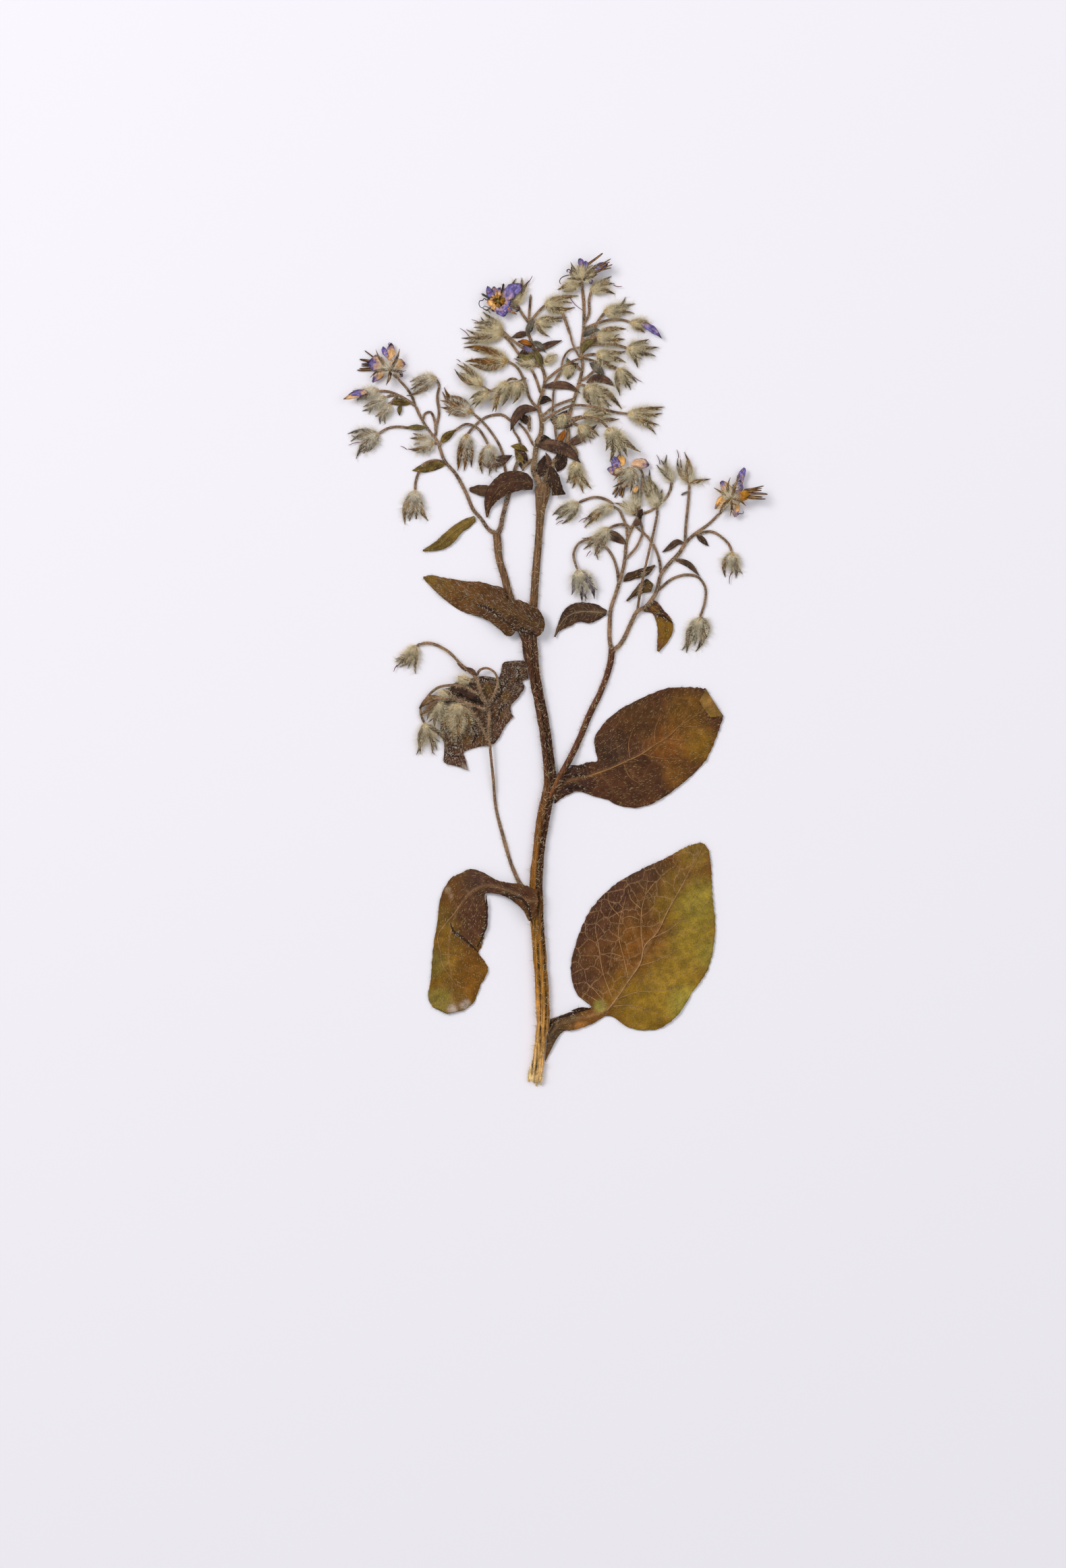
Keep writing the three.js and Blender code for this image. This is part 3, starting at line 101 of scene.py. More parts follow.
# ---------------------------------------------------------------- leaves
# Each row crosses the blade from one edge over the midrib to the other edge:
# edge x, y, midrib x, y, other edge x, y, and the lift where the blade lies over something.
LEAVES = {
  "leaf_lower_right": [
    [3.75, 17, 3.05, 12.2, 2.3, 5.6], [5.8, 17.7, 6.2, 15.3, 6.25, 12.9],
    [11.25, 19.6, 11, 17, 10.4, 14.2], [14.2, 20, 15.5, 18, 15, 15.8],
    [14.4, 20.6, 18.2, 19.3, 19.4, 17.9], [10.8, 23.75, 20.8, 21.5, 24.6, 14.8],
    [9.2, 30, 23, 25, 31.7, 14.2], [10.4, 36.7, 25.5, 28.8, 37.5, 17.9],
    [13.75, 45, 28, 33, 41.5, 24], [20, 52.1, 31, 38.5, 45.8, 30.4],
    [28.3, 57.1, 34.5, 45, 47.7, 41], [34.2, 59.8, 38, 51, 47, 49.5],
    [40.1, 63, 41.8, 57.8, 46.6, 57.5], [43.7, 64.1, 44.8, 63.7, 46, 62],
  ],
  "leaf_lower_left": [
    [0.3, 51.5, 0.6, 48.5, -0.1, 44.2, 2.75], [-1.9, 52.3, -2.2, 48.5, -2, 43.3, 2.75],
    [-4.2, 53.1, -4.8, 50, -3.5, 46, 2.5], [-8.1, 53.5, -7.8, 51.3, -7.3, 49.2, 1.6],
    [-11.2, 54.4, -11.6, 52.4, -11.9, 50.6, 0.9], [-13.5, 55.8, -13.8, 52.5, -13.7, 50.4, 0.5],
    [-17, 57, -16.5, 51.5, -13.4, 47, 0.2], [-20.4, 55.8, -19.5, 48.5, -13.3, 43.8],
    [-23.1, 54.2, -21.5, 45, -13.8, 39.6], [-25.4, 50, -22.6, 41.5, -14.6, 36.5],
    [-26.5, 42.3, -23.3, 37, -15.4, 34.6], [-27.3, 37.7, -23.5, 33, -13.8, 32.3],
    [-27.9, 31.9, -22.8, 29.5, -12.9, 29.9], [-28.2, 27.3, -22.5, 26, -15, 25.8],
    [-28.9, 22.8, -22.6, 21.8, -16.6, 21.6], [-27.7, 20.2, -23.8, 18.4, -19.2, 19.4],
  ],
  "leaf_middle_right": [
    [5.55, 80.4, 5.15, 77.5, 4.75, 74.4], [8, 83.5, 7.8, 80, 7.6, 76.4],
    [11.9, 84.9, 11.8, 81.3, 11.6, 77.7], [14.2, 85.6, 15, 82.1, 15.8, 76.3],
    [16.3, 85.9, 17.6, 83, 19, 75.5], [15.8, 88.4, 20, 84, 21.8, 74],
    [15.45, 91.6, 22.3, 85, 26, 73.4], [17.3, 95, 25, 86.3, 29.6, 74],
    [20.8, 98.5, 28.1, 87.8, 33.5, 75.9], [25, 101.1, 31, 89.8, 37.5, 78.7],
    [30.3, 103.6, 34, 91.6, 42, 82.5], [34.7, 105.2, 37, 94.2, 45.1, 86],
    [40.8, 105.5, 41, 97, 47.3, 90.4], [45.2, 105.1, 47.2, 101.2, 49.9, 97.8],
  ],
  "leaf_middle_left": [
    [-3.2, 112.7, -2.65, 110.2, -2.15, 107.8], [-6.15, 112.6, -4.5, 109, -3.65, 107],
    [-8.6, 112.2, -6, 107.5, -3.2, 105.5], [-9.5, 109.5, -8.5, 106, -4.8, 102.8],
    [-10.3, 108.1, -11, 104.5, -6.7, 100.6], [-14.4, 108.5, -13, 102.5, -6.7, 98.7],
    [-18.5, 107.5, -15, 100, -6.2, 97.5], [-22.3, 106.4, -16.8, 97.5, -8.1, 95.4],
    [-24.3, 103, -18.2, 95, -10, 92], [-25.5, 98, -19.3, 92.5, -11.8, 90.1],
    [-25.5, 93, -20.3, 90.3, -15, 89.7], [-24.6, 90, -21, 88.2, -19.4, 88.1],
    [-24.7, 85.8, -21.5, 86.4, -18.8, 86.2], [-23.8, 85, -21.3, 84.7, -18.3, 83.4],
  ],
  "leaf_upper_left": [
    [1.9, 124.1, 2.3, 122.2, 1.9, 120.4, 2.75], [0.4, 126.3, -0.4, 122.4, 0.4, 119.1, 2.75],
    [-2.05, 127.7, -2.5, 123.3, -1.3, 120.2, 2.75], [-4.6, 128.7, -4.8, 124.4, -4.4, 121.3, 2.5],
    [-7.6, 128.9, -7.2, 125.4, -7.2, 118.95, 2.1], [-8.7, 131.8, -9.7, 126.2, -10, 121, 1.8],
    [-11.3, 132.6, -12.2, 127.2, -12.6, 123.1, 1.2], [-14.5, 133.5, -15, 128.3, -16, 124.5, 0.6],
    [-18.7, 133.8, -19, 129.6, -20, 125.8], [-23.8, 134.6, -22.8, 130.9, -22.9, 127.7],
    [-28.15, 135.4, -27, 132.7, -26.2, 130.4], [-30.1, 135, -30.1, 134.6, -29.2, 133.4],
  ],
  "leaf_left_arm": [
    [-16.6, 151.2, -16.3, 150.8, -16.2, 149.7], [-18.6, 150.6, -18, 149.6, -17.6, 148.3],
    [-21.5, 149, -20.8, 147.9, -19.8, 146.8], [-24.6, 146.5, -23.6, 145.5, -22.4, 143.8],
    [-27, 144.3, -26.2, 143.3, -25.2, 142.2], [-30.2, 142.2, -30.3, 141.9, -30, 141.7],
  ],
  "leaf_fork_left": [
    [-1, 160.8, -0.85, 159.5, -1.05, 158.1, 1.8], [-2.5, 162.5, -3, 160.3, -3.5, 158, 1.8],
    [-5.5, 163.1, -5.8, 160.2, -6, 157.5, 1.8], [-8.5, 162.8, -8.6, 159.5, -8.2, 156.6, 1.8],
    [-11, 161.1, -10.8, 157.5, -9.9, 155.5, 1.5], [-13.2, 158.2, -12.2, 155.5, -11.2, 154.4, 0.8],
    [-13.9, 154.8, -13, 153.2, -12.2, 153, 0.3], [-13.4, 151, -13.1, 150.8, -12.8, 151.2],
  ],
  "leaf_fork_right": [
    [3.6, 164.3, 4.1, 164.3, 4.6, 163.9, 2.1], [3, 162, 4.4, 161.8, 5.9, 162.2, 2.1],
    [3.1, 159.5, 4.9, 159.5, 6.7, 159.6, 2.1], [4.2, 157.9, 5.7, 157.6, 7.3, 157.9, 1.6],
    [4.2, 156.6, 5.9, 156.7, 7.8, 156.9, 1.2],
  ],
  "leaf_right_branch": [
    [18.8, 126, 18.75, 125.3, 18.5, 124.7], [16.6, 127.4, 16.8, 125.5, 16.2, 123.3],
    [14, 128, 14, 125.6, 13.8, 122.6], [11.5, 128.15, 11.6, 125.6, 11.4, 123],
    [9.2, 127.5, 9.4, 125, 9.4, 122], [7.2, 125.8, 7.5, 123.7, 7.6, 121.2],
    [5.9, 122.8, 6.1, 121.7, 6.1, 120.4], [4.8, 119.2, 4.85, 118.9, 5.1, 118.95],
  ],
  "leaf_right_fork": [
    [28, 126.2, 29, 127.4, 30.8, 129.2], [29.4, 125.6, 30.8, 127, 32.3, 128.2],
    [30.8, 125.3, 32.3, 125.6, 34.1, 125.9], [31.8, 123.6, 33.5, 123.8, 35.6, 124.3],
    [32.2, 121.5, 34, 121.7, 36.4, 122.3], [32.3, 119.5, 34.1, 119.4, 36.3, 120],
    [32.2, 117.5, 33.6, 117.4, 35, 117.6], [32.2, 115.2, 32.5, 115, 32.9, 115.2],
  ],
  "leaf_outer_arm_upper": [
    [23.4, 134.8, 23.3, 134.2, 23.2, 133.6], [24, 135.8, 24.5, 134.8, 24.8, 133.9],
    [26, 136.5, 26.8, 135.6, 27, 134.6], [28.2, 137.3, 28.8, 136.3, 29.3, 135.1],
    [30, 137.7, 30.3, 137.2, 30.6, 136.3], [31.5, 138.2, 31.7, 138, 31.6, 137.7],
  ],
  "leaf_outer_arm_lower": [
    [31.2, 132.9, 30.9, 131.9, 30.6, 131], [30, 134.2, 29.8, 132.3, 29.8, 130.8],
    [28.4, 134, 28.2, 132, 28.3, 130.6], [27, 132.6, 26.9, 131.3, 26.9, 130],
    [25.6, 130.8, 25.7, 130.1, 25.8, 129.5], [24, 128.7, 24.1, 128.5, 24.4, 128.4],
  ],
}
TIP_FLAP = [  # tip of the middle right leaf, turned back over the blade
  [45.2, 104.9, 47.5, 101.3, 49.7, 97.8, 0.5], [44.3, 103.4, 46, 100.7, 48.3, 97.6, 0.75],
  [43.3, 102, 44.6, 99.9, 46.4, 97.4, 0.7],
]
CRUMPLED_BRACT = [  # dry bract beside the left leaf of the fork
  [-12.6, 159.2, -12.3, 157.6, -12.4, 156, 1], [-15, 159.5, -15, 158, -15, 156.6, 0.6],
  [-17.8, 158.8, -17.9, 158.2, -17.6, 157.6, 0.3],
]

# ---------------------------------------------------------------- sprays of flowers
# arms: x, y, width, lift. calyces: the points x, y, lift of a stalk up to its cup; x, y of the
# cup; its lift; x, y of the sepals' tips; and their width, where it isn't the usual one.
# bracts: x, y, width, lift.
CYME_LOWER_LEFT = {
  "arms": [
    [[-2.6, 51.2, 1.3, 0.2], [-4.2, 52.9, 1.3, 0.1], [-6.15, 56.9, 1.2], [-8.8, 65.4, 1.2],
      [-10.8, 73.5, 1], [-11.5, 81, 1, 0.9], [-12.2, 88, 0.95, 1.5], [-12.7, 94, 0.95, 1.6],
      [-12.7, 99, 1.1, 1.6], [-14.9, 104.4, 1.2, 1.6], [-16.15, 108, 1.2, 1.6],
      [-20, 111.5, 1, 1.1], [-24.2, 115.5, 1, 0.4], [-29.7, 117.3, 1, 0.3],
      [-31.5, 116.8, 1, 0.3]],
    [[-16, 108.2, 0.8, 1.9], [-15.1, 110, 0.8, 1.9], [-13.3, 110.6, 0.8, 1.8],
      [-11.3, 109.6, 0.8, 1.7], [-10.3, 107, 0.8, 1.6], [-11.3, 103.6, 0.8, 1.6],
      [-12.9, 100.8, 0.8, 1.8]],
    [[-13.2, 99.4, 1, 1.9], [-18.7, 101.3, 0.95, 1.9], [-22, 102.3, 0.9, 1.8],
      [-27.5, 102.5, 0.9, 1.4]],
  ],
  "calyces": [
    [[[-31.2, 116.9, 0.3]], [-31.9, 116.5], 0.2, [[-37.8, 113.3], [-37.7, 112.5], [-37.6, 111.2],
      [-36.3, 110.8], [-32.9, 109.2]], 1.5],
    [[[-16.8, 107, 1.8]], [-17.6, 107.4], 1.5, [[-21, 107.2], [-20.9, 108.4]], 1.2],
    [[[-21.6, 103, 1.5]], [-22.6, 103.3], 1.2, [[-26.4, 103.2], [-25, 104.8]], 1.2],
    [[[-14.3, 101.8, 2.2], [-16.9, 104.4, 2.2], [-20, 105.8, 2.1], [-23.3, 106, 1.8], [-26.15, 105.4, 1.2],
      [-29.5, 102.3, 0.8], [-30.9, 99.6, 0.5], [-30.5, 97.4, 0.5]], [-29.9, 95.9], 0.4, [[-32.4, 87.6],
      [-30.6, 87.7], [-27, 88], [-26, 89], [-23.2, 90.2]], 1.6],
    [[[-13, 91.4, 1.9], [-13.8, 93.4, 2], [-15.2, 96, 2], [-16.8, 98.4, 2], [-18.6, 100.4, 2]],
      [-20.8, 101.2], 1.5, [[-25.4, 93.4], [-22.8, 91.2], [-21, 90.9], [-19.2, 91.5], [-17.3, 94.2]], 2.8],
    [[[-24.4, 102.7, 1.5]], [-25.4, 101.8], 0.9, [[-29.2, 96.6], [-27.6, 94.4], [-25.6, 95.6]], 1.6],
  ],
  "bracts": [
    [[-26.2, 102.2, 0.8, 1.8], [-28.2, 100.3, 1.2, 1.3], [-29.4, 99.1, 1.1, 1],
      [-31, 98, 0.4, 0.6]],
    [[-25.6, 102.9, 0.7, 1.4], [-28.2, 102.4, 1.1, 1.2], [-29.8, 101.3, 1.5, 1],
      [-31.3, 99.9, 0.4, 0.9]],
  ],
}
CYMES_UPPER_LEFT = {
  "arms": [
    [[-10.5, 145.6, 1.8], [-10.7, 146.3, 1.7], [-12.4, 147.3, 1.4], [-14.8, 150.5, 1.2],
      [-16.8, 152.8, 1.2], [-18.7, 157.2, 1.2], [-21.7, 162.6, 1.2], [-24.3, 165.6, 1.1],
      [-26.9, 171.8, 1.1], [-28.15, 173.3, 1], [-31.2, 178.2, 1], [-32.3, 180.7, 1]],
    [[-10.5, 145.6, 1.8], [-10.3, 146.4, 1.8], [-9.6, 148, 1.7], [-9, 151, 1.6], [-7.2, 157.5, 1.5],
      [-5.6, 164, 1.3], [-4.2, 168.5, 1.1], [-4.6, 171.5, 0.9], [-6.1, 174.1, 0.8],
      [-6.7, 176.8, 0.9]],
    [[-26.9, 173.2, 0.8, 0.1], [-27.1, 176.4, 0.8, 0.1], [-28.4, 179, 0.8, 0.1],
      [-29.8, 178.4, 0.8, 0.1], [-30.2, 176.4, 0.8, 0.1]],
  ],
  "calyces": [
    [[[-24.3, 165.5, 0.1], [-27.4, 166, 0.1], [-30, 165, 0.1], [-31.5, 162.5, 0.1], [-32.3, 159.6, 0.1]],
      [-32.3, 158], 0.1, [[-35.5, 149.1], [-33.8, 149.8], [-31.7, 150.4], [-29.3, 149.7]], 2.4],
    [[[-32.3, 180.4, 0.1], [-34, 181.8, 0.1], [-36.6, 183.3, 0.1], [-40.4, 184.5, 0.1]], [-42, 184.5], 0.2,
      [[-49, 184.4], [-48.7, 183.2], [-48, 181.9]], 1.7],
    [[[-36.6, 183.1, 0.1], [-38.5, 183.4, 0.1]], [-40.2, 182.9], 0.1, [[-46.4, 179.1], [-45, 178.7],
      [-46.2, 180.5]], 1.7],
    [[[-36.9, 183.2, 0.1], [-38, 182.2, 0.1]], [-39, 181], 0.1, [[-42.1, 176], [-40.9, 176],
      [-42.8, 177.6]], 1.6],
    [[[-26.9, 172.6, 0.1], [-26.6, 175.4, 0.1], [-26, 178.2, 0.1], [-26.4, 183.1, 0.1], [-26, 186.4, 0.1]],
      [-26.8, 188.2], 0.1, [[-33.8, 187], [-33.2, 185.8], [-33.3, 184.4], [-34.3, 182.8]], 1.8],
    [[[-29.2, 174.9, 0.1], [-31.5, 175, 0.2], [-34, 174.7, 0.2], [-36.6, 175, 0.2], [-40, 174.4, 0.1]],
      [-42, 173.1], 0.1, [[-50.3, 173.3], [-49.6, 171.3], [-48.1, 166.5], [-46.4, 168]]],
    [[[-26, 170.6, 0.1]], [-27.2, 170.6], 0.1, [[-33, 173.2], [-33.7, 171.6], [-34.2, 169], [-32, 168]],
      1.8],
    [[[-6.6, 176.4, 0.1], [-9, 178.1, 0.1], [-11.5, 178.1, 0.1], [-14.1, 177.2, 0.1], [-16.8, 174.9, 0.2]],
      [-18.6, 173], 0.3, [[-17, 164.2], [-18.9, 163.1], [-20.7, 163.2], [-21.8, 165.2]], 2.4],
    [[[-6.6, 160, 0.1], [-8.2, 163.1, 0.1], [-8.7, 166.7, 0.1], [-9.7, 169.7, 0.1], [-11.5, 172.8, 0.1],
      [-14.4, 176.3, 0.2]], [-17, 178.8], 0.1, [[-24.8, 185.3], [-25.5, 183.7], [-25.8, 181.8],
      [-25.6, 180.4], [-23.5, 178.7]], 2.2],
    [[[-26, 169.5, 0.3], [-24.3, 172.5, 0.3], [-21.5, 174.1, 0.3], [-18.6, 175.7, 0.6], [-16, 174.8, 0.6],
      [-14, 172.3, 0.5]], [-12.8, 170.2], 0.3, [[-14.4, 162.4], [-12.6, 162], [-10.9, 162.9], [-10, 164]],
      2.2],
    [[[-32.3, 180.4, 0.1], [-33.2, 183.1, 0.4], [-34.6, 185.2, 1], [-37, 187.8, 1.9]], [-38.8, 189.8],
      2.2, [[-42.9, 195.3], [-36.1, 195.5], [-44.3, 188.2], [-34.8, 189.5], [-40.2, 186]], 1.9],
  ],
  "bracts": [
    [[-24.2, 164.9, 1.5, 0.1], [-27.4, 164.7, 2.4, 0.1], [-30, 164, 2.2, 0.1],
      [-33.1, 163.3, 0.5, 0.1]],
    [[-33.4, 181.2, 1.2, 0.1], [-37, 181.6, 1.6, 0.1], [-39.6, 181.2, 0.5, 0.1]],
    [[-25.6, 170.5, 1.2, 0.3], [-24, 172.3, 1.7, 0.5], [-21.5, 174.1, 0.6, 0.5]],
    [[-2.4, 168.6, 1.2, 0.2], [-4.6, 169.5, 1.7, 0.2], [-6.8, 169.9, 0.5, 0.1]],
    [[-2.5, 164.4, 1, 0.2], [-4.1, 166.4, 1.8, 0.2], [-5.8, 168.9, 0.5, 0.2]],
  ],
}
CYMES_APEX = {
  "arms": [
    [[1.72, 158.4, 3], [1.7, 159, 2.8], [0.4, 160.8, 2.2], [-0.7, 162.8, 1.9], [-0.4, 166.7, 1.8],
      [0, 169.8, 1.8], [1.2, 173.1, 1.6], [1.3, 176.9, 1.5], [0.6, 180, 1.4], [1.8, 184.6, 1.3],
      [2.3, 187.7, 1.2], [1.3, 191.3, 1.1], [-1.5, 198, 1], [-2.3, 200.5, 1],
      [-2, 202.8, 1]],
    [[1.75, 158.4, 2.4], [1.9, 159.2, 2.3], [3.1, 162.6, 1.7], [4.6, 165.4, 1.6], [8.4, 171.5, 1.4],
      [8.4, 176.2, 1.3], [9.8, 181.5, 1.2], [11, 185.4, 1.2], [12.3, 191.6, 1.1],
      [12, 194.6, 1.1], [12.6, 201.5, 1], [12.6, 208, 1], [12.2, 212.2, 1]],
    [[1, 177.2, 0.8, 0.3], [4.9, 180.5, 0.8, 0.5], [8.6, 182, 0.8, 0.3], [10.4, 182.6, 0.8, 0.2]],
    [[5.7, 168.4, 0.8, 0.8], [5.1, 173.8, 0.8, 0.6], [4.4, 179.5, 0.8, 0.6],
      [4.6, 184.9, 0.8, 0.4]],
    [[-0.6, 169.6, 0.8, 0.5], [-3.1, 174.2, 0.8, 0.4], [-4.9, 176.2, 0.7, 0.3]],
    [[6.9, 189.5, 0.7, 0.5], [6.8, 191.6, 0.7, 0.5], [8.6, 195.2, 0.7, 0.5],
      [12.2, 196.3, 0.7, 0.3]],
    [[12, 192.8, 0.7, 0.3], [9.7, 196.9, 0.7, 0.7], [9, 200, 0.7, 0.3]],
    [[-2, 202.4, 0.8, 0.1], [-1.7, 208, 0.8, 0.1], [-1.5, 210.4, 0.8, 0.1]],
    [[11.6, 187, 0.8, 0.2], [13.2, 188, 0.8, 0.2], [16.7, 191.3, 0.8, 0.2]],
  ],
  "calyces": [
    [[[1.1, 184.1, 0.1], [-1, 189.7, 0.2], [-4.6, 194.2, 0.2], [-7.2, 197.8, 0.2]], [-9, 199.7], 0.1,
      [[-16.7, 201.5], [-18.7, 200.5], [-20, 198.8], [-19.2, 196.9]]],
    [[[1.3, 190.6, 0.2], [-0.4, 193.6, 0.5], [-4.6, 196.7, 0.5], [-7, 198.6, 0.5]], [-8.9, 200.6], 0.3,
      [[-14.5, 205.4], [-15.1, 203.8], [-16.7, 202.5]]],
    [[[0.5, 179.6, 0.3], [-1.5, 182, 0.4], [-3.3, 187.4, 0.4], [-5.6, 191.2, 0.3]], [-7.5, 192.4], 0.2,
      [[-15.1, 196.2], [-19.1, 196.9], [-18.8, 193.7], [-18, 192]], 2.6],
    [[[-3.2, 187.2, 0.6], [-7.5, 186.4, 1.2], [-12.3, 184.5, 1.2]], [-14.5, 185.7], 0.8, [[-19.8, 191.9],
      [-21.5, 191.4], [-22.1, 189.9], [-20.7, 189.2]], 1.8],
    [[[-10, 185.3, 1.6], [-11.2, 184.9, 1.8]], [-12.6, 184.1], 1.8, [[-17.4, 180.5], [-16.3, 179.9],
      [-17.9, 182.2]], 1.7],
    [[[-5.4, 187.6, 1.1], [-6.8, 187.7, 1.3]], [-8, 187], 1.4, [[-11.8, 178.9], [-10.3, 178.7],
      [-12.4, 182]], 2.1],
    [[[-3, 187.8, 0.8]], [-4.9, 187], 1, [[-8.5, 180], [-6, 181], [-3.6, 183.6]], 1.9],
    [[[1.2, 191, 0.2]], [-0.2, 191.5], 0.3, [[-5.9, 193.3], [-5.6, 192]], 1.3],
    [[[0.6, 192, 0.2]], [1.9, 192.2], 0.3, [[5.3, 194.5], [4.4, 192.8]], 1.2],
    [[[-2, 202.6, 0.2], [-4.1, 205.6, 0.3]], [-5.4, 207.6], 0.2, [[-6, 214.5], [-3.9, 214.7],
      [-2.2, 214.1]]],
    [[[-4.6, 206.2, 0.2], [-6.6, 207.2, 0.1]], [-8.4, 208], 0, [[-14.7, 210.4], [-8.9, 213],
      [-5.4, 204.9], [-13.6, 206.2]], 1.7],
    [[[-2, 202.6, 0.3], [0.5, 205.6, 0.3]], [2.2, 207.6], 0.2, [[11.2, 210], [8.2, 209.5], [10.2, 206.7],
      [6.9, 205.4]]],
    [[[-2, 202.4, 0.4]], [-0.2, 203.1], 0.3, [[8.2, 204.2], [7, 203.2], [3.2, 198.9]], 1.5],
    [[[2.3, 187.2, 0.2], [7.2, 191, 0.6], [12.6, 193.2, 0.9], [15.9, 192.3, 0.7], [19.6, 190.8, 0.4]],
      [21.8, 190.6], 0.2, [[26.7, 186.7], [25.3, 184.9], [22.8, 183.3]], 1.7],
    [[[1.3, 176.2, 0.6], [5.6, 179, 1], [9.2, 180.5, 1.2], [15.1, 180.3, 0.9], [22, 178.7, 0.4]],
      [24.4, 178.5], 0.3, [[34.2, 180.3], [33.6, 178.6], [32.7, 175.6], [32.3, 173.6]]],
    [[[8.6, 177, 0.2], [10.4, 177.4, 0.3]], [12.4, 177.8], 0.2, [[22, 176.7], [21.4, 178.4],
      [19.6, 179.4]], 1.9],
    [[[8.3, 175.6, 0.4], [11.4, 177, 1.5], [14.6, 177.4, 2.2], [17.4, 176.2, 2.6]], [19.1, 174.6], 2.7,
      [[27.4, 167.6], [24.2, 166.8], [20, 165.6], [18.6, 168.4]], 2.5],
    [[[8.4, 175.8, 0.4], [10, 175.8, 0.4]], [11.4, 175.3], 0.3, [[16.6, 172.3], [15.2, 171.6],
      [13.4, 170.8]], 1.8],
    [[[8.5, 178.4, 0.4]], [7.2, 178.4], 0.6, [[5.5, 175], [7, 174.8]], 1.3],
    [[[11.8, 190, 0.3], [10.6, 191.2, 0.4]], [9.6, 191.4], 0.3, [[7.2, 189], [8.4, 188.6]], 1.3],
    [[[8.2, 170.6, 0.3], [9.8, 169.8, 0.5], [10.9, 167.6, 0.4]], [10.2, 165.8], 0.2, [[12.1, 157.2],
      [14.9, 158.5], [9.8, 158.6], [8, 160]], 2.2],
    [[[11.2, 186.4, 0.3]], [13.3, 186], 0.2, [[19.5, 180], [17, 179.3], [14.4, 180.4], [22.6, 179.4]], 2.6],
    [[[12, 195.6, 0.3], [16, 196.9, 0.7], [21, 196.8, 0.9]], [24.2, 195.9], 0.5, [[32.7, 196.7],
      [32, 194.6], [30, 198.4], [26.9, 190.6]], 1.8],
    [[[12.2, 197.2, 0.3], [14, 198.6, 0.3]], [16, 199], 0.3, [[24, 200.8], [23.6, 198.8], [22, 197]], 2.1],
    [[[12.2, 193.6, 0.3], [14, 194.2, 0.3]], [16, 194.4], 0.3, [[24, 192.4], [24, 194.4], [21.5, 190.8]],
      2.1],
    [[[12.2, 194.6, 0.2], [14.6, 198.2, 0.4], [16.4, 203, 0.5]], [18, 205.6], 0.2, [[26.4, 207.6],
      [24.2, 208.8], [26.1, 206], [22.4, 204.4]]],
    [[[12.6, 201, 0.2], [15.6, 202.3, 0.6], [21.3, 203.6, 0.4], [23.4, 203.4, 0.3]], [25, 202.8], 0.2,
      [[31, 201.9], [28.9, 200.2], [29.6, 203.2]], 1.7],
    [[[12.6, 202.4, 0.2], [13.9, 204.6, 0.2], [14.1, 209.2, 0.2]], [14.4, 211.3], 0.2, [[20, 215.2],
      [20.8, 213.4], [21, 210.2]], 1.8],
    [[[12.3, 212, 0.4]], [12.2, 213.8], 1.9, [[9, 218.7], [8.6, 216.4], [17.1, 219], [13.2, 218.4],
      [16.4, 215.4], [8.2, 214.2]], 1.4],
    [[[12.3, 212.6, 0.4]], [11.2, 213.4], 0.3, [[5.7, 211.3], [7.2, 210.9]], 1.9],
  ],
  "bracts": [
    [[1.6, 185.4, 1, 0.4], [5, 186.1, 1.7, 0.4], [8.5, 185.8, 1.8, 0.3], [11.7, 184, 0.5, 0.5]],
    [[0.4, 179.6, 1.2, 0.3], [-3.6, 179.5, 2, 1.4], [-5.4, 177.6, 2.2, 1.4],
      [-6.9, 173.8, 0.5, 1.1]],
    [[-0.25, 170, 1.4, 0.8], [4.1, 169.9, 2.8, 1.1], [8, 168.6, 3, 1.1], [11.8, 165.4, 0.5, 0.9]],
    [[7.4, 169.7, 1.2, 0.8], [11.5, 171.8, 2, 0.7], [16.2, 175.5, 0.5, 0.5]],
    [[-2.1, 200, 1, 0.2], [-4.4, 199.5, 1.4, 0.2], [-6.6, 198.8, 0.5, 0.2]],
    [[-0.6, 195.1, 1.2, 0.2], [3.5, 196.9, 1.5, 0.2], [6.8, 198, 0.5, 0.2]],
    [[-0.9, 196.8, 1, 0.5], [-3, 197.4, 1.3, 0.8], [-4.9, 197.7, 0.5, 0.8]],
    [[13, 196.8, 1, 0.4], [16.8, 198.6, 1.5, 0.4], [19, 199.4, 0.5, 0.4]],
    [[13.3, 186.7, 1.4, 0.5], [16.1, 187.9, 1.9, 0.4], [18.5, 187.4, 1.6, 0.3],
      [20.9, 185.8, 0.5, 0.3]],
    [[3.6, 163.4, 1, 0.3], [3.2, 166.2, 1.2, 0.6], [2.5, 168.1, 0.5, 0.6]],
  ],
}
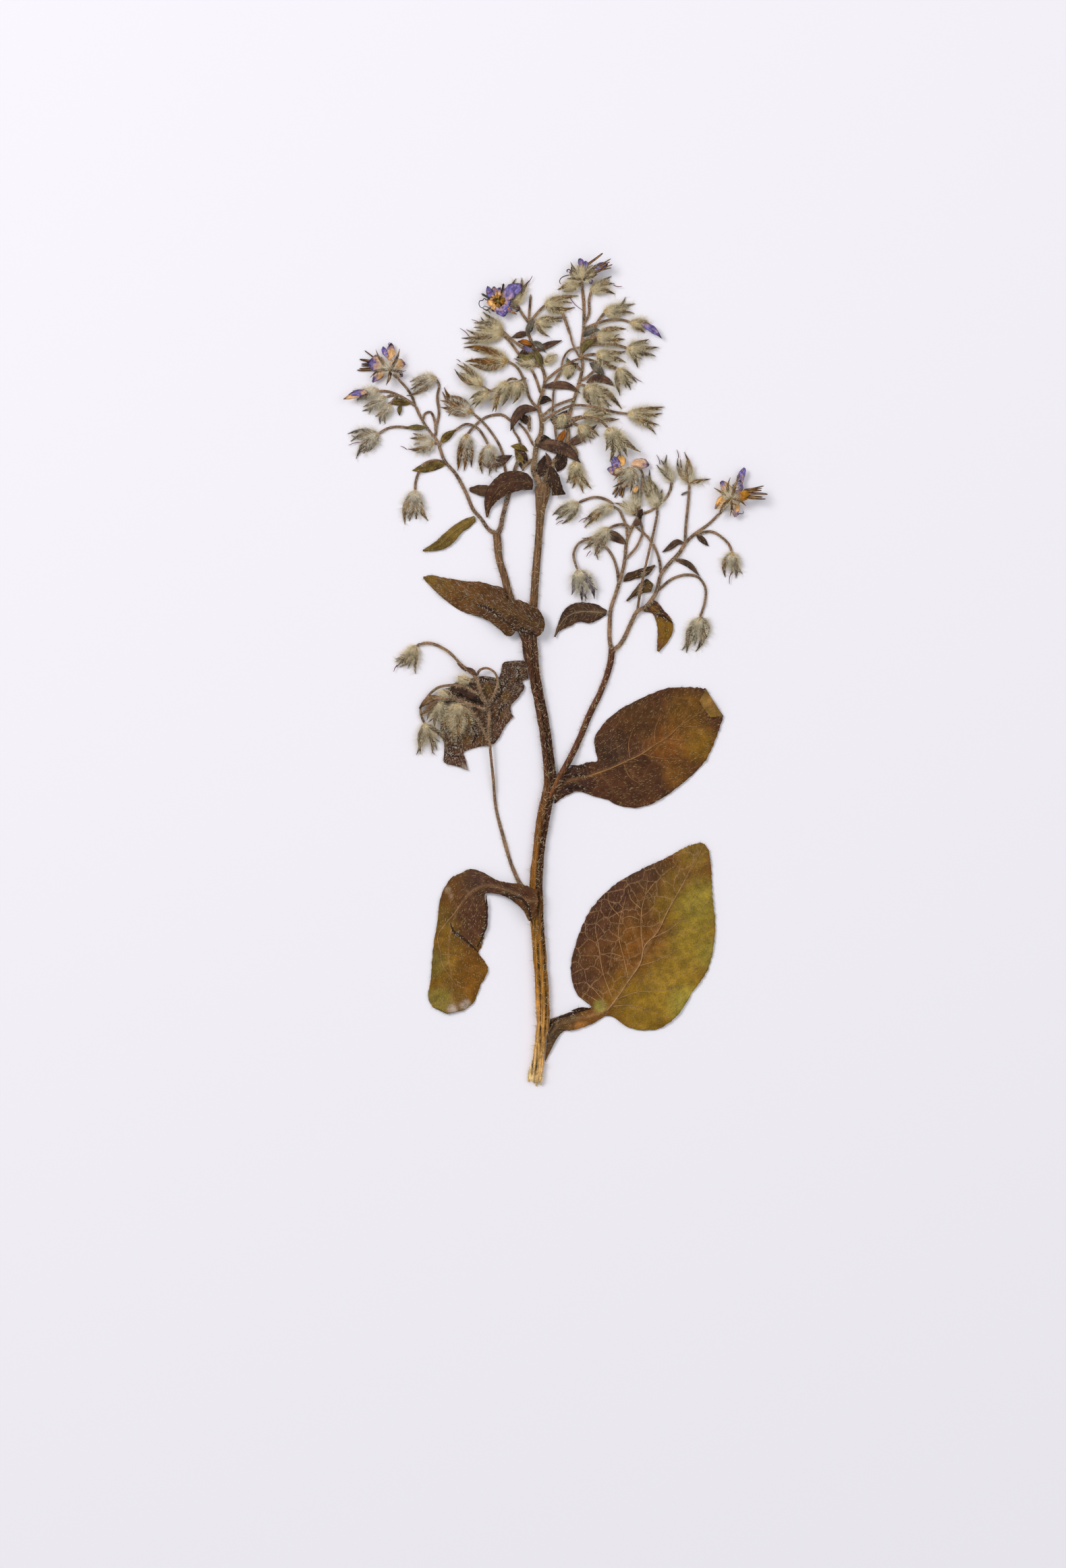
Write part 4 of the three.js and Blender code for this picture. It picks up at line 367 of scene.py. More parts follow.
CYMES_RIGHT = {
  "arms": [
    [[20.12, 114.4, 1.5], [20.1, 115, 1.5], [19.7, 116.8, 1.4], [19.5, 121.4, 1.3], [19.7, 125.4, 1.3],
      [21.5, 131.5, 1.3], [23.6, 139.5, 1.2], [24.2, 144.9, 1.1], [25.4, 147.7, 1.1],
      [27.2, 151, 1], [30.8, 152.8, 0.9], [34.6, 156, 0.8], [35.9, 158.4, 0.8]],
    [[20.12, 114.4, 1.5], [20.5, 115.1, 1.5], [22.2, 116.8, 1.4], [25.6, 123.3, 1.4],
      [26.9, 125.7, 1.4, 0.5], [29, 126.9, 1.4, 1], [30.5, 128.5, 1.4, 1],
      [31.8, 130.5, 1.4, 0.3], [33.3, 135.6, 1.4], [35.9, 139, 1.3], [37.9, 141, 1.3],
      [39.9, 144.1, 1.2], [46.7, 149.7, 0.9], [50.2, 153.2, 0.8]],
    [[26.8, 125.2, 0.9, 0.6], [27.7, 131, 0.9, 1.3], [28.5, 135.1, 0.9, 1.3],
      [29.5, 139.5, 0.9, 1.1], [31.5, 148, 0.9, 0.4], [32.2, 151.6, 0.9, 0.4]],
    [[33.2, 135.4, 0.9, 0.3], [32.8, 139.2, 0.9, 0.3], [30.5, 144.6, 0.9, 0.3],
      [26, 148.8, 0.9, 0.2]],
    [[23.7, 139.4, 0.8, 0.2], [27.2, 143.8, 0.8, 0.4], [28.3, 147.4, 0.8, 0.3],
      [27.3, 150.9, 0.8, 0.2]],
  ],
  "calyces": [
    [[[35.7, 158, 0.1]], [36.3, 160.2], 0.1, [[34.8, 167.5], [33.1, 166.1], [31.8, 164.5]], 1.25],
    [[[39.6, 143.6, 0.2], [39.8, 147.7, 0.2], [40.7, 157.4, 0.2]], [40.8, 159.6], 0.1, [[39.1, 168.2],
      [37.2, 166.3], [40.4, 166], [46.4, 161.1]], 1.25],
    [[[32.2, 151.4, 0.4]], [32.3, 153.4], 0.2, [[30.5, 163.6], [29.8, 162], [33.4, 158.4], [28.3, 162.4],
      [28.9, 157.6]], 1.9],
    [[[20.3, 154.6, 0.4], [18, 155.8, 0.3], [15.4, 156.2, 0.3], [13.2, 155.6, 0.2]], [11.2, 154.8], 0.1,
      [[4.2, 151.5], [5, 150.4], [6.8, 149.1]], 1.8],
    [[[24.2, 145.6, 0.3], [24, 148.2, 0.5], [23.1, 150.5, 0.4], [21.9, 152.9, 0.3]], [20.3, 154.1], 0.2,
      [[12.4, 149.9], [12.8, 148.1], [16.2, 150.2]]],
    [[[25.3, 148, 0.4], [23.3, 148.9, 0.9], [21.3, 148.7, 0.5]], [19.2, 148], 0.2, [[12.4, 144.8],
      [12.8, 142], [15.1, 140.9], [15.9, 139.7]]],
    [[[21.9, 133.4, 0.2], [21.5, 136.9, 0.3], [19, 142.3, 0.4], [16.9, 144.1, 0.8], [14.4, 144.9, 0.8],
      [11.4, 143.9, 0.5], [9.9, 140.9, 0.5], [10.3, 138.6, 0.8]], [11, 136.8], 1, [[9.8, 130],
      [11.8, 128.2], [15.7, 129.1], [16.1, 131.2]], 2.6],
    [[[27.2, 150.9, 0.3]], [26, 151.8], 0.4, [[20.9, 154.9], [23.1, 155.3]], 1.4],
    [[[43, 146.4, 0.2], [46.8, 147, 0.2], [49.9, 145.1, 0.1], [51.5, 143.3, 0.1]], [52.2, 141.6], 0.1,
      [[50, 135], [52.2, 135.6], [53.6, 134.7], [54.6, 135.6]], 2],
    [[[32.6, 131.5, 0.2], [36.8, 134.7, 0.1], [39.9, 135.5, 0.1], [43.2, 134.8, 0.1], [45, 132.2, 0.1],
      [45, 128.7, 0.1], [44.3, 126, 0.1]], [43.6, 124.2], 0.1, [[38.5, 115.6], [40.6, 114.5], [43, 115],
      [45.6, 118.6]], 2.7],
    [[[50, 153, 0.4], [50.9, 154, 1.6]], [51.9, 155.6], 2.2, [[47.3, 158.6], [51.3, 161.3], [53.8, 162.5],
      [55.9, 154], [51.6, 151.2], [48.5, 151.4]], 1.6],
    [[[27, 150.6, 0.2], [27.7, 155.4, 0.1], [28.2, 159, 0.4], [28.4, 162, 1], [27.6, 163.7, 1.6],
      [26.4, 164.3, 1.9]], [25.4, 164.1], 1.9, [[20.3, 158.8], [24.8, 157.4], [20.4, 161.6],
      [27.3, 159.6]], 1.7],
    [[[26.9, 151.6, 0.4]], [26.7, 153.2], 0.2, [[25, 156.8], [26, 159], [27.3, 158.4]], 1.5],
  ],
  "bracts": [
    [[24, 143.8, 1.2, 0.3], [20, 146, 2.2, 0.3], [15.6, 145.6, 0.5, 0.7]],
    [[39.6, 143.9, 0.9, 0.3], [37.6, 144.2, 1.4, 0.2], [35.6, 142.8, 0.8, 0.2],
      [33.6, 141.5, 0.3, 0.2]],
    [[42.6, 146.4, 1, 0.2], [44.2, 144.9, 1.3, 0.1], [45.9, 143.2, 0.4, 0.1]],
    [[36.6, 139.7, 1.2, 0.3], [40.2, 138.5, 1.3, 0.3], [43.5, 135.2, 0.4, 0.5]],
  ],
}

# ---------------------------------------------------------------- flowers
# The lift of a corolla, then its petals: root x, y, tip x, y, width, how far violet has spread
# (from the root where it is negative), and how golden the rest is, down to a pinkish tan at 0.
COROLLAS = {
  "corolla_left": [0.7, [-39.2, 192.6, -38.8, 197, 2.1, 0.4, 0.7],
    [-39.6, 193.4, -40.9, 196.2, 1.3, 1.1, 0.2],
    [-40.2, 191.7, -44.9, 191.8, 3.8, 0.6, 0.6], [-39.2, 191.3, -35.1, 191.8, 2.8, 0.25, 1],
    [-40.3, 190.2, -43.5, 187, 2.2, 0.5, 0.9], [-39.2, 190.4, -35.7, 188.6, 1.9, 0.25, 0.1]],
  "corolla_centre": [1.6, [-11.2, 209, -13.1, 212, 1.7, 1, 0.2],
    [-10.8, 209, -11.3, 212.2, 1.9, 0.5, 0.8], [-10.3, 209, -9.8, 211.9, 1.7, 0.4, 0.6],
    [-9.6, 208.4, -3.9, 212.7, 3.3, 0.9, 0.3], [-9.6, 208.4, -6.8, 208.3, 3, 0.55, 0.9],
    [-10, 208, -8.5, 204.4, 3.2, 0.9, 0.2], [-10.4, 207.8, -11.7, 205.8, 2.4, 0.1, 0.8],
    [-10.6, 208.4, -13.1, 208.2, 2.2, 0.1, 0.8], [-8.6, 207.6, -6.9, 205.7, 1.5, 1.5, 0]],
  "corolla_top": [1.5, [12.6, 216.6, 11.5, 219.6, 1.7, 0.6, 0.3],
    [13.1, 216.8, 13.1, 219, 1.4, 1.2, 0], [14, 215.8, 18.8, 218.3, 2.1, 0.9, 0.3],
    [13.8, 215.2, 16, 216.2, 1.9, 0.45, 1], [13.9, 214.8, 14.6, 213, 1.2, 0.9, 0],
    [10.8, 216.4, 9, 216, 1.4, 0.4, 0.8]],
  "corolla_right": [1.1, [53.9, 158.2, 55.5, 163.8, 1.8, 0.75, 0.1],
    [52.9, 156.4, 54.1, 160.7, 2.7, 0.8, 0.3], [52.6, 157.6, 49.2, 160.2, 2.5, 0.4, 1],
    [51.9, 157.2, 48, 153.2, 2.4, 0.05, 1.2], [52.8, 155.4, 53, 151.1, 1.9, 0.35, 0.7],
    [52.8, 156.2, 55, 155.2, 1.9, 0.3, 0.6]],
  "corolla_inner": [0.9, [22.4, 163.7, 20.4, 167, 2.3, 0.95, 0.2],
    [23, 163.6, 19, 163.6, 2.1, 0.5, 0.2], [23.2, 163.6, 20.7, 162.2, 2, 0.1, 1],
    [23, 164.4, 22, 167.4, 2.2, 0.05, 1.1], [25.2, 165, 29.8, 164.7, 2.5, 0.25, 0.2],
    [24.4, 163.2, 22.3, 159, 2.9, -0.75, 0.5], [24.6, 163, 23.9, 159, 2.4, -0.6, 0.8],
    [27, 159.4, 25.8, 157.4, 1.2, 0, 1.2]],
}
ANTHERS = {  # lift, then root x, root y, tip x, tip y and width of each anther
  "anthers_left": [0.05, [-42.6, 193.1, -45.9, 195.3, 0.42], [-42.6, 192.3, -47.2, 192.9, 0.75],
    [-42.6, 191.8, -46.7, 191.7, 0.65], [-42.6, 191.2, -46.8, 191.3, 0.4],
    [-42.6, 190.7, -47.3, 190.6, 0.5], [-42.6, 190.4, -47.9, 190.1, 0.65]],
  "anthers_top": [3.1, [13.8, 218, 17.7, 221.2, 0.7], [16.6, 217.8, 19.9, 219.6, 0.4],
    [16.8, 217.4, 19.6, 218.7, 0.45], [15.6, 216, 20.4, 218, 0.5], [15.4, 215.8, 20, 217.2, 0.45]],
  "anthers_right": [3, [55.2, 158, 60.7, 159.1, 0.5], [55.4, 157.7, 60.2, 158.4, 0.45],
    [55.2, 157.4, 60.1, 157.8, 0.6], [55, 156.9, 61.7, 156.9, 0.75], [55.2, 156.3, 60.3, 156.2, 0.6],
    [55, 155.8, 61.2, 155.7, 0.55]],
  "anthers_inner": [0.05, [22.4, 160.2, 20.2, 156.9, 0.65], [22.7, 160.2, 20.8, 156, 0.65],
    [23, 160.2, 22.2, 156.4, 0.65], [23.5, 160.4, 22.9, 155.9, 0.65]],
}
GOLD_TONES = ("dc9a30", "8a5216")
GOLD_SCALES = [  # crumpled scales at the root of the anthers of the right flower
  [54.2, 157.3, 56.8, 157.5], [54.2, 156.7, 57.2, 156.9], [54.2, 156.1, 56.4, 156.4],
  [54, 155.5, 56.4, 155.7], [54.4, 157, 56, 156.2],
]
# Twisted petals that stand out of a closed calyx: root x, y, tip x, y and lift of the twist, then
# the share of its length, shift to the side, violet and gold of each petal.
BUD_PETALS = {
  "bud_petals_left": [-46.9, 183.6, -51.2, 182.3, 2.1, [1, 0, -0.5, 0.55], [0.78, 0.75, 0.9, 0.2]],
  "bud_petals_right": [29.6, 201.4, 33.1, 198.8, 1.3, [1, 0, 1.1, 0]],
}
TWIST_WIDTH = 1.65
TWIST_SEAT = 0.4  # how far a twist reaches back into its calyx, over its length


# ---------------------------------------------------------------- colours and random relief
def ink(code):
    """Linear red, green and blue of a screen colour such as 8a5a20."""
    part = np.array([int(code[k : k + 2], 16) for k in (0, 2, 4)]) / 255
    return np.where(part <= 0.04045, part / 12.92, ((part + 0.055) / 1.055) ** 2.4)


def mix(first, second, share):
    """The first colour where the share is 0, the second where it is 1."""
    share = np.clip(share, 0, 1)[..., None]
    return first * (1 - share) + second * share


def ripple(points, size, seed):
    """Gentle random relief, mostly between -1 and 1: the sum of nine cosine waves of about the
    given length, in directions and phases drawn from the seed."""
    chance = np.random.default_rng(seed)
    way = chance.normal(size=(9, points.shape[-1]))
    way /= np.linalg.norm(way, axis=1, keepdims=True)
    pace = 2 * np.pi / (size * chance.uniform(0.6, 1.7, 9))
    phase = chance.uniform(0, 2 * np.pi, 9)
    return np.cos(points @ (way * pace[:, None]).T + phase).sum(-1) / 4


def bump(values, centre, width):
    """A bell of height 1 at the centre: exp of minus the squared distance over the width."""
    return np.exp(-(((values - centre) / width) ** 2))


# ---------------------------------------------------------------- curves and skins
def length_of(path):
    """Plan length from the first point of a path to each of its points."""
    return np.r_[0, np.cumsum(np.linalg.norm(np.diff(path[:, :2], axis=0), axis=1))]


def smooth(rows, count):
    """count rows on a curve through the given ones: cubic pieces over the plan length between
    rows, each row's slope taken from its two neighbours, at even steps of that length."""
    rows = np.asarray(rows, float)
    way = length_of(rows)
    slope = np.gradient(rows, way, axis=0)
    at = np.linspace(0, way[-1], count)
    k = np.clip(np.searchsorted(way, at, "right") - 1, 0, len(way) - 2)
    span = (way[k + 1] - way[k])[:, None]
    t = (at - way[k])[:, None] / span
    rise = t * t * (3 - 2 * t)
    return (
        rows[k] * (1 - rise)
        + rows[k + 1] * rise
        + span * t * (1 - t) * ((1 - t) * slope[k] - t * slope[k + 1])
    )


def evenly(rows, step, least):
    """The smoothed rows, one about every step mm of their plan length, and at least so many."""
    return smooth(rows, max(int(length_of(np.asarray(rows, float))[-1] / step), least))


def full(rows, size=4):
    """The rows, each filled up with zeros to the given size."""
    return [list(row) + [0.0] * (size - len(row)) for row in rows]


def stacked(*values):
    """The values side by side on a last axis, each spread over the shape of all."""
    return np.stack(np.broadcast_arrays(*values), -1)


def around(sides):
    """A row of even angles round a ring, from 0 on its left side."""
    return np.linspace(0, 2 * np.pi, sides, endpoint=False)[None]


def directions(path):
    """For each point of a path, the unit vector along it and the one to its left, both level."""
    way = np.gradient(path[:, :2], axis=0)
    way /= np.linalg.norm(way, axis=1, keepdims=True) + 1e-9
    zero = np.zeros(len(way))
    return np.c_[way, zero], np.c_[-way[:, 1], way[:, 0], zero]


def tube(path, sides, rib=0.0, ribs=6, rough=0.05, seed=0):
    """Oval rings along a path of x, y, width and lift. A ring is width/2 cos a to the left and
    height/2 (1 + sin a) above the lift, both swollen by 1 + rib cos(ribs a) + rough ripple. The
    swelling falls as a quarter circle at both ends, so that they come out round."""
    way, left = directions(path)
    run = length_of(path)[:, None]
    angle = around(sides)
    width, lift = path[:, 2:3], path[:, 3:4]
    height = np.minimum(width * PRESSED, STEM_HEIGHT)
    swell = 1 + rib * np.cos(ribs * angle + RIB_TWIST * run)
    swell = swell + rough * ripple(stacked(run / 3, np.cos(angle), np.sin(angle)), 1.6, seed)
    end = np.minimum(run, run[-1] - run) / (ROUND_END * width + 1e-6)
    swell = swell * np.sqrt(1 - np.clip(1 - end, 0, 0.999) ** 2)
    rings = path[:, None, :3] * [1, 1, 0]
    rings = rings + left[:, None] * (width / 2 * np.cos(angle) * swell)[..., None]
    rings[..., 2] = lift + height / 2 * (1 + np.sin(angle) * swell)
    return rings, way


def sheet(middle, thick):
    """Rings round a thin sheet: the upper side lies half the thickness off the middle grid along
    its normal and the underside as far below it, and both draw together at the two edges."""
    along = np.gradient(middle, axis=0)
    over = np.gradient(middle, axis=1)
    normal = np.cross(over, along)
    normal = normal / (np.linalg.norm(normal, axis=-1, keepdims=True) + 1e-9)
    normal = normal * np.sign(normal[..., 2].sum())
    edge = 1 - THIN_EDGE * np.linspace(-1, 1, middle.shape[1]) ** 8
    offset = normal * (thick / 2 * edge)[:, None]
    return np.concatenate([middle + offset, (middle - offset)[:, ::-1]], axis=1)


def both_sides(values):
    """Values of a sheet's middle grid, repeated for its upper side and its underside."""
    return np.concatenate([values, values[:, ::-1]], axis=1)


def skin(rings):
    """Points and triangles of a closed skin over rings: point j of ring i joins ring i + 1, and
    each end closes on the mean of its last ring. A negative volume turns the triangles over."""
    count, sides = rings.shape[:2]
    points = np.concatenate([rings.reshape(-1, 3), rings[:1].mean(1), rings[-1:].mean(1)])
    i, j = np.meshgrid(np.arange(count - 1), np.arange(sides), indexing="ij")
    a, b = i * sides + j, i * sides + (j + 1) % sides
    k = np.arange(sides)
    after, last = (k + 1) % sides, (count - 1) * sides
    faces = np.concatenate([
        np.stack([a, b, b + sides], -1).reshape(-1, 3),
        np.stack([a, b + sides, a + sides], -1).reshape(-1, 3),
        np.stack([after, k, np.full(sides, count * sides)], -1),
        np.stack([k + last, after + last, np.full(sides, count * sides + 1)], -1),
    ])
    corner = points[faces] - points.mean(0)
    volume = (corner[:, 0] * np.cross(corner[:, 1], corner[:, 2])).sum()
    return points, faces if volume > 0 else faces[:, ::-1]


class Form:
    """What one piece is made of, gathered skin by skin: points and triangles, and for each point
    its colour with the strength of its fine net, the way its hairs lie and how thick they grow."""

    def __init__(self):
        self.points, self.faces, self.tones, self.ways, self.fur = [], [], [], [], []
        self.count = 0

    def add(self, points, faces, tones, ways=None, fur=0.0):
        """Adds points and triangles. Without ways and fur they carry no hairs."""
        size = len(points)
        self.points.append(points)
        self.faces.append(faces + self.count)
        bare = np.zeros((size, 4))
        bare[:, : np.shape(tones)[-1]] = tones
        self.tones.append(bare)
        self.ways.append(np.zeros((size, 3)) if ways is None else ways)
        self.fur.append(np.broadcast_to(fur, (size,)))
        self.count += size

    def wrap(self, rings, tones, way, fur=0.0):
        """Adds a skin over rings. Tones (three or four numbers), ways and fur are one for all, one
        for each ring or one for each ring point."""
        shape = rings.shape[:2]

        def spread(values, width):
            """Values of all ring points, then of the two points that close the ends."""
            grid = np.broadcast_to(values, (*shape, width))
            ends = [grid[:1].mean(1), grid[-1:].mean(1)]
            return np.concatenate([grid.reshape(-1, width), *ends])

        points, faces = skin(rings)
        tones, fur = np.asarray(tones, float), np.asarray(fur, float)
        ways = np.broadcast_to(way[:, None] if way.ndim == 2 else way, (*shape, 3))
        self.add(points, faces, spread(tones, tones.shape[-1]), spread(ways, 3),
                 spread(fur[..., None] if fur.ndim else fur, 1)[:, 0])

    def arrays(self):
        """All points, triangles, tones, ways and fur, each as one array."""
        names = (self.points, self.faces, self.tones, self.ways, self.fur)
        return [np.concatenate(name) for name in names]


def cord_into(form, path, sides, tone, fur=0.0, **relief):
    """Adds a tube of one colour, or of one for each ring point, along a path."""
    rings, way = tube(path, sides, **relief)
    form.wrap(rings, tone, way, fur)


def fit(name, form, material, slot, *nodes):
    """Makes the mesh object of a form in the frame, puts its colours on it as the attribute tone,
    lets it ride the plant, and hides the solids that it stands for."""
    points, faces, tones = form.arrays()[:3]
    points = points.copy()
    points[:, 2] = np.clip(points[:, 2], SHEET, TOP)
    mesh = bpy.data.meshes.new(name)
    mesh.vertices.add(len(points))
    mesh.vertices.foreach_set("co", ((points - CENTRE) * MM).ravel())
    mesh.loops.add(faces.size)
    mesh.loops.foreach_set("vertex_index", faces.ravel())
    mesh.polygons.add(len(faces))
    mesh.polygons.foreach_set("loop_start", np.arange(0, faces.size, 3))
    mesh.polygons.foreach_set("use_smooth", np.ones(len(faces), bool))
    mesh.update(calc_edges=True)
    paint = mesh.attributes.new("tone", "FLOAT_COLOR", "POINT")
    paint.data.foreach_set("color", tones.ravel())
    mesh.materials.append(material)
    piece = bpy.data.objects.new(name, mesh)
    bpy.context.scene.collection.objects.link(piece)
    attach(piece, "root")
    if nodes:
        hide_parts(*nodes)


# ---------------------------------------------------------------- hairs
BARE_BELOW = -0.35  # a triangle whose normal points lower than this faces the sheet
HAIR_ROOT = 0.06  # mm that a hair begins under the skin
HAIR_HEIGHT = 0.35  # what pressing leaves of a hair's height
HAIR_LENGTHS = (0.55, 1.15)  # the shortest and the longest hair over the given length
KNEE = 0.55  # where a bent hair turns aside, over its length
KNEE_WIDTH = 0.72  # its width there over its width at the root
KNEE_TURN = 0.45  # how far its tip turns aside
STRAIGHT_HAIR = [[0, 1, 3], [1, 2, 3], [2, 0, 3], [0, 2, 1]]  # three root points and the tip
BENT_HAIR = [[0, 1, 4], [0, 4, 3], [1, 2, 5], [1, 5, 4], [2, 0, 3], [2, 3, 5],  # and the knee's
             [3, 4, 6], [4, 5, 6], [5, 3, 6], [0, 2, 1]]


def roots(form, density, chance):
    """Places for hairs on a form: each triangle that doesn't face the sheet is drawn with a chance
    that follows its area and fur, and the place in it evenly. Also gives the normal there and the
    way that hairs lie."""
    points, faces, _, ways, fur = form.arrays()
    corner = points[faces]
    normal = np.cross(corner[:, 1] - corner[:, 0], corner[:, 2] - corner[:, 0])
    area = np.linalg.norm(normal, axis=1) / 2
    normal = normal / (2 * area[:, None] + 1e-12)
    weight = area * fur[faces].mean(1) * (normal[:, 2] > BARE_BELOW)
    total = weight.sum()
    pick = chance.choice(len(faces), int(total * density), p=weight / total)
    share = chance.dirichlet((1, 1, 1), len(pick))
    spot = (corner[pick] * share[..., None]).sum(1)
    way = (ways[faces[pick]] * share[..., None]).sum(1)
    return spot, normal[pick], way


def hairs(form, source, density, length, width, lean, tones, seed, stand=0.5, stray=0.35,
          bends=False):
    """Grows tapered three-sided hairs on a source form. A hair points along stand times the normal
    plus lean times the way of its root plus stray times a random vector, pressed down to a third
    of its height. One that bends has a middle ring at its knee, and its tip turns aside there."""
    chance = np.random.default_rng(seed)
    spot, normal, way = roots(source, density, chance)
    count = len(spot)

    def unit(vectors):
        """The vectors, each at length 1."""
        return vectors / (np.linalg.norm(vectors, axis=1, keepdims=True) + 1e-9)

    aim = stand * normal + lean * way + stray * chance.normal(size=(count, 3))
    aim[:, 2] *= HAIR_HEIGHT
    aim = unit(aim)
    size = (length * chance.uniform(*HAIR_LENGTHS, count))[:, None]
    side = unit(np.cross(aim, [0.1, 0.2, 1.0]))
    upper = np.cross(aim, side)
    turn = np.arange(3) * 2 * np.pi / 3
    ring = side[:, None] * np.cos(turn)[:, None] + upper[:, None] * np.sin(turn)[:, None]
    foot = spot - aim * HAIR_ROOT
    aside = unit(aim + KNEE_TURN * chance.normal(size=(count, 3)) * [1, 1, 0.3])
    rows = [foot[:, None] + ring * width / 2]
    if bends:
        knee = foot + aim * size * KNEE
        tip = knee + aside * size * (1 - KNEE)
        rows += [knee[:, None] + ring * width * KNEE_WIDTH / 2]
    else:
        tip = foot + aim * size
    points = np.concatenate([*rows, tip[:, None]], axis=1)
    each = points.shape[1]
    faces = np.arange(count)[:, None, None] * each + np.array(BENT_HAIR if bends else STRAIGHT_HAIR)
    tone = mix(ink(tones[0]), ink(tones[1]), chance.uniform(0, 1, count))
    form.add(points.reshape(-1, 3), faces.reshape(-1, 3), np.repeat(tone, each, axis=0))


# ---------------------------------------------------------------- finishes
NET_TONE = "96704e"
NET_SHAKE = 0.35  # how far noise moves the cells of the net, over their size
NET_LINE = (0.012, 0.045)  # distance from a cell's border where a vein is full, and where it ends
FIBRE = 0.45  # width of a lengthwise fibre, in mm
FIBRE_LENGTH = 24  # its length over its width
FIRST_COLOUR, SECOND_COLOUR, MIXED_COLOUR = 6, 7, 2  # sockets of a Mix node


def finish(name, mottle, depth, fleck, roughness, relief, specular=0.12, mesh=0.0, grain=0.0):
    """A dried plant surface. Its colour is the attribute tone times a soft mottle of the given
    size in mm and depth, then darkened where a finer noise, fleck mm wide, runs high. The same
    fine noise roughens the gloss between the two given values and raises the relief, in mm.
    A mesh size in mm draws a net of fine pale veins: the borders of cells, their places shaken
    by noise, as strong as the attribute's alpha says. Grain is the depth of lengthwise fibres, a
    noise drawn out along y."""
    material = bpy.data.materials.new(name)
    material.use_nodes = True
    nodes, links = material.node_tree.nodes, material.node_tree.links
    shader = nodes["Principled BSDF"]
    shader.inputs["Specular IOR Level"].default_value = specular

    def noise(size, detail, gain, stretch=1.0):
        """A noise with waves of about the size in mm, drawn out along y by the stretch."""
        place = nodes.new("ShaderNodeVectorMath")
        place.operation = "MULTIPLY"
        place.inputs[1].default_value = (1, 1 / stretch, 1)
        links.new(place_node.outputs["Object"], place.inputs[0])
        node = nodes.new("ShaderNodeTexNoise")
        node.inputs["Scale"].default_value = 1 / (size * MM)
        node.inputs["Detail"].default_value = detail
        node.inputs["Roughness"].default_value = gain
        links.new(place.outputs["Vector"], node.inputs["Vector"])
        return node.outputs["Fac"]

    def span(value, low, high, to_low, to_high):
        """The value carried in a straight line from low..high to to_low..to_high."""
        node = nodes.new("ShaderNodeMapRange")
        links.new(value, node.inputs["Value"])
        for key, number in zip(("From Min", "From Max", "To Min", "To Max"),
                               (low, high, to_low, to_high)):
            node.inputs[key].default_value = number
        return node.outputs["Result"]

    def scaled(vector, factor):
        """The colour times the factor."""
        node = nodes.new("ShaderNodeVectorMath")
        node.operation = "SCALE"
        links.new(vector, node.inputs[0])
        links.new(factor, node.inputs["Scale"])
        return node.outputs["Vector"]

    def netted(base):
        """The colour with the pale net laid over it."""
        shaken = nodes.new("ShaderNodeVectorMath")
        shaken.operation = "MULTIPLY_ADD"
        links.new(broad.node.outputs["Color"], shaken.inputs[0])
        shaken.inputs[1].default_value = (NET_SHAKE * mesh * MM,) * 3
        links.new(place_node.outputs["Object"], shaken.inputs[2])
        cells = nodes.new("ShaderNodeTexVoronoi")
        cells.voronoi_dimensions = "2D"
        cells.feature = "DISTANCE_TO_EDGE"
        cells.inputs["Scale"].default_value = 1 / (mesh * MM)
        links.new(shaken.outputs["Vector"], cells.inputs["Vector"])
        strength = nodes.new("ShaderNodeMath")
        strength.operation = "MULTIPLY"
        links.new(span(cells.outputs["Distance"], *NET_LINE, 1, 0), strength.inputs[0])
        links.new(tone.outputs["Alpha"], strength.inputs[1])
        blend = nodes.new("ShaderNodeMix")
        blend.data_type = "RGBA"
        links.new(strength.outputs["Value"], blend.inputs["Factor"])
        links.new(base, blend.inputs[FIRST_COLOUR])
        blend.inputs[SECOND_COLOUR].default_value = (*ink(NET_TONE), 1)
        return blend.outputs[MIXED_COLOUR]

    place_node = nodes.new("ShaderNodeTexCoord")
    tone = nodes.new("ShaderNodeAttribute")
    tone.attribute_name = "tone"
    broad = noise(mottle, detail=3.0, gain=0.55)
    fine = noise(fleck, detail=4.0, gain=0.65)
    colour = netted(tone.outputs["Color"]) if mesh else tone.outputs["Color"]
    colour = scaled(colour, span(broad, 0.3, 0.7, 1 - depth, 1 + depth))
    colour = scaled(colour, span(fine, 0.45, 0.68, 1.08, 1 - 1.4 * depth))
    if grain:
        fibres = noise(FIBRE, detail=3.0, gain=0.6, stretch=FIBRE_LENGTH)
        colour = scaled(colour, span(fibres, 0.32, 0.68, 1 + grain, 1 - grain))
    links.new(colour, shader.inputs["Base Color"])
    links.new(span(fine, 0.35, 0.65, *roughness), shader.inputs["Roughness"])
    raised = nodes.new("ShaderNodeBump")
    raised.inputs["Strength"].default_value = 0.9
    raised.inputs["Distance"].default_value = relief * MM
    links.new(fine, raised.inputs["Height"])
    links.new(raised.outputs["Normal"], shader.inputs["Normal"])
    return material


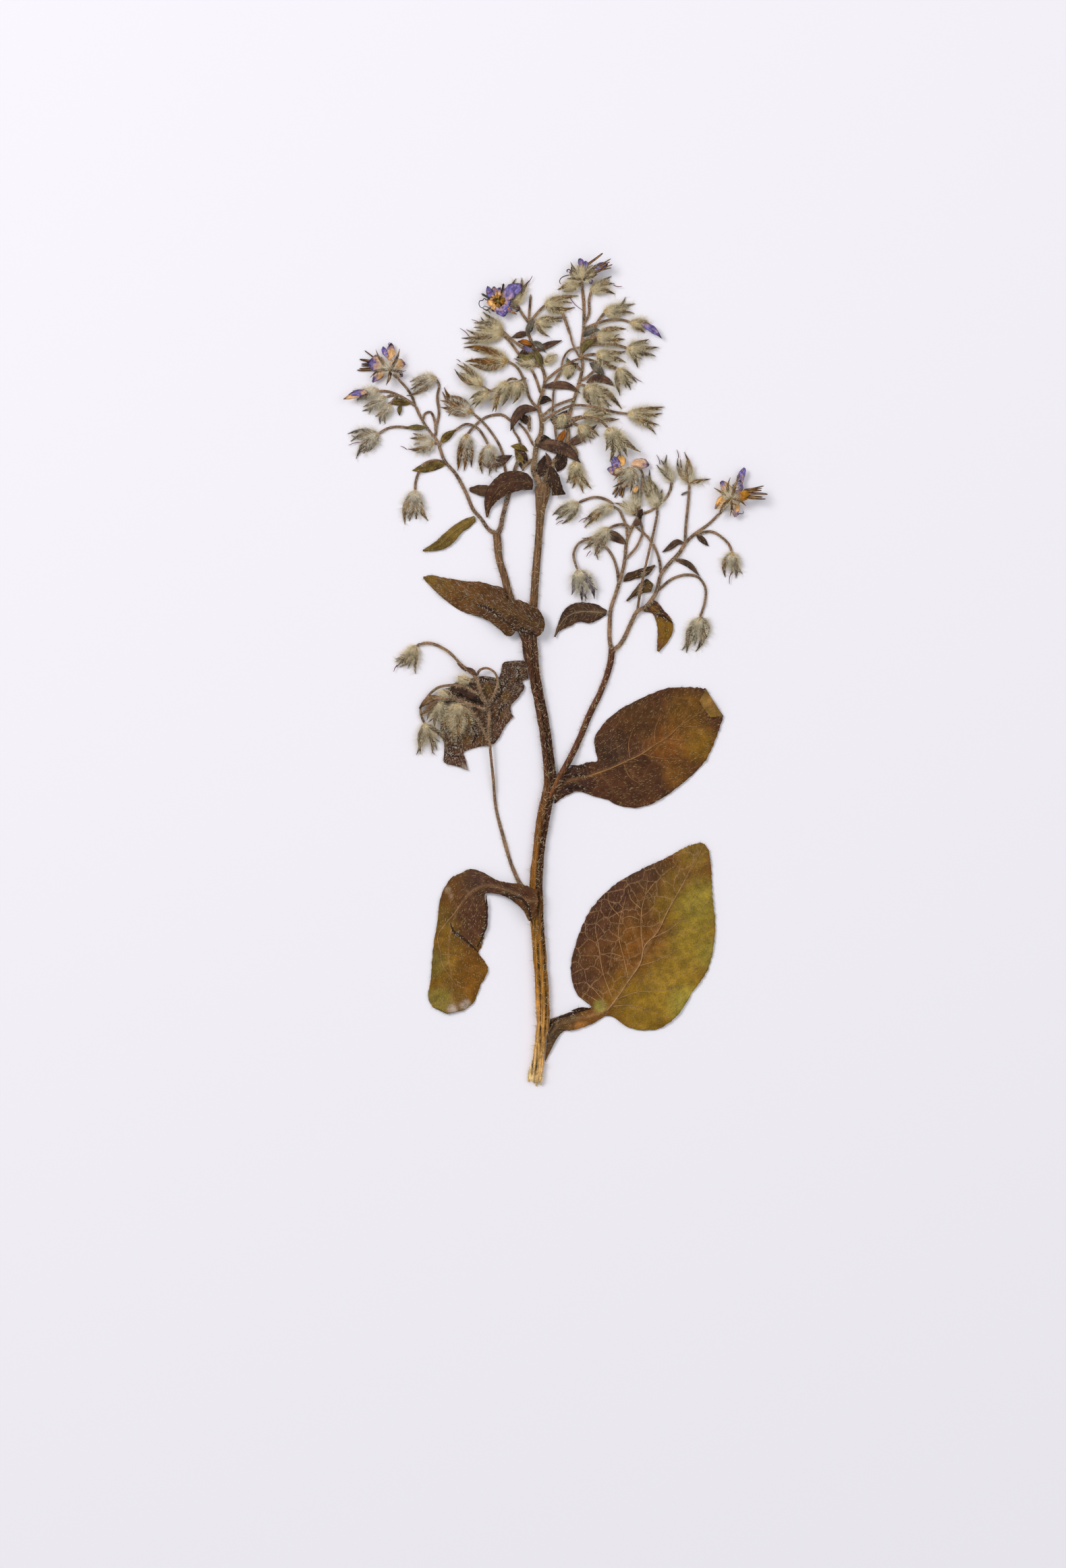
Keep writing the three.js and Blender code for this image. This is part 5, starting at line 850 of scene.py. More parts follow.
FINISHES = {
    "dried_rind": dict(mottle=2.0, depth=0.25, fleck=0.3, roughness=(0.6, 0.8), relief=0.08,
                       grain=0.45),
    "dried_blade": dict(mottle=1.6, depth=0.26, fleck=0.3, roughness=(0.45, 0.7), relief=0.09,
                        mesh=4.0),
    "dried_stalk": dict(mottle=1.5, depth=0.25, fleck=0.3, roughness=(0.6, 0.85), relief=0.07),
    "dried_sepal": dict(mottle=1.2, depth=0.3, fleck=0.28, roughness=(0.6, 0.85), relief=0.07),
    "dried_petal": dict(mottle=1.4, depth=0.3, fleck=0.25, roughness=(0.45, 0.7), relief=0.06),
    "dried_anther": dict(mottle=0.8, depth=0.25, fleck=0.2, roughness=(0.5, 0.7), relief=0.05),
    "bristle": dict(mottle=1.0, depth=0.12, fleck=0.4, roughness=(0.5, 0.65), relief=0.01,
                    specular=0.3),
}


def material_of(name):
    """The named finish, made the first time that it is asked for."""
    return bpy.data.materials.get(name) or finish(name, **FINISHES[name])


# ---------------------------------------------------------------- stem
STEM_TONES = [  # y, colour of the left side, colour of the right side
    [-1, "e6c48c", "dab47c"], [6, "deb06a", "cc9a56"], [12, "d09c54", "b07c3c"],
    [18, "bf8640", "a87434"], [26, "ac7428", "946420"], [42, "8e601d", "6c451b"],
    [52, "84541a", "482a16"], [64, "7a4c19", "422418"], [76, "744824", "3e2217"],
    [84, "502f1e", "3c2116"], [115, "50301f", "482a1c"], [130, "6c4e36", "62462e"],
    [160, "785a40", "6c523a"],
]
STRAW = "e2c48a"
STEM_RINGS, STEM_SIDES, BRANCH_SIDES = 340, 60, 28
GROOVE_ENDS = (42, 128)  # y of the two ends of the groove in the stem
GROOVE_FADE = (8, 30)  # and the length over which it comes out at each
# the near-black colour of the painted shade inside the splits of the stem
SPLIT_SHADE_TONE = "26150a"
SPLIT_WIDTH = 0.22
STEM_SPLITS = [  # lines of x and y of the splits low on the stem, painted dark as the shade inside them
    [(-1.5, 0), (-1.2, 2.4), (-0.9, 6), (-0.6, 9)],
    [(-0.6, -1), (-0.3, 2), (0.2, 6), (0.5, 10)],
    [(1, 7), (1.15, 20), (0.9, 26), (0.7, 30), (0.5, 34), (0.2, 41)],
    [(2.1, 11), (2.5, 16), (2.65, 22), (2.5, 26), (2.3, 30), (2, 36), (1.75, 41), (1.3, 48)],
]
# The skins run on past the ends of the solids, into the stalks that they carry.
STEM_TOP = [[1.72, 158.8, 3.7], [1.75, 160.2, 2.6, 0.2]]
LEFT_BRANCH_TOP = [[-10.6, 146, 2], [-10.8, 147, 1.7]]
RIGHT_BRANCH_TOP = [[20.1, 115.2, 1.6], [20.05, 116.4, 1.5]]
BRANCHES = (  # path, number of rings, seed, and how much paler than the stem
    (UPPER_LEFT_BRANCH + LEFT_BRANCH_TOP, 110, 7, 1.1),
    (RIGHT_BRANCH + RIGHT_BRANCH_TOP, 150, 9, 1.5),
)


def stem_tone(rings):
    """Colours down the stem, blended from its right to its left side over the ring."""
    places = [row[0] for row in STEM_TONES]
    left = np.array([ink(row[1]) for row in STEM_TONES])
    right = np.array([ink(row[2]) for row in STEM_TONES])

    def down(table):
        """A column of colours, read off at the y of each ring point."""
        return np.stack([np.interp(rings[..., 1], places, table[:, k]) for k in range(3)], -1)

    blend = np.broadcast_to(0.5 + 0.9 * np.cos(around(rings.shape[1])), rings.shape[:2])
    return mix(down(right), down(left), blend)


def stem_form(rib):
    """The main stem and its two branches as ribbed ovals. The stem has a groove a little to the
    right of its middle, cut as a bell round the ring, darkened with painted shade and fading out at
    both ends, with a fainter dark line beside it. Below it lie the splits, each a narrow bell round
    its line of x and y on the upper side, cut in and painted with the dark of the shade inside them."""
    form = Form()
    rows = smooth(full(MAIN_STEM + STEM_TOP), STEM_RINGS)
    rings, way = tube(rows, STEM_SIDES, rib=rib, ribs=9, seed=3)
    angle, run = around(STEM_SIDES), rows[:, 1:2]
    middle = np.pi * (0.56 + 0.05 * np.sin(run / 9))
    inside = np.minimum((run - GROOVE_ENDS[0]) / GROOVE_FADE[0],
                        (GROOVE_ENDS[1] - run) / GROOVE_FADE[1]).clip(0, 1)
    groove = bump(angle, middle, 0.2) * inside
    # painted shade: the groove is darkened by up to three quarters, and a fainter dark line runs beside it
    dark = 0.75 * groove + 0.25 * inside * bump(angle, middle + 0.9, 0.14)
    split = np.zeros_like(groove)
    for path in STEM_SPLITS:
        across, down = np.array(path).T
        near = bump(rings[..., 0], np.interp(run, down, across), SPLIT_WIDTH) * (np.sin(angle) > 0.1)
        ends = np.clip(np.minimum(run - down[0], down[-1] - run) / 4, 0, 1)
        split = split + near * ends * (0.95 + 0.35 * ripple(run, 3.0, 9)[:, None])
    split = split.clip(0, 1)
    rings[..., 2] -= 0.5 * groove + 0.3 * split
    # the splits take the dark colour of painted shade
    tones = mix(stem_tone(rings) * (1 - dark)[..., None], ink(SPLIT_SHADE_TONE), split)
    streak = ripple(stacked(angle * 7, run / 16), 1.5, 5)
    form.wrap(rings, tones * (1 + 0.42 * streak.clip(-1, 1))[..., None], way, fur=1.0)
    for path, count, seed, glow in BRANCHES:
        rings, way = tube(smooth(full(path), count), BRANCH_SIDES, rib=rib, ribs=7, rough=0.06,
                          seed=seed)
        form.wrap(rings, stem_tone(rings) * glow, way, fur=1.0)
    for seed, path in enumerate(CUT_FIBRES):
        cord_into(form, smooth(full(path), 26), 10, ink(STRAW), rib=0.15, ribs=4, rough=0.1,
                  seed=seed)
    return form


# ---------------------------------------------------------------- leaves
# base: colour of the blade. vein: of its ribs. spots: x, y, reach and colour of stained areas.
# ribs: distance between side veins; slant: how far they lean to the tip; mesh: how strongly the
# fine net shows on the first and the second side; drawn: veins given one by one, midrib first;
# creases: folds, laid on as dark strips of painted shade, with curled white hairs; furry: how much
# denser its hairs stand.
LEAF_LOOKS = {
  "leaf_lower_right": dict(
    base="6d4315", vein="a27a50", ribs=7.0, slant=0.75, mesh=(0.6, 0.06),
    spots=[(11, 30, 8, "4e2f1e"), (13, 41, 8, "4c2c1c"), (20, 51, 8, "4a2b1c"), (29, 57, 6, "513420"),
      (17, 34, 6, "5e3819"), (24, 24, 6, "78500f"), (27, 35, 5, "744612"), (31, 48, 5, "5c3a18"),
      (36, 47, 5, "7a5a16"), (30, 19, 9, "876517"), (38, 27, 9, "92701f"), (42, 38, 7, "8c7020"),
      (44, 48, 7, "8c7626"), (40, 21, 5, "9a8630"), (47, 34, 4, "907c2c"), (47, 49, 3, "8a7426"),
      (42, 61, 4.5, "7c5e20"), (37, 54, 4, "6f5018"), (17, 20.5, 1.8, "8e8438"), (4, 13, 5, "4b3822"),
      (9, 18, 2.6, "4e3a22"), (12, 15, 1.7, "9c642a"), (3, 14.5, 2.4, "2e2018")],
    drawn=[[(18.6, 19.0), (21, 22), (24.2, 26.7), (27.9, 32.5), (28.75, 36.2), (32.1, 40), (35, 45.8),
      (38.75, 52.5), (43.5, 62)], [(28.4, 35.4), (27.9, 41.7), (28.1, 46.2), (29.4, 51.7), (29.6, 55)],
      [(24.6, 27.6), (23.3, 33.3), (21.9, 39.6), (22.5, 44.6), (24, 50)], [(20.2, 22.6), (17.6, 30),
      (16.7, 36), (15.8, 41.7), (16.8, 46)], [(19, 20.6), (15.8, 24.4), (12.4, 27.4)], [(18.6, 20),
      (15, 22.6), (12, 24.2)], [(21.2, 22.2), (27, 24.2), (33.5, 24.6), (38, 26)], [(26.8, 31), (32, 32.6),
      (38, 35.6)], [(20, 20.4), (25, 20.6), (30, 19.6)], [(30.4, 38.4), (35, 40.6), (40, 44.6)],
      [(22.4, 44.2), (19.4, 48), (19, 50.4)], [(28.1, 46.2), (25, 49.4), (24.4, 52)], [(23.2, 33.5),
      (19.6, 34.6), (17, 34)], [(27.8, 43.4), (24.6, 44.4), (22.4, 43.4)], [(29, 50), (31.6, 53.4),
      (33.6, 55)]],
    creases=[[(3.4, 15.2), (5, 16.8), (8, 18), (11, 19), (14.4, 19.8)], [(9.4, 19.2), (11.6, 19.8),
      (13.8, 20)]],
  ),
  "leaf_lower_left": dict(
    base="74500f", vein="a07850", ribs=5.0, slant=0.6, mesh=(0.05, 0.05),
    spots=[(-27.5, 32, 4, "745e20"), (-25, 44, 4, "6e5018"), (-17, 27, 5, "74490c"),
      (-17, 33, 4, "6e450c"), (-22, 51, 5, "643f16"), (-17, 46, 5.5, "4e2d1b"), (-17, 40, 4, "502f1d"),
      (-15, 54, 6, "4a2f22"), (-14.3, 38, 1.6, "664416"), (-9, 52, 5, "46291c"), (-3, 50, 4, "4a2b19"),
      (-0.6, 47, 4, "4e2c16"), (-7, 49.6, 1.8, "3c2a20"), (-23.6, 51.6, 0.9, "94765a"),
      (-22.8, 49.8, 0.7, "8c6c50"), (-25.5, 22, 3.5, "84702c"), (-29, 23, 2, "7c682a"),
      (-22.4, 19.6, 1.4, "a89484"), (-19.2, 21, 1.5, "a89484"), (-20.6, 23, 2, "6a4a18")],
    drawn=[[(-20.4, 47.5), (-22, 45), (-24.6, 42), (-26.3, 39), (-25.6, 35), (-24.9, 31), (-23.5, 29),
      (-21.8, 26.8)], [(-25.3, 34.2), (-23, 34.2), (-21, 33.8), (-19, 32.4)]],
    creases=[[(-23, 42.6), (-22, 40.4), (-20, 39), (-17.6, 36.9), (-15.5, 34.8)], [(-13.4, 50),
      (-13.2, 46), (-13.4, 42), (-14.6, 38.6), (-15.8, 36.2)], [(-9.6, 50.4), (-6.4, 49.8), (-3.8, 49),
      (-2.3, 47), (-1.6, 44), (-0.9, 42)]],
  ),
  "leaf_middle_right": dict(
    base="4c2b17", vein="9a6e42", ribs=6.5, slant=0.7, mesh=(0.12, 0.12),
    spots=[(36, 92, 7, "764512"), (40, 99, 6, "66420f"), (44, 90, 5, "7a5410"), (37, 82, 4, "6a4212"),
      (28, 97, 6, "4f3014"), (20, 88, 5, "40281a"), (28, 80, 6, "4c2c16"), (9, 80, 6, "3a211a")],
    drawn=[[(13.4, 81.6), (15.8, 82.4), (19.7, 83.8), (23.2, 85.4), (28.1, 87.7), (31.7, 90.2), (34.8, 92),
      (38, 95.1), (41.5, 98.5)], [(28.1, 87.7), (32.4, 86.7), (38.7, 86.5)], [(34.8, 92), (38.4, 91.4),
      (41.9, 91.6)], [(23.2, 85.4), (24.6, 82), (28.8, 79)], [(31.7, 90.2), (31.6, 94), (33.4, 98.6)],
      [(25, 86.3), (24.6, 90.4), (26, 95)], [(38, 95.1), (41, 95), (44.6, 95.4)]],
    creases=[[(6, 81), (8.4, 81.8), (11, 82), (13.6, 82.2)], [(9, 84.6), (12, 84.4), (14.6, 85.4)],
      [(8, 78.6), (11, 79), (14, 78.4)]],
  ),
  "leaf_middle_left": dict(
    base="4c2f20", vein="6a4626", ribs=4.5, slant=0.6, mesh=(0.15, 0.15), furry=3.0,
    spots=[(-22, 86, 3.4, "4e3026"), (-20, 102, 5, "452c22"), (-6, 108, 4, "3e291e"),
      (-12.8, 105, 1.6, "5e4318"), (-24.2, 97, 1.3, "55300f"), (-18.4, 91.6, 1.6, "5a3c16"),
      (-14.6, 91.4, 1.2, "5c3a14"), (-9.6, 98.5, 1.8, "5a3b1a"), (-8.4, 103, 1.6, "5c3f18"),
      (-19, 83.8, 0.9, "8c7a70")],
    creases=[[(-15.2, 108.2), (-13, 107.6), (-10.9, 107.3)], [(-9.6, 104.6), (-8.4, 106.2), (-7, 108)],
      [(-10.2, 107.4), (-9.4, 105.6), (-9.8, 103.4), (-11.6, 101.8), (-13.4, 100.8)], [(-17.2, 95.4),
      (-16.2, 92.6), (-17.2, 90.4)], [(-25, 98.4), (-25, 95.6), (-24, 93)], [(-23.6, 89.2), (-22, 90),
      (-19.8, 89.4)], [(-24.2, 88), (-22.6, 87.2), (-20, 87.2)], [(-5.4, 111), (-4.6, 109), (-5.6, 106.6)],
      [(-7.4, 101.4), (-9.4, 99.8), (-10.4, 96.6)]],
  ),
  "leaf_upper_left": dict(
    base="4e2f13", vein="6c4e26", ribs=5.0, slant=0.6, mesh=(0.15, 0.15), furry=1.7,
    spots=[(-20, 131, 7, "603c16"), (-8, 125, 5, "4e3014"), (-1, 123, 3, "422a18"),
      (-28.5, 134.4, 2.6, "7a5c22"), (-25, 132.4, 3, "6c4c1c"), (-1.6, 119.4, 1.6, "2e1d1c"),
      (-6, 123.4, 1.5, "3c2416")],
    creases=[[(-16, 127.6), (-13.4, 126.8), (-10.8, 125), (-8.4, 123.2), (-6, 121.4)], [(-6.4, 121.2),
      (-4.2, 120.2), (-1.8, 119.8), (0.4, 119)]],
  ),
  "leaf_left_arm": dict(
    base="665022", vein="8a7034", ribs=3.0, slant=0.6, mesh=(0.1, 0.1),
    spots=[(-22, 148, 3, "755c26")],
  ),
  "leaf_fork_left": dict(
    base="45291c", vein="684832", ribs=3.0, slant=0.5, mesh=(0, 0),
    spots=[(-3, 160, 3, "38241a")],
  ),
  "leaf_fork_right": dict(base="35241a", vein="4e3726", ribs=2.5, slant=0.5, mesh=(0, 0), spots=[]),
  "leaf_right_branch": dict(
    base="422a1e", vein="8a7458", ribs=3.0, slant=0.6, mesh=(0, 0),
    spots=[(6, 121, 3, "4a3220")],
  ),
  "leaf_right_fork": dict(
    base="7c560f", vein="8a6426", ribs=3.0, slant=0.6, mesh=(0, 0),
    spots=[(31, 127, 3, "4e2e22"), (34.4, 125.4, 2, "482c20"), (32.2, 120, 1.2, "5c4020"),
      (32.6, 116.4, 2, "664420")],
    creases=[[(31.6, 125), (33.4, 124.6), (35.2, 123.6), (36.4, 122.6)]],
  ),
  "leaf_outer_arm_upper": dict(base="402a1c", vein="5c4228", ribs=2.5, slant=0.6, mesh=(0, 0), spots=[]),
  "leaf_outer_arm_lower": dict(
    base="46301e", vein="6a5030", ribs=2.5, slant=0.6, mesh=(0, 0),
    spots=[(29, 132, 2, "5a4422")],
  ),
}
FOLDS = {  # a leaf's second, crumpled sheet, and its colour
    "leaf_middle_right": (TIP_FLAP, "7e5c26"),
    "leaf_fork_left": (CRUMPLED_BRACT, "4a3424"),
}
OLIVE_LEAVES = ("leaf_lower_right", "leaf_lower_left", "leaf_left_arm")
# colours of the creases, dark strips of painted shade along the folds
CREASE_SHADE_TONES = ("452b1e", "2e1a14")
LEAF_STEP = 0.45  # mm between the points of a blade
VEIN_STEP = 0.6  # mm between the rings of a vein


def veins_of(run, away, half, look):
    """How strongly a place of the blade lies on its midrib and on a side vein, 0 to 1. The midrib
    is a bell over the distance to it; side veins are bells over run less slant times distance,
    repeated every ribs mm, and both thin out to the tip and the edge."""
    taper = np.clip(1.15 - run / run.max(), 0.25, 1)
    midrib = bump(away, 0, 0.55 * taper)
    phase = (run - look["slant"] * away + 0.12 * away**1.35) / look["ribs"]
    off = (phase - np.round(phase)) * look["ribs"]
    side = bump(off, 0, 0.3) * np.clip(1.05 - away / (half + 0.01), 0, 1) * 0.8
    return midrib, side


def height_under(path, grid, count=1):
    """The lift of a grid under each point of a path: the highest of the count grid points that lie
    nearest to it in plan."""
    apart = ((path[:, None] - grid.reshape(-1, 3)[None, :, :2]) ** 2).sum(-1)
    return grid[..., 2].ravel()[np.argpartition(apart, count)[:, :count]].max(1)


def vein_into(form, grid, path, width, tone):
    """Adds a raised vein: a thin tube along a path of x, y that thins to a third, lifted onto the
    highest of the four grid points that lie nearest below it."""
    path = evenly(path, VEIN_STEP, 5)
    size = width * np.linspace(1, 0.35, len(path))
    cord_into(form, np.c_[path, size, height_under(path, grid, 4) - 0.35 * size], 6, ink(tone), rough=0.1)


def side_veins(line, grid, look):
    """Plan paths of the side veins, one pair every ribs mm of the midrib: each runs outward while
    it leans slant mm to the tip for each mm that it leaves the midrib."""
    run = length_of(line)
    count = grid.shape[1] // 2
    paths = []
    for start in np.arange(0.6 * look["ribs"], run[-1] * 0.85, look["ribs"]):
        for side in (-1, 1):
            column = count + side * np.arange(0, int(count * 0.9))
            first = np.searchsorted(run, start)
            away = np.linalg.norm(grid[first, column, :2] - grid[first, count, :2], axis=-1)
            row = np.clip(np.searchsorted(run, start + look["slant"] * away), 0, len(run) - 1)
            path = grid[row, column, :2][:: max(len(column) // 5, 1)]
            if length_of(path)[-1] > 1.5 and (np.diff(length_of(path)) > 0.05).all():
                paths.append(path)
    return paths


def blade_tones(plan, v, midrib, side, look, seed):
    """Colours of a blade and the strength of its net. A spot stains the base by exp(-d^4), d being
    the distance over its reach; veins are paler, the edges darker, and a ripple mottles it all."""
    tones = np.broadcast_to(ink(look["base"]), (*plan.shape[:2], 3))
    for x, y, reach, code in look["spots"]:
        apart = np.linalg.norm(plan - [x, y], axis=-1) / reach
        tones = mix(tones, ink(code), np.exp(-apart**4))
    tones = mix(tones, ink(look["vein"]), 0.3 * np.maximum(midrib, side))
    tones = tones * (1 + 0.16 * ripple(plan, 5.0, seed + 3) - 0.1 * np.abs(v) ** 10)[..., None]
    mesh = np.where(v < 0, *look["mesh"]) * np.clip(1.6 * (1 - midrib), 0, 1)
    return np.concatenate([tones, mesh[..., None]], -1)


def leaf_into(form, rows, look, thick, relief, seed):
    """Adds a leaf blade: its rows are smoothed along the midrib, and each row runs straight from
    one edge over the midrib to the other, with a finely uneven edge. Veins stand out from the
    blade, and broad waves lift the parts between them. The creases, dark strips of painted shade
    that lie on the blade, are returned as a form of their own, so that hairs can be set on them alone."""
    table = [[m, n, a, b, c, d, lift] for a, b, m, n, c, d, lift in full(rows, 7)]
    line = evenly(table, LEAF_STEP, 24)
    half = max(np.linalg.norm(line[:, 2:4] - line[:, :2], axis=1).max(), 1)
    count = int(np.clip(half * 1.7 / LEAF_STEP, 8, 34)) * 2 + 1
    v = np.linspace(-1, 1, count)[None]
    run = length_of(line)[:, None]
    middle, first, second = line[:, None, :2], line[:, None, 2:4], line[:, None, 4:6]
    edge = np.where(v[..., None] < 0, first, second)
    width = np.linalg.norm(edge - middle, axis=-1)
    teeth = ripple(stacked(run / 1.3, np.sign(v) * 5), 1.0, seed)
    grow = np.abs(v) * (1 + 0.14 * teeth * np.abs(v) ** 6 / (width + 1))
    plan = middle + (edge - middle) * grow[..., None]
    away = width * np.abs(v)
    midrib, side = veins_of(run * np.ones_like(v), away, width, look)
    fold = 0.5 * ripple(plan, 9.0, seed + 1) + 0.22 * ripple(plan, 2.6, seed + 2)
    height = relief * (0.5 * midrib + 0.35 * side + 0.9 * fold)
    lift = line[:, 6:7] + thick / 2 + relief * 0.9
    grid = np.concatenate([plan, (lift + height)[..., None]], -1)
    tones = blade_tones(plan, v, midrib, side, look, seed)
    way, _ = directions(line)
    side_way = np.where(v[..., None] < 0, first - middle, second - middle)
    side_way = np.concatenate([side_way, np.zeros((*side_way.shape[:2], 1))], -1)
    side_way /= np.linalg.norm(side_way, axis=-1, keepdims=True) + 1e-6
    ways = way[:, None] * 0.9 + side_way * 0.25
    form.wrap(sheet(grid, thick), both_sides(tones), both_sides(ways), fur=1.0)
    grid[..., 2] += thick / 2
    creases = Form()
    for k, path in enumerate(look.get("creases", [])):
        path = evenly(path, 0.5, 8)
        track = np.c_[path, height_under(path, grid)]
        # each crease is laid on as a thin dark strip of painted shade
        for target in (form, creases):
            lance_into(target, track, 0.6, CREASE_SHADE_TONES, seed + k, keel=0.3, thick=0.2, rag=0.4)
    size = np.clip(half * 0.02, 0.22, 0.36)
    drawn = look.get("drawn")
    vein_into(form, grid, drawn[0] if drawn else line[2:-2:6, :2], size * 1.3, look["vein"])
    for path in drawn[1:] if drawn else side_veins(line, grid, look):
        vein_into(form, grid, path, size * 0.8, look["vein"])
    return creases


# ---------------------------------------------------------------- sprays of flowers
PEDICEL = 0.68  # width of a flower stalk
ARM_SHARE = 0.77  # width of an arm's skin over the width of its solid
CALYX_LENGTH = 2.6  # length of the cup that the sepals grow from
ANOTHER_SEPAL = 1.1  # radians: sepals that lie further apart have no narrow one between them
SEPAL_WIDTH = 1.75  # broadest place of one sepal, where a calyx doesn't give its own
ARM_TONES = ("8c6a50", "584132")
BRACT_TONES = {"cyme_lower_left": ("8a6848", "5c4430"), "cymes_upper_left": ("80682c", "4c3a1c"),
               "cymes_apex": ("70503c", "48332a"), "cymes_right": ("6a4e38", "443226")}
SEPAL_TONES = [("8c6c48", "4c382c"), ("826c50", "483a30"), ("96703e", "543c24")]
WOOL_TONES = {  # of the hairs on the sepals, and of the long ones round them and on the stalks: the first of each pair is a hair in light, the second the same hair in painted shade, and each hair is drawn at random between them
    "cyme_lower_left": [("fdf4e4", "e0d0b4"), ("faecc8", "dcc69c")],
    "cymes_upper_left": [("fffaf4", "eae0d4"), ("faf0d8", "e4d6bc")],
    "cymes_apex": [("fdf6e8", "e4d4b8"), ("faecc8", "e4d0a0")],
    "cymes_right": [("fff8ee", "e8dccc"), ("faf0d4", "e4d4b0")],
}
GOLDEN = ("8a5a1e", "4a2f14")
CALYX_TONES = {  # of the calyces, named by their cups, that dried unlike the others
    (-7.5, 192.4): GOLDEN, (-17, 178.8): GOLDEN, (-18.6, 173): GOLDEN,
    (32.3, 153.4): ("7a6432", "4c3c20"),
    (11, 136.8): ("7a6e76", "483e46"),
}
CUP_GOLD = "b08a40"


def stalk_into(form, path, sides, tones, seed):
    """Adds a round, slightly ribbed stalk along a path of x, y, width and lift, its colour drifting
    between two tones along its length and round it."""
    rings, way = tube(evenly(full(path), 0.7, 6), sides, rib=0.07, ribs=4, rough=0.09, seed=seed)
    drift = 0.5 + 0.6 * ripple(rings, 3.5, seed + 40)
    form.wrap(rings, mix(ink(tones[0]), ink(tones[1]), drift), way, fur=1.0)


def pointed(t, broadest, sharpness):
    """Width of a leaf-like outline from its root, t = 0, to its tip, t = 1, as a share of its
    broadest place: (t/b)^a ((1 - t)/(1 - b))^s, with a = s b/(1 - b) so that it peaks at b."""
    t = np.clip(t, 0.012, 0.988)
    rise = sharpness * broadest / (1 - broadest)
    return (t / broadest) ** rise * ((1 - t) / (1 - broadest)) ** sharpness


def lance_into(form, line, width, tones, seed, keel=0.35, thick=0.3, broadest=0.42, rag=0.12,
               columns=7, wool=1.0):
    """Adds a lance-shaped blade on a centre line of x, y and lift. Its half width follows
    pointed(t); it is crowned by the keel's height, creased down the middle, and twists a little,
    each less where it is narrow. Hairs lean from its middle to its sides."""
    count = len(line)
    t = np.linspace(0, 1, count)
    profile = pointed(t, broadest, 1.1)
    v = np.linspace(-1, 1, columns)
    way, left = directions(line)
    uneven = ripple(stacked(t[:, None] * 6, np.sign(v) * 2), 1, seed)
    across = v * width / 2 * profile[:, None] * (1 + rag * uneven)
    grid = line[:, None] + left[:, None] * across[..., None]
    crown = keel * (1 - v**2) - 0.45 * keel * bump(v, 0, 0.22)
    twist = 0.12 * width * np.sin(2.5 * t + seed)[:, None] * v
    grid[..., 2] += thick / 2 + (crown + twist) * profile[:, None]
    shade = 0.5 + 0.55 * ripple(grid, 2.2, seed + 3)
    colour = mix(ink(tones[0]), ink(tones[1]), shade)
    # painted shade darkens the crease down the middle; the edges and the tip are darker as well
    dark = 0.4 * bump(v, 0, 0.2) + 0.35 * np.abs(v) ** 4 + 0.35 * (t[:, None] ** 4)
    colour = colour * (1 - np.minimum(dark, 0.6))[..., None]
    side = np.sign(v)[:, None] * left[:, None] * (np.abs(v) ** 0.5)[:, None]
    ways = 0.8 * way[:, None] + side
    fur = wool * (1.15 - 0.75 * t**2)[:, None] * (0.15 + 1.1 * v**4)
    form.wrap(sheet(grid, thick), both_sides(colour), both_sides(ways), fur=both_sides(fur))


def bract_into(form, path, seed, tones):
    """Adds a dark, leathery bract: a lance along a smoothed path, as wide as its widest row."""
    path = np.array(full(path))
    lance_into(form, smooth(path, 30)[:, [0, 1, 3]], path[:, 2].max() * 1.2, tones, seed,
               thick=0.35, broadest=0.45, rag=0.04)


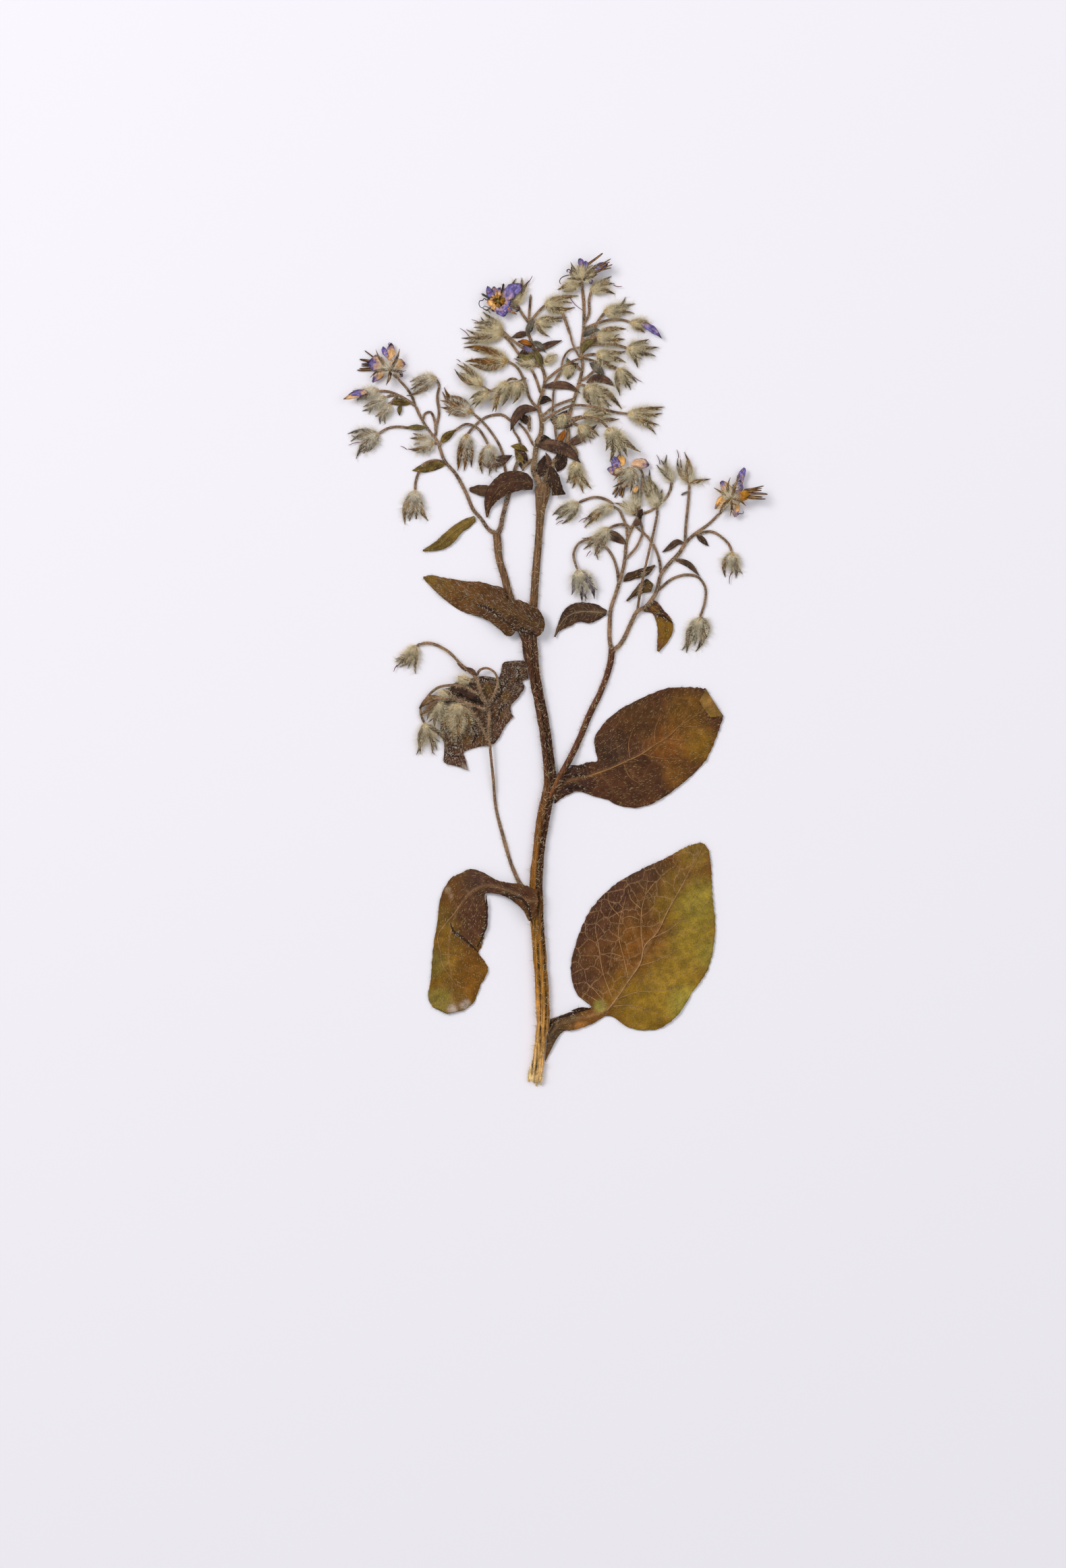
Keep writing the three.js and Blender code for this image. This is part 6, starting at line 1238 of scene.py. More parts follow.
def calyx_into(stalks, sepals, stalk, cup, lift, tips, seed, tones=None, width=SEPAL_WIDTH):
    """Adds one flower stalk and its calyx. The cup swells from the stalk's end toward the mean of
    the sepals' tips; each sepal is a lance from the cup to its tip, bowed sideways and hooked at
    its end, and narrower ones fill the spaces between neighbours that lie close."""
    chance = np.random.default_rng(seed)
    wool = 0.55 if tones == GOLDEN else 1.0
    tones = tones or SEPAL_TONES[seed % len(SEPAL_TONES)]
    cup, tips = np.array(cup, float), np.array(tips, float)
    heart = tips.mean(0) - cup
    star = np.linalg.norm(heart) < CALYX_LENGTH  # seen from its end
    forward = heart / np.linalg.norm(heart) * (0.5 if star else 1)

    def along(distance, size, height):
        """A row of a path at the given distance from the cup towards the sepals' tips."""
        return [*(cup + forward * distance), size, height]

    first, second = np.array(stalk[0]), np.array([*stalk, [*cup, lift]][1])
    back = first + 0.5 * (first - second) / np.linalg.norm(first[:2] - second[:2]) * [1, 1, 0]
    path = [[x, y, PEDICEL, z] for x, y, z in (back, *stalk)] + [along(0.3, PEDICEL, lift + 0.1)]
    stalk_into(stalks, path, 10, ARM_TONES, seed)
    bowl = smooth([along(-0.2, 0.7, lift + 0.1), along(0.9, min(1.9, width), lift),
                   along(CALYX_LENGTH * 1.2, 0.9, lift)], 14)
    cord_into(sepals, bowl, 12, mix(ink(tones[0]) * 0.8, ink(CUP_GOLD), 0.5), fur=2.0 * wool,
              rib=0.1, ribs=5, rough=0.12, seed=seed)
    order = np.argsort(np.arctan2(*(tips - cup).T))
    slim = 0.5 if star else 0.86
    ends = [(tip, width * slim, lift + 0.3 * (k % 3)) for k, tip in enumerate(tips)]
    for one, other in zip(order, order[1:]):
        first, second = tips[one] - cup, tips[other] - cup
        turn = np.arccos(np.clip(first @ second / np.linalg.norm(first)
                                 / np.linalg.norm(second), -1, 1))
        if turn < ANOTHER_SEPAL and not star:
            ends.append((cup + (first + second) * chance.uniform(0.36, 0.48), width * 0.66,
                         lift + 0.05))
    for tip, size, rise in ends:
        start = cup + forward * 0.3
        t = np.linspace(0, 1, 15)[:, None]
        way = tip - start
        aside = np.array([-way[1], way[0]])
        bend = chance.uniform(-0.14, 0.14) * np.sin(np.pi * t) + chance.normal() * 0.05 * t**5
        plan = start + way * t + bend * aside
        low = max(lift - 0.1, 0)
        height = (lift + 0.35) * (1 - t) ** 2 + rise * 2 * t * (1 - t) + low * t**2
        height = height + 0.25 * np.sin(np.pi * t)
        lance_into(sepals, np.concatenate([plan, height], 1), size, tones,
                   int(seed * 7 + size * 10), keel=0.4, thick=0.24, broadest=0.3, columns=5,
                   wool=wool)


# Parts that lie among the sprays and aren't in their solids: dark crumpled bracts and stalks
# that run on below others. Bracts end with one of the tones.
DARK, RUSTY, OLIVE = ("4a3226", "281c16"), ("a8641f", "7a441c"), ("7c6c3c", "4a4028")
GREY, LILAC, BROWN_BRACT = ("7c7262", "464036"), ("7a7290", "54445e"), ("70503c", "48332a")
EXTRA_BRACTS = {"cymes_apex": [
    ([[-2.2, 175.6, 1.2, 0.3], [-3.4, 177.2, 1.8, 0.4], [-5, 177.6, 0.5, 0.3]], DARK),
    ([[0.8, 181, 1, 0.4], [2.4, 182.3, 1.6, 0.5], [4.2, 182, 0.5, 0.3]], DARK),
    ([[-14.6, 164.9, 1, 0.5], [-10.4, 165.6, 2.6, 0.6], [-6.4, 167.4, 0.5, 0.4]], BROWN_BRACT),
    ([[5.2, 174.4, 1.2, 0.2], [6.6, 176.6, 3, 0.3], [8.2, 179.4, 0.6, 0.3]], DARK),
    ([[3.6, 177.8, 1, 0.2], [6.4, 175.8, 2.2, 0.6], [9.6, 175.2, 0.5, 0.4]], DARK),
    ([[7.4, 189.2, 1, 0.2], [9.2, 190.8, 2.2, 0.3], [11.2, 191.8, 0.5, 0.4]], DARK),
    ([[8.4, 187.6, 1, 0.2], [9, 190.4, 2, 0.3], [8.2, 193.4, 0.5, 0.3]], OLIVE),
    ([[-0.4, 171, 1, 0.2], [1.8, 171.8, 1.8, 0.3], [3.8, 171.8, 0.5, 0.3]], DARK),
    ([[0.2, 161.6, 1, 0.2], [1.8, 164.2, 3, 0.3], [2.2, 167.4, 0.5, 0.3]], DARK),
    ([[5.6, 163, 1.4, 0.2], [6.6, 166, 2.8, 0.3], [6.2, 169.4, 0.6, 0.3]], DARK),
    ([[-5.4, 169.4, 1, 0.2], [-3.8, 166.4, 2.6, 0.2], [-3.6, 163.2, 0.5, 0.2]], DARK),
    ([[6, 170.6, 1, 0.5], [6.8, 172.4, 1.5, 0.8], [7.6, 174.2, 0.5, 0.6]], RUSTY),
    ([[-4.9, 197.6, 0.8, 0.6], [-3, 197.5, 1.2, 1], [-1.1, 196.6, 0.4, 0.8]], RUSTY),
    ([[-2.6, 199.4, 1, 0.7], [-1.7, 201.6, 1.6, 0.9], [-0.9, 203.8, 0.5, 0.8]], GREY),
    ([[-1.4, 196.6, 1, 0.3], [-3.2, 194.6, 1.8, 0.5], [-5.3, 193.2, 0.5, 0.4]], DARK),
    ([[-0.6, 194.2, 1, 0.6], [-2.6, 193.4, 1.4, 0.8], [-4.7, 194.4, 0.5, 0.6]], OLIVE),
    ([[0.3, 192.4, 1, 0.3], [-1.6, 191.5, 1.5, 0.4], [-3.8, 191.4, 0.5, 0.3]], GREY),
    ([[1.5, 191, 1, 0.7], [0.6, 193.4, 1.6, 0.9], [-0.9, 195.8, 0.5, 0.8]], OLIVE),
    ([[-1.2, 197.6, 1, 0.3], [0.6, 196.9, 1.3, 0.5], [2.4, 194.8, 0.5, 0.3]], GREY),
    ([[-3.4, 196.6, 0.8, 0.5], [-2.4, 195.6, 1.3, 0.6], [-0.8, 195.4, 0.5, 0.6]], LILAC),
    ([[12.2, 194.8, 1, 0.8], [13.4, 196.8, 1.7, 1.1], [15.6, 198.2, 0.5, 0.9]], OLIVE),
    ([[12.4, 199, 1, 0.3], [14.4, 200.6, 1.6, 0.5], [17, 200.8, 0.5, 0.5]], GREY),
    ([[14.2, 192, 1, 0.4], [16.4, 190.4, 1.8, 0.5], [18.2, 188.2, 0.5, 0.3]], GREY),
    ([[-36.2, 180.9, 0.8, 0.3], [-36.5, 179.6, 1, 0.4], [-36.5, 178, 0.4, 0.2]], OLIVE),
    ([[-29.4, 174.7, 0.8, 0.6], [-31.8, 174.8, 1.2, 0.8], [-34.8, 174.8, 0.4, 0.6]], OLIVE),
], "cymes_right": [
    ([[40.6, 157.6, 0.3, 0.3], [39.6, 157.3, 0.35, 0.2], [38.7, 156.8, 0.2, 0.1]], GREY),
    ([[28.2, 153, 0.6, 0.5], [27.6, 151.6, 1.2, 0.7], [27.9, 150, 0.4, 0.5]], DARK),
    ([[26.2, 148.6, 0.6, 0.9], [27, 149.4, 1.3, 1], [27.9, 150.4, 0.5, 0.9]], BROWN_BRACT),
], "cyme_lower_left": [
    ([[-14.2, 101, 1, 2], [-16, 102.6, 1.8, 2.1], [-18.4, 103.5, 1.3, 2],
      [-20.4, 104.2, 0.4, 1.9]], DARK),
    ([[-16, 104.2, 1, 1.6], [-20, 104.6, 1.7, 1.7], [-24.2, 105.1, 0.5, 1.4]], DARK),
    ([[-15.9, 108.6, 1, 1.9], [-17.2, 109.8, 1.1, 2], [-18.9, 110.8, 0.4, 1.8]], BROWN_BRACT),
    ([[-18.8, 109.8, 0.4, 1.3], [-20.1, 111, 0.5, 1.3], [-21.1, 111.9, 0.3, 1.2]], BROWN_BRACT),
]}
EXTRA_STALKS = [
    [[4.6, 184, 0.75, 0.4], [5, 187, 0.7, 0.2], [6.8, 189.9, 0.6, 0.3]],
    [[-4.1, 163.6, 0.9, 0.3], [-2.6, 165, 0.9, 0.3], [-0.8, 166.6, 0.9, 0.4]],
    [[-1.8, 173.6, 0.9, 0.3], [-2, 175.8, 0.9, 0.3], [-1.8, 178.2, 0.8, 0.3]],
    [[9.1, 199.2, 0.7, 0.4], [8.2, 202, 0.7, 0.5], [7.2, 204.6, 0.7, 0.5], [6.4, 207.4, 0.7, 0.5]],
    [[16.4, 191, 0.8, 0.3], [18.4, 193, 0.8, 0.3], [20.4, 195, 0.7, 0.3]],
]


SPRAYS = {"cyme_lower_left": CYME_LOWER_LEFT, "cymes_upper_left": CYMES_UPPER_LEFT,
          "cymes_apex": CYMES_APEX, "cymes_right": CYMES_RIGHT}


def spray_forms(name, spray, number):
    """The stalks, the bracts and the sepals of one spray as three forms."""
    stalks, bracts, sepals = Form(), Form(), Form()
    for k, arm in enumerate(spray["arms"]):
        arm = [[x, y, width * ARM_SHARE, *lift] for x, y, width, *lift in arm]
        stalk_into(stalks, arm, 14, ARM_TONES, 100 * number + k)
    for k, bract in enumerate(spray["bracts"]):
        bract_into(bracts, bract, 100 * number + k, BRACT_TONES[name])
    for k, (stalk, cup, lift, tips, *width) in enumerate(spray["calyces"]):
        tones = CALYX_TONES.get(tuple(cup))
        calyx_into(stalks, sepals, stalk, cup, lift, tips, 100 * number + k, tones, *width)
    if name == "cymes_apex":
        for k, stalk in enumerate(EXTRA_STALKS):
            stalk_into(stalks, stalk, 10, ARM_TONES, 60 + k)
    for k, (bract, tones) in enumerate(EXTRA_BRACTS.get(name, [])):
        bract_into(bracts, bract, 60 + k, tones)
    return {"stalks": stalks, "bracts": bracts, "sepals": sepals}


# ---------------------------------------------------------------- flowers
VIOLET, DUSK, PLUM = "7e74b6", "524070", "38283f"
TAN, ORANGE, BROWN = "d4b096", "edb264", "b07c40"
PETAL_THICK = 0.2
EYE = (-10.2, 208.4)  # middle of the flower that faces the viewer
SCALE_TONES = (("a8741c", "5a3412"), ("c4923c", "8a5a1c"), ("5a3414", "2e1c10"))
KNOB_TONE = "6e6436"
ANTHER_TONES = ("42261a", "c89c5c")  # of the anther, and of the line down its upper side
STYLE_TONE, STYLE_WIDTH = "6a2f34", 0.26
CURLS = [  # shrivelled threads of petals and sepals: points x, y, lift, width and colour
    [[[-12.5, 208.9], [-13.3, 208.7], [-13.9, 209.1], [-14.4, 208.5], [-15, 208.5],
      [-15.3, 207.7], [-14.9, 206.8], [-14.3, 206.6], [-13.9, 207], [-13.1, 206.8],
      [-12.4, 206.6]], 2.3, 0.3, "3a3048"],
    [[[-14.4, 206.5], [-13.6, 206.1], [-12.8, 205.8], [-12.2, 205]], 1.9, 0.3, "34322c"],
    [[[-7.8, 206.8], [-7.1, 205.8], [-6.4, 205.5], [-5.4, 205.5]], 2.3, 0.6, "b5763a"],
    [[[-5.6, 205.6], [-4.9, 205.8], [-4.4, 206.7]], 2.3, 0.5, "2c2434"],
    [[[-8.7, 213.1], [-9, 211.9], [-9.5, 210.3]], 2.6, 0.6, "2c2628"],
    [[[-14.6, 210.3], [-13.4, 209.6], [-12.3, 208.7]], 2.4, 0.7, "3c3a38"],
    [[[8.3, 215.9], [8.2, 216.6], [8.7, 216.8], [9.2, 216.3], [9.4, 215.6]], 2.6, 0.35, "2c2434"],
    [[[9.5, 217.7], [9.3, 217.1], [9.5, 216.5], [9.8, 215.9]], 2.6, 0.35, "34283c"],
    [[[10.2, 215.6], [8.4, 215.3], [7.1, 214.9], [6.4, 214.3], [6.2, 213.5], [6.6, 212.8]],
     1.6, 0.36, "4a4442"],
    [[[53, 151.2], [53.6, 151.4], [54.1, 151.8], [54.8, 151.7], [55.2, 152], [55, 152.6]],
     1.6, 0.32, "43325c"],
    [[[-39, 196.5], [-39.4, 197], [-39.1, 197.3], [-38.8, 197.2]], 1.6, 0.3, "4a4250"],
    [[[-36.6, 189], [-35.8, 188.8], [-35.6, 189.2]], 1.8, 0.5, "2c2224"],
]
STYLES = [  # threads that stand out of the calyces: x, y from root to tip, and the lift
    [[-34.4, 168.8], [-36.35, 169.9], 0.5], [[-46, 170.9], [-50.2, 170], 0.6],
    [[-20.2, 192.2], [-21.4, 193], 0.8], [[-17.8, 198.9], [-20.5, 201.3], 0.9],
    [[-14.6, 202.2], [-17.4, 203.6], 0.8], [[-2.8, 212.9], [-1, 215.3], 0.8],
    [[8.6, 209.8], [12.6, 205.8], 1], [[25.9, 188.4], [28.3, 186.9], 0.9],
    [[14.3, 172.8], [14.5, 170.4], 0.6], [[20.4, 212.7], [23, 212.4], 0.8],
    [[33, 164.8], [32, 167.6], 0.5], [[37.9, 166.5], [37.4, 169], 0.5],
    [[7.3, 150.1], [5.1, 148.8], 0.5], [[13.6, 150.8], [11.2, 149.5], 0.7],
    [[14.6, 142], [13.3, 140.2], 0.7], [[13.4, 131.4], [13.2, 128.2], 1.4],
    [[51.9, 136], [51.5, 132.9], 0.6], [[-37, 111.6], [-38.1, 109.5], 0.7],
    [[-28.1, 89.8], [-27.1, 87.4], 0.7],
]


def petal_into(form, petal, lift, seed, crinkle, broadest=0.58, sharpness=0.6):
    """Adds a crinkled petal, broadest past its middle. Its surface is pleated lengthwise, as
    cos(pi k v) growing to the tip, ripples in two sizes, and rolls up at one side. Violet spreads
    from its tip and rim over the gold or tan of its root, and the rim itself dried dark."""
    *root, tip_x, tip_y, width, violet, gold = petal
    chance = np.random.default_rng(seed)
    root, tip = np.array(root, float), np.array([tip_x, tip_y], float)
    t, v = np.linspace(0, 1, 26)[:, None], np.linspace(-1, 1, 17)[None]
    way = tip - root
    reach = np.linalg.norm(way)
    left = np.array([-way[1], way[0]]) / reach
    half = width / 2 * (0.2 * (1 - t) + pointed(t, broadest, sharpness))
    rag = 1 + 0.1 * ripple(stacked(t * 3, np.sign(v) * 3), 1, seed)
    bow = chance.uniform(-0.12, 0.12) * np.sin(np.pi * t)
    plan = root + way * (t + 0.07 * ripple((v * 1.5)[..., None], 1, seed + 1) * t)[..., None]
    plan = plan + left * (v * half * rag + bow * reach)[..., None]
    flat = np.concatenate([plan, np.broadcast_to(t * 0, plan.shape[:2])[..., None]], -1)
    pleats = 0.25 * np.abs(np.cos(np.pi * chance.uniform(0.9, 1.6) * v + seed)) * t**0.5
    roll = chance.uniform(0.2, 0.5) * (0.5 + 0.5 * v * chance.choice([-1, 1])) ** 3
    height = 0.35 * ripple(flat, 2.2, seed + 2) + 0.08 * ripple(flat, 0.8, seed + 3)
    flat[..., 2] = lift + 0.35 + crinkle * (height + pleats) + roll
    tones = mix(ink(TAN), ink(ORANGE), gold * np.ones_like(t * v))
    tones = mix(tones, ink(BROWN), 0.05 + 0.45 * ripple(flat, 1.3, seed + 5))
    far = t if violet > 0 else 1 - t
    spread = 2.6 * (far - 1 + abs(violet)) + 0.5 * ripple(flat[..., :2], 1.7, seed + 4)
    dusk = mix(ink(VIOLET), ink(DUSK), 0.45 + 0.6 * ripple(flat, 1.1, seed + 6))
    dusk = mix(dusk, ink(TAN), 0.5 * ripple(flat, 0.8, seed + 7) - 0.1)
    tones = mix(tones, dusk, spread + 0.1)
    rim = np.maximum(np.abs(v) ** 7, ((t - 0.8) / 0.2).clip(0) ** 2)
    tones = mix(tones, ink(PLUM), rim * (0.9 + 0.5 * ripple(flat, 2.0, seed + 8)))
    tones = tones * (1.0 + 0.1 * np.cos(np.pi * 4 * v + seed))[..., None]
    way3 = np.broadcast_to(np.append(way / reach, 0), (len(t), 3))
    form.wrap(sheet(flat, PETAL_THICK), both_sides(tones), way3)


def eye_into(form, x, y, lift, seed):
    """Adds the golden-brown throat of a flower that is seen from the front: short crumpled scales
    of uneven reach around a small olive knob, some gold and some nearly black."""
    chance = np.random.default_rng(seed)
    for k, angle in enumerate(np.linspace(0, 2 * np.pi, 13, endpoint=False)):
        angle = angle + chance.normal() * 0.15
        reach = chance.uniform(0.9, 2.1)
        tip = (x + reach * np.cos(angle), y + reach * np.sin(angle))
        line = smooth([[x, y, lift + 0.2], [(x + tip[0]) / 2, (y + tip[1]) / 2, lift + 0.5],
                       [*tip, lift + chance.uniform(0, 0.5)]], 9)
        lance_into(form, line, chance.uniform(0.7, 1.3), SCALE_TONES[k % 3], seed + k, keel=0.3,
                   thick=0.2, broadest=0.55, rag=0.35)
    knob = smooth([[x - 0.5, y - 0.2, 0.8, lift + 0.4], [x, y, 1.0, lift + 0.5],
                   [x + 0.4, y + 0.3, 0.7, lift + 0.4]], 12)
    cord_into(form, knob, 12, ink(KNOB_TONE), rough=0.3, seed=seed)


def anther_into(form, anther, lift, seed):
    """Adds one dark, blunt anther with a tan line down its upper side."""
    *root, tip_x, tip_y, width = anther
    t = np.linspace(0, 1, 22)[:, None]
    root, way = np.array(root, float), np.subtract([tip_x, tip_y], root)
    size = width * (1 - 0.25 * t) * np.sqrt(np.maximum(1 - t**8, 0.03))
    bow = 0.02 * np.sin(np.pi * t + seed) * np.array([-way[1], way[0]])
    path = np.concatenate([root + way * t + bow, size, lift + 0.1 * t], 1)
    rings, ways = tube(path, 12, rib=0.12, ribs=3, rough=0.06, seed=seed)
    line = 0.8 * bump(around(12), np.pi * 0.55, 0.32) * (t < 0.9)
    line = line * (0.75 + 0.5 * ripple(rings, 1.5, seed))
    form.wrap(rings, mix(ink(ANTHER_TONES[0]), ink(ANTHER_TONES[1]), line), ways)


def thread_into(form, points, lift, tone, width, seed):
    """Adds a thin thread, such as a style or the curl of a dried petal, that thins to its end."""
    line = evenly([[x, y, width, lift] for x, y in points], 0.3, 6)
    line[:, 2] *= np.linspace(1, 0.55, len(line))
    cord_into(form, line, 7, ink(tone), rough=0.12, seed=seed)


# ---------------------------------------------------------------- sizes that a user would change
def length(name, description, default):
    """A length property: its default is given in mm and kept in metres."""
    return bpy.props.FloatProperty(name=name, description=description, default=default * MM,
                                   min=0, subtype="DISTANCE", unit="LENGTH")


def number(name, description, default):
    """A plain number that can't be negative."""
    return bpy.props.FloatProperty(name=name, description=description, default=default, min=0)


def colour(name, description, default):
    """A colour property whose default is a screen colour."""
    return bpy.props.FloatVectorProperty(name=name, description=description, size=3, min=0, max=1,
                                         default=tuple(ink(default)), subtype="COLOR")


class BorageStem(bpy.types.PropertyGroup):
    rib: number("Rib", "Height of the stem's ribs as a share of its radius", 0.06)


class BorageLeaf(bpy.types.PropertyGroup):
    thickness: length("Thickness", "Thickness of a dried leaf blade", 0.3)
    relief: length("Relief", "Height of the midrib above the blade", 0.45)


class BorageFlower(bpy.types.PropertyGroup):
    crinkle: length("Crinkle", "Height of the crinkles in a petal", 0.7)


class BorageHair(bpy.types.PropertyGroup):
    bristle: length("Bristle", "Length of the bristles on the stem and leaves", 1.0)
    wool: length("Wool", "Length of the hairs on the sepals", 1.9)
    width: length("Width", "Width of a hair at its root", 0.12)
    leaf_density: number("Leaf density", "Bristles for each square mm of leaf", 1.6)
    stem_density: number("Stem density", "Bristles for each square mm of stem", 4.5)
    stalk_density: number("Stalk density", "Bristles for each square mm of flower stalk", 11.0)
    wool_density: number("Wool density", "Hairs for each square mm of sepal", 9.0)


class BorageStage(bpy.types.PropertyGroup):
    sheet: colour("Sheet", "Colour of the floor that the plant lies on", "ebe7ed")
    light: number("Light", "Strength of the soft light above the plant", 1.0)


SETTINGS = {"stem": BorageStem, "leaf": BorageLeaf, "flower": BorageFlower, "hair": BorageHair,
            "stage": BorageStage}


def settings(group):
    """The sizes of one group in the open scene."""
    return getattr(bpy.context.scene, f"borage_{group}")


FORMS = {}  # the forms that hairs grow on, kept as they are made


# ---------------------------------------------------------------- operators
class BORAGE_OT_stem(bpy.types.Operator):
    """Builds the ribbed main stem with its two branches"""

    bl_idname = "borage.stem"
    bl_label = "Stem"

    def execute(self, context):
        FORMS["stem"] = stem_form(settings("stem").rib)
        fit("stem", FORMS["stem"], material_of("dried_rind"), "stem", "main_stem")
        return {"FINISHED"}


class BORAGE_OT_leaves(bpy.types.Operator):
    """Builds the twelve leaves with their veins, stains and folds"""

    bl_idname = "borage.leaves"
    bl_label = "Leaves"

    def execute(self, context):
        thick, relief = settings("leaf").thickness / MM, settings("leaf").relief / MM
        for seed, (name, rows) in enumerate(LEAVES.items()):
            form, look = Form(), LEAF_LOOKS[name]
            FORMS[f"{name}.creases"] = leaf_into(form, rows, look, thick, relief, 10 * seed)
            if name in FOLDS:
                fold_rows, base = FOLDS[name]
                fold_look = {**look, "base": base, "spots": [], "drawn": None, "creases": []}
                leaf_into(form, fold_rows, fold_look, thick, relief * 0.6, 10 * seed + 5)
            FORMS[name] = form
            fit(name.replace("leaf", "blade"), form, material_of("dried_blade"),
                "leaf_olive" if name in OLIVE_LEAVES else "leaf_dark", name)
        return {"FINISHED"}


class BORAGE_OT_sprays(bpy.types.Operator):
    """Builds the four sprays: arms, flower stalks, bracts, calyces and their sepals"""

    bl_idname = "borage.sprays"
    bl_label = "Sprays"

    def execute(self, context):
        for number_of_spray, (name, spray) in enumerate(SPRAYS.items(), 1):
            for kind, form in spray_forms(name, spray, number_of_spray).items():
                FORMS[f"{name}.{kind}"] = form
                finish_name = "dried_sepal" if kind == "sepals" else "dried_stalk"
                nodes = [name] if kind == "stalks" else []
                fit(f"{name}.{kind}", form, material_of(finish_name), "calyx", *nodes)
        return {"FINISHED"}


class BORAGE_OT_flowers(bpy.types.Operator):
    """Builds the crinkled petals, the anthers and the threads of the styles"""

    bl_idname = "borage.flowers"
    bl_label = "Flowers"

    def execute(self, context):
        crinkle = settings("flower").crinkle / MM
        for seed, (name, (lift, *petals)) in enumerate(COROLLAS.items(), 1):
            form = Form()
            for k, petal in enumerate(petals):
                petal_into(form, petal, lift + 0.12 * (k % 3), 20 * seed + k, crinkle)
            if name == "corolla_centre":
                eye_into(form, *EYE, lift + 0.5, 7)
            fit(name.replace("corolla", "petals"), form, material_of("dried_petal"), "petal", name)
        for seed, (name, (lift, *anthers)) in enumerate(ANTHERS.items(), 1):
            form = Form()
            for k, anther in enumerate(anthers):
                anther_into(form, anther, lift + 0.1 + 0.1 * (k % 2), 20 * seed + k)
            if name == "anthers_right":
                for k, (x0, y0, x1, y1) in enumerate(GOLD_SCALES):
                    middle = [(x0 + x1) / 2, (y0 + y1) / 2, lift + 0.75]
                    line = smooth([[x0, y0, lift + 0.4], middle, [x1, y1, lift + 0.3]], 9)
                    lance_into(form, line, 0.95, GOLD_TONES, 70 + k, thick=0.2, broadest=0.5,
                               rag=0.3)
            fit(name.replace("anthers", "stamens"), form, material_of("dried_anther"), "anther", name)
        for seed, (name, (x, y, tip_x, tip_y, lift, *petals)) in enumerate(BUD_PETALS.items(), 1):
            form = Form()
            tip = np.array([tip_x, tip_y])
            inside = (1 + TWIST_SEAT) * np.array([x, y]) - TWIST_SEAT * tip
            for share, side, violet, gold in petals:
                end = inside + share * (tip - inside) + [0, side]
                petal_into(form, [*inside, *end, TWIST_WIDTH, violet, gold], lift + 0.2 * side,
                           300 + seed, crinkle * 0.4, broadest=0.45, sharpness=0.9)
            fit(name.replace("petals", "twist"), form, material_of("dried_petal"), "petal", name)
        form = Form()
        for seed, (start, end, lift) in enumerate(STYLES):
            middle = (np.array(start) + end) / 2 + 0.07 * np.subtract(end, start)[::-1] * [1, -1]
            thread_into(form, [start, middle, end], lift, STYLE_TONE, STYLE_WIDTH, seed)
        for seed, (points, lift, width, tone) in enumerate(CURLS, 50):
            thread_into(form, points, lift, tone, width, seed)
        fit("styles", form, material_of("dried_anther"), "anther")
        return {"FINISHED"}


STEM_HAIRS, STEM_BRISTLES = ("c09c6c", "8a6a42"), ("e4d2b0", "bc9c6c")
LEAF_HAIRS, FURRY_HAIRS = ("c8ac78", "8a6a3c"), ("d6c8ae", "947c62")
CREASE_HAIRS, BRACT_HAIRS = ("e2d8c6", "a89a86"), ("cbb795", "937a5c")
CREASE_DENSITY, BRACT_DENSITY = 3.5, 5.5  # hairs for each square mm


class BORAGE_OT_hairs(bpy.types.Operator):
    """Grows the bristles of the stem, stalks and leaves, and the wool of the sepals"""

    bl_idname = "borage.hairs"
    bl_label = "Hairs"

    def execute(self, context):
        hair = settings("hair")
        width, bristle, wool = (value / MM for value in (hair.width, hair.bristle, hair.wool))
        form = Form()
        hairs(form, FORMS["stem"], hair.stem_density * 0.6, bristle * 0.9, width * 0.8, lean=0.8,
              tones=STEM_HAIRS, seed=1, stray=0.5)
        hairs(form, FORMS["stem"], hair.stem_density * 0.2, bristle * 1.7, width, lean=0.6,
              tones=STEM_BRISTLES, seed=2, stray=0.8, bends=True)
        fit("bristles_stem", form, material_of("bristle"), "stem")
        form = Form()
        for seed, name in enumerate(LEAVES, 2):
            furry = LEAF_LOOKS[name].get("furry", 1)
            hairs(form, FORMS[name], hair.leaf_density * furry, bristle, width * 0.9, lean=1.0,
                  tones=FURRY_HAIRS if furry > 1 else LEAF_HAIRS, seed=seed, stand=0.25,
                  stray=0.25 * furry)
            if LEAF_LOOKS[name].get("creases"):
                hairs(form, FORMS[f"{name}.creases"], CREASE_DENSITY * furry, bristle * 1.1, width,
                      lean=0.6, tones=CREASE_HAIRS, seed=seed + 18, stand=0.6, stray=0.9, bends=True)
        fit("bristles_leaves", form, material_of("bristle"), "leaf_dark")
        for seed, name in enumerate(SPRAYS, 30):
            stalks, bracts, sepals = (FORMS[f"{name}.{kind}"] for kind in ("stalks", "bracts", "sepals"))
            # the second tone of each pair is the hair in painted shade
            creamy, straw = WOOL_TONES[name]
            form = Form()
            hairs(form, stalks, hair.stalk_density, bristle, width * 0.48, lean=0.15, tones=straw,
                  seed=seed, stand=1.0)
            hairs(form, bracts, BRACT_DENSITY, bristle * 0.9, width * 0.6, lean=1.0,
                  tones=BRACT_HAIRS, seed=seed + 5, stand=0.2, stray=0.2)
            fit(f"bristles_{name}", form, material_of("bristle"), "calyx")
            form = Form()
            hairs(form, sepals, hair.wool_density * 0.75, wool * 0.6, width * 0.7, lean=1.0,
                  tones=creamy, seed=seed + 10, stand=0.4, stray=0.15)
            hairs(form, sepals, hair.wool_density * 2.9, wool * 1.1, width * 0.45, lean=0.9,
                  tones=straw, seed=seed + 15, stand=0.6, stray=0.3)
            fit(f"wool_{name}", form, material_of("bristle"), "calyx")
        return {"FINISHED"}


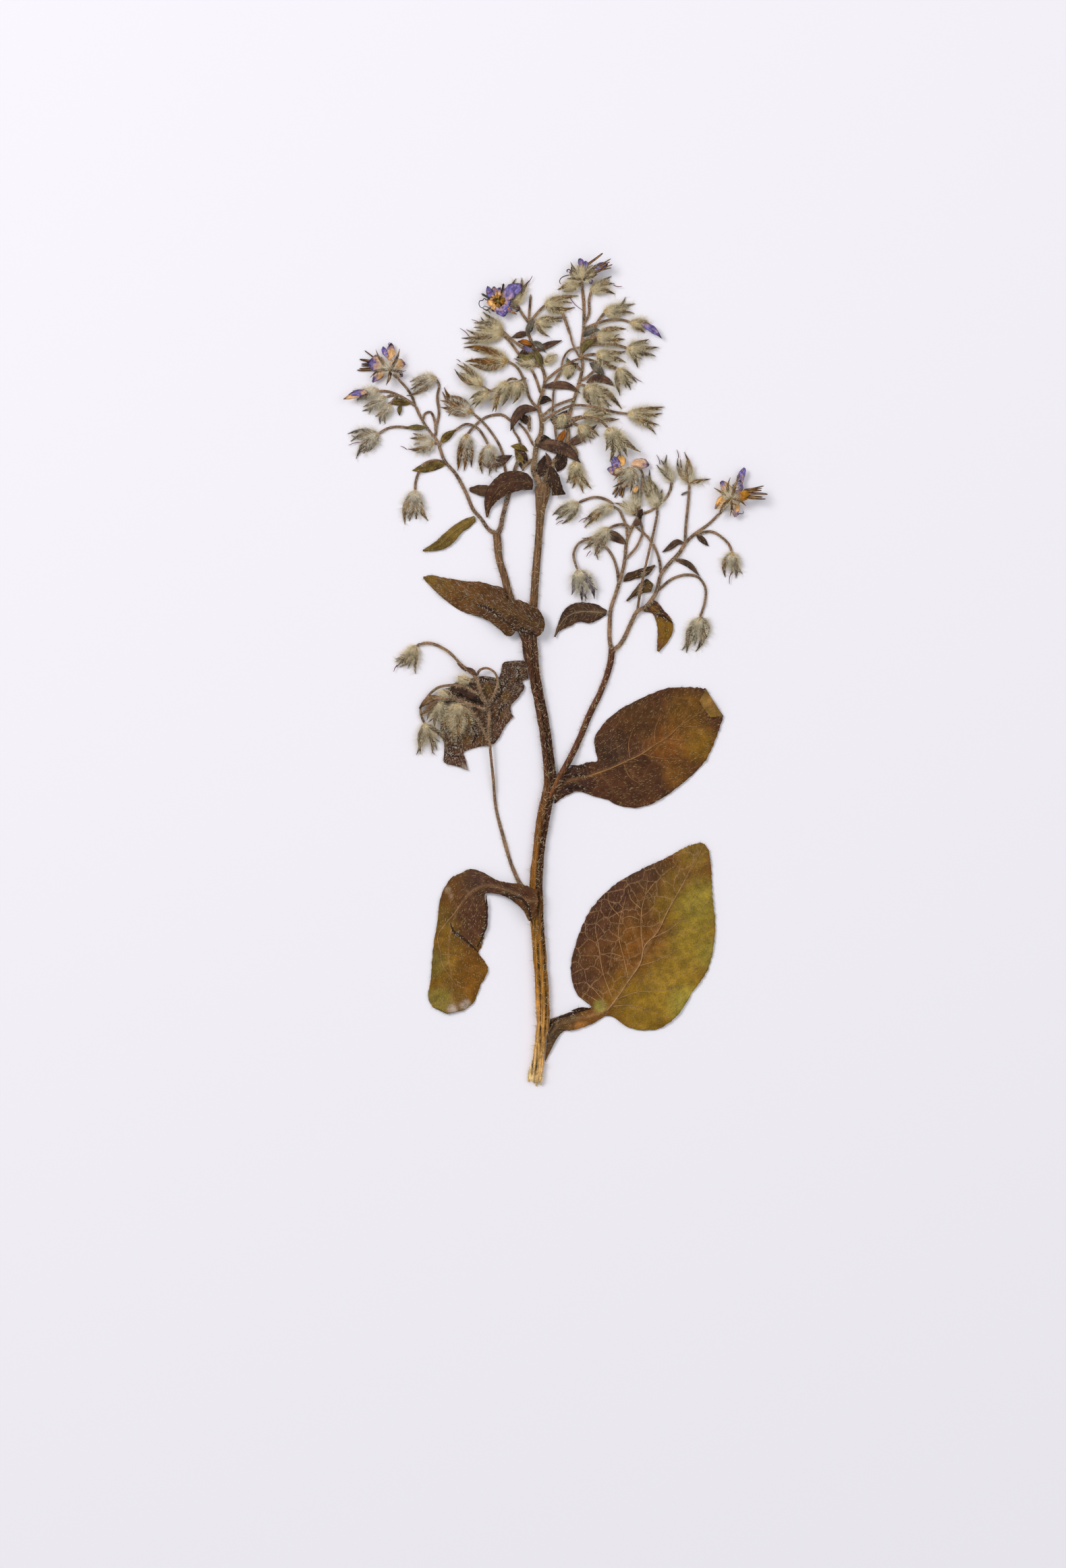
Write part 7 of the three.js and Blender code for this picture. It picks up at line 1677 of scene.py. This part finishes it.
VIEW_CENTRE = np.array([-6.18, -30.4]) * MM  # middle of the view, from the middle of the plant
VIEW_HEIGHT = 418.3 * MM  # what the view shows from its foot to its head
CAMERA_HEIGHT = 2.0
SENSOR = 36.0  # mm across
NEAR, FAR = 0.05, 20
FLOOR_REACH = 3.0
FLOOR_ROUGHNESS, FLOOR_GLOSS = 0.9, 0.1
SKY, SKY_STRENGTH = (0.95, 0.97, 1.0, 1), 0.5
LAMPS = {  # place from the middle of the view, size and power
    "light_left": ((-0.9, 0.7, 1.3), 0.7, 17.0),
    "light_right": ((0.9, 0.4, 1.4), 1.2, 7.0),
}


class BORAGE_OT_stage(bpy.types.Operator):
    """Sets the pale floor, the soft lights and the camera that looks straight down"""

    bl_idname = "borage.stage"
    bl_label = "Stage"

    def execute(self, context):
        scene = context.scene
        stage = settings("stage")
        mesh = bpy.data.meshes.new("floor")
        corners = [(-1, -1), (1, -1), (1, 1), (-1, 1)]
        mesh.from_pydata([(FLOOR_REACH * x, FLOOR_REACH * y, 0) for x, y in corners], [], [(0, 1, 2, 3)])
        floor = bpy.data.objects.new("floor", mesh)
        scene.collection.objects.link(floor)
        paper = bpy.data.materials.new("floor_paper")
        paper.use_nodes = True
        shader = paper.node_tree.nodes["Principled BSDF"]
        shader.inputs["Base Color"].default_value = (*stage.sheet, 1)
        shader.inputs["Roughness"].default_value = FLOOR_ROUGHNESS
        shader.inputs["Specular IOR Level"].default_value = FLOOR_GLOSS
        mesh.materials.append(paper)

        world = bpy.data.worlds.new("soft_room")
        world.use_nodes = True
        sky = world.node_tree.nodes["Background"]
        sky.inputs["Color"].default_value = SKY
        sky.inputs["Strength"].default_value = SKY_STRENGTH * stage.light
        scene.world = world
        middle = Vector((*VIEW_CENTRE, 0))
        for name, (place, size, power) in LAMPS.items():
            light = bpy.data.lights.new(name, "AREA")
            light.size, light.energy = size, power * stage.light
            lamp = bpy.data.objects.new(name, light)
            lamp.location = middle + Vector(place)
            lamp.rotation_euler = Vector(place).to_track_quat("Z", "Y").to_euler()
            scene.collection.objects.link(lamp)

        lens = bpy.data.cameras.new("camera")
        lens.sensor_width = SENSOR
        lens.lens = SENSOR * CAMERA_HEIGHT / VIEW_HEIGHT
        lens.clip_start, lens.clip_end = NEAR, FAR
        camera = bpy.data.objects.new("camera", lens)
        camera.location = middle + Vector((0, 0, CAMERA_HEIGHT))
        scene.collection.objects.link(camera)
        scene.camera = camera
        scene.view_settings.view_transform = "Standard"
        return {"FINISHED"}


OPERATORS = (BORAGE_OT_stem, BORAGE_OT_leaves, BORAGE_OT_sprays, BORAGE_OT_flowers,
             BORAGE_OT_hairs, BORAGE_OT_stage)


class BORAGE_PT_panel(bpy.types.Panel):
    """Lists the steps that build the plant, with the sizes that each one uses"""

    bl_label = "Pressed Borage"
    bl_idname = "BORAGE_PT_panel"
    bl_space_type = "VIEW_3D"
    bl_region_type = "UI"
    bl_category = "Borage"

    def draw(self, context):
        for operator in OPERATORS:
            self.layout.operator(operator.bl_idname)
        for group in SETTINGS:
            box = self.layout.box()
            box.label(text=group.capitalize())
            for key in settings(group).bl_rna.properties.keys():
                if key not in ("rna_type", "name"):
                    box.prop(settings(group), key)


CLASSES = (*SETTINGS.values(), *OPERATORS, BORAGE_PT_panel)


def register():
    """Registers the classes and puts one group of each kind on the scene."""
    for cls in CLASSES:
        bpy.utils.register_class(cls)
    for group, cls in SETTINGS.items():
        setattr(bpy.types.Scene, f"borage_{group}", bpy.props.PointerProperty(type=cls))


def unregister():
    """Takes the groups off the scene and unregisters the classes in reverse."""
    for group in SETTINGS:
        delattr(bpy.types.Scene, f"borage_{group}")
    for cls in reversed(CLASSES):
        bpy.utils.unregister_class(cls)


def main():
    register()
    for name in ("stem", "leaves", "sprays", "flowers", "hairs", "stage"):
        getattr(bpy.ops.borage, name)()


if __name__ == "__main__":
    main()
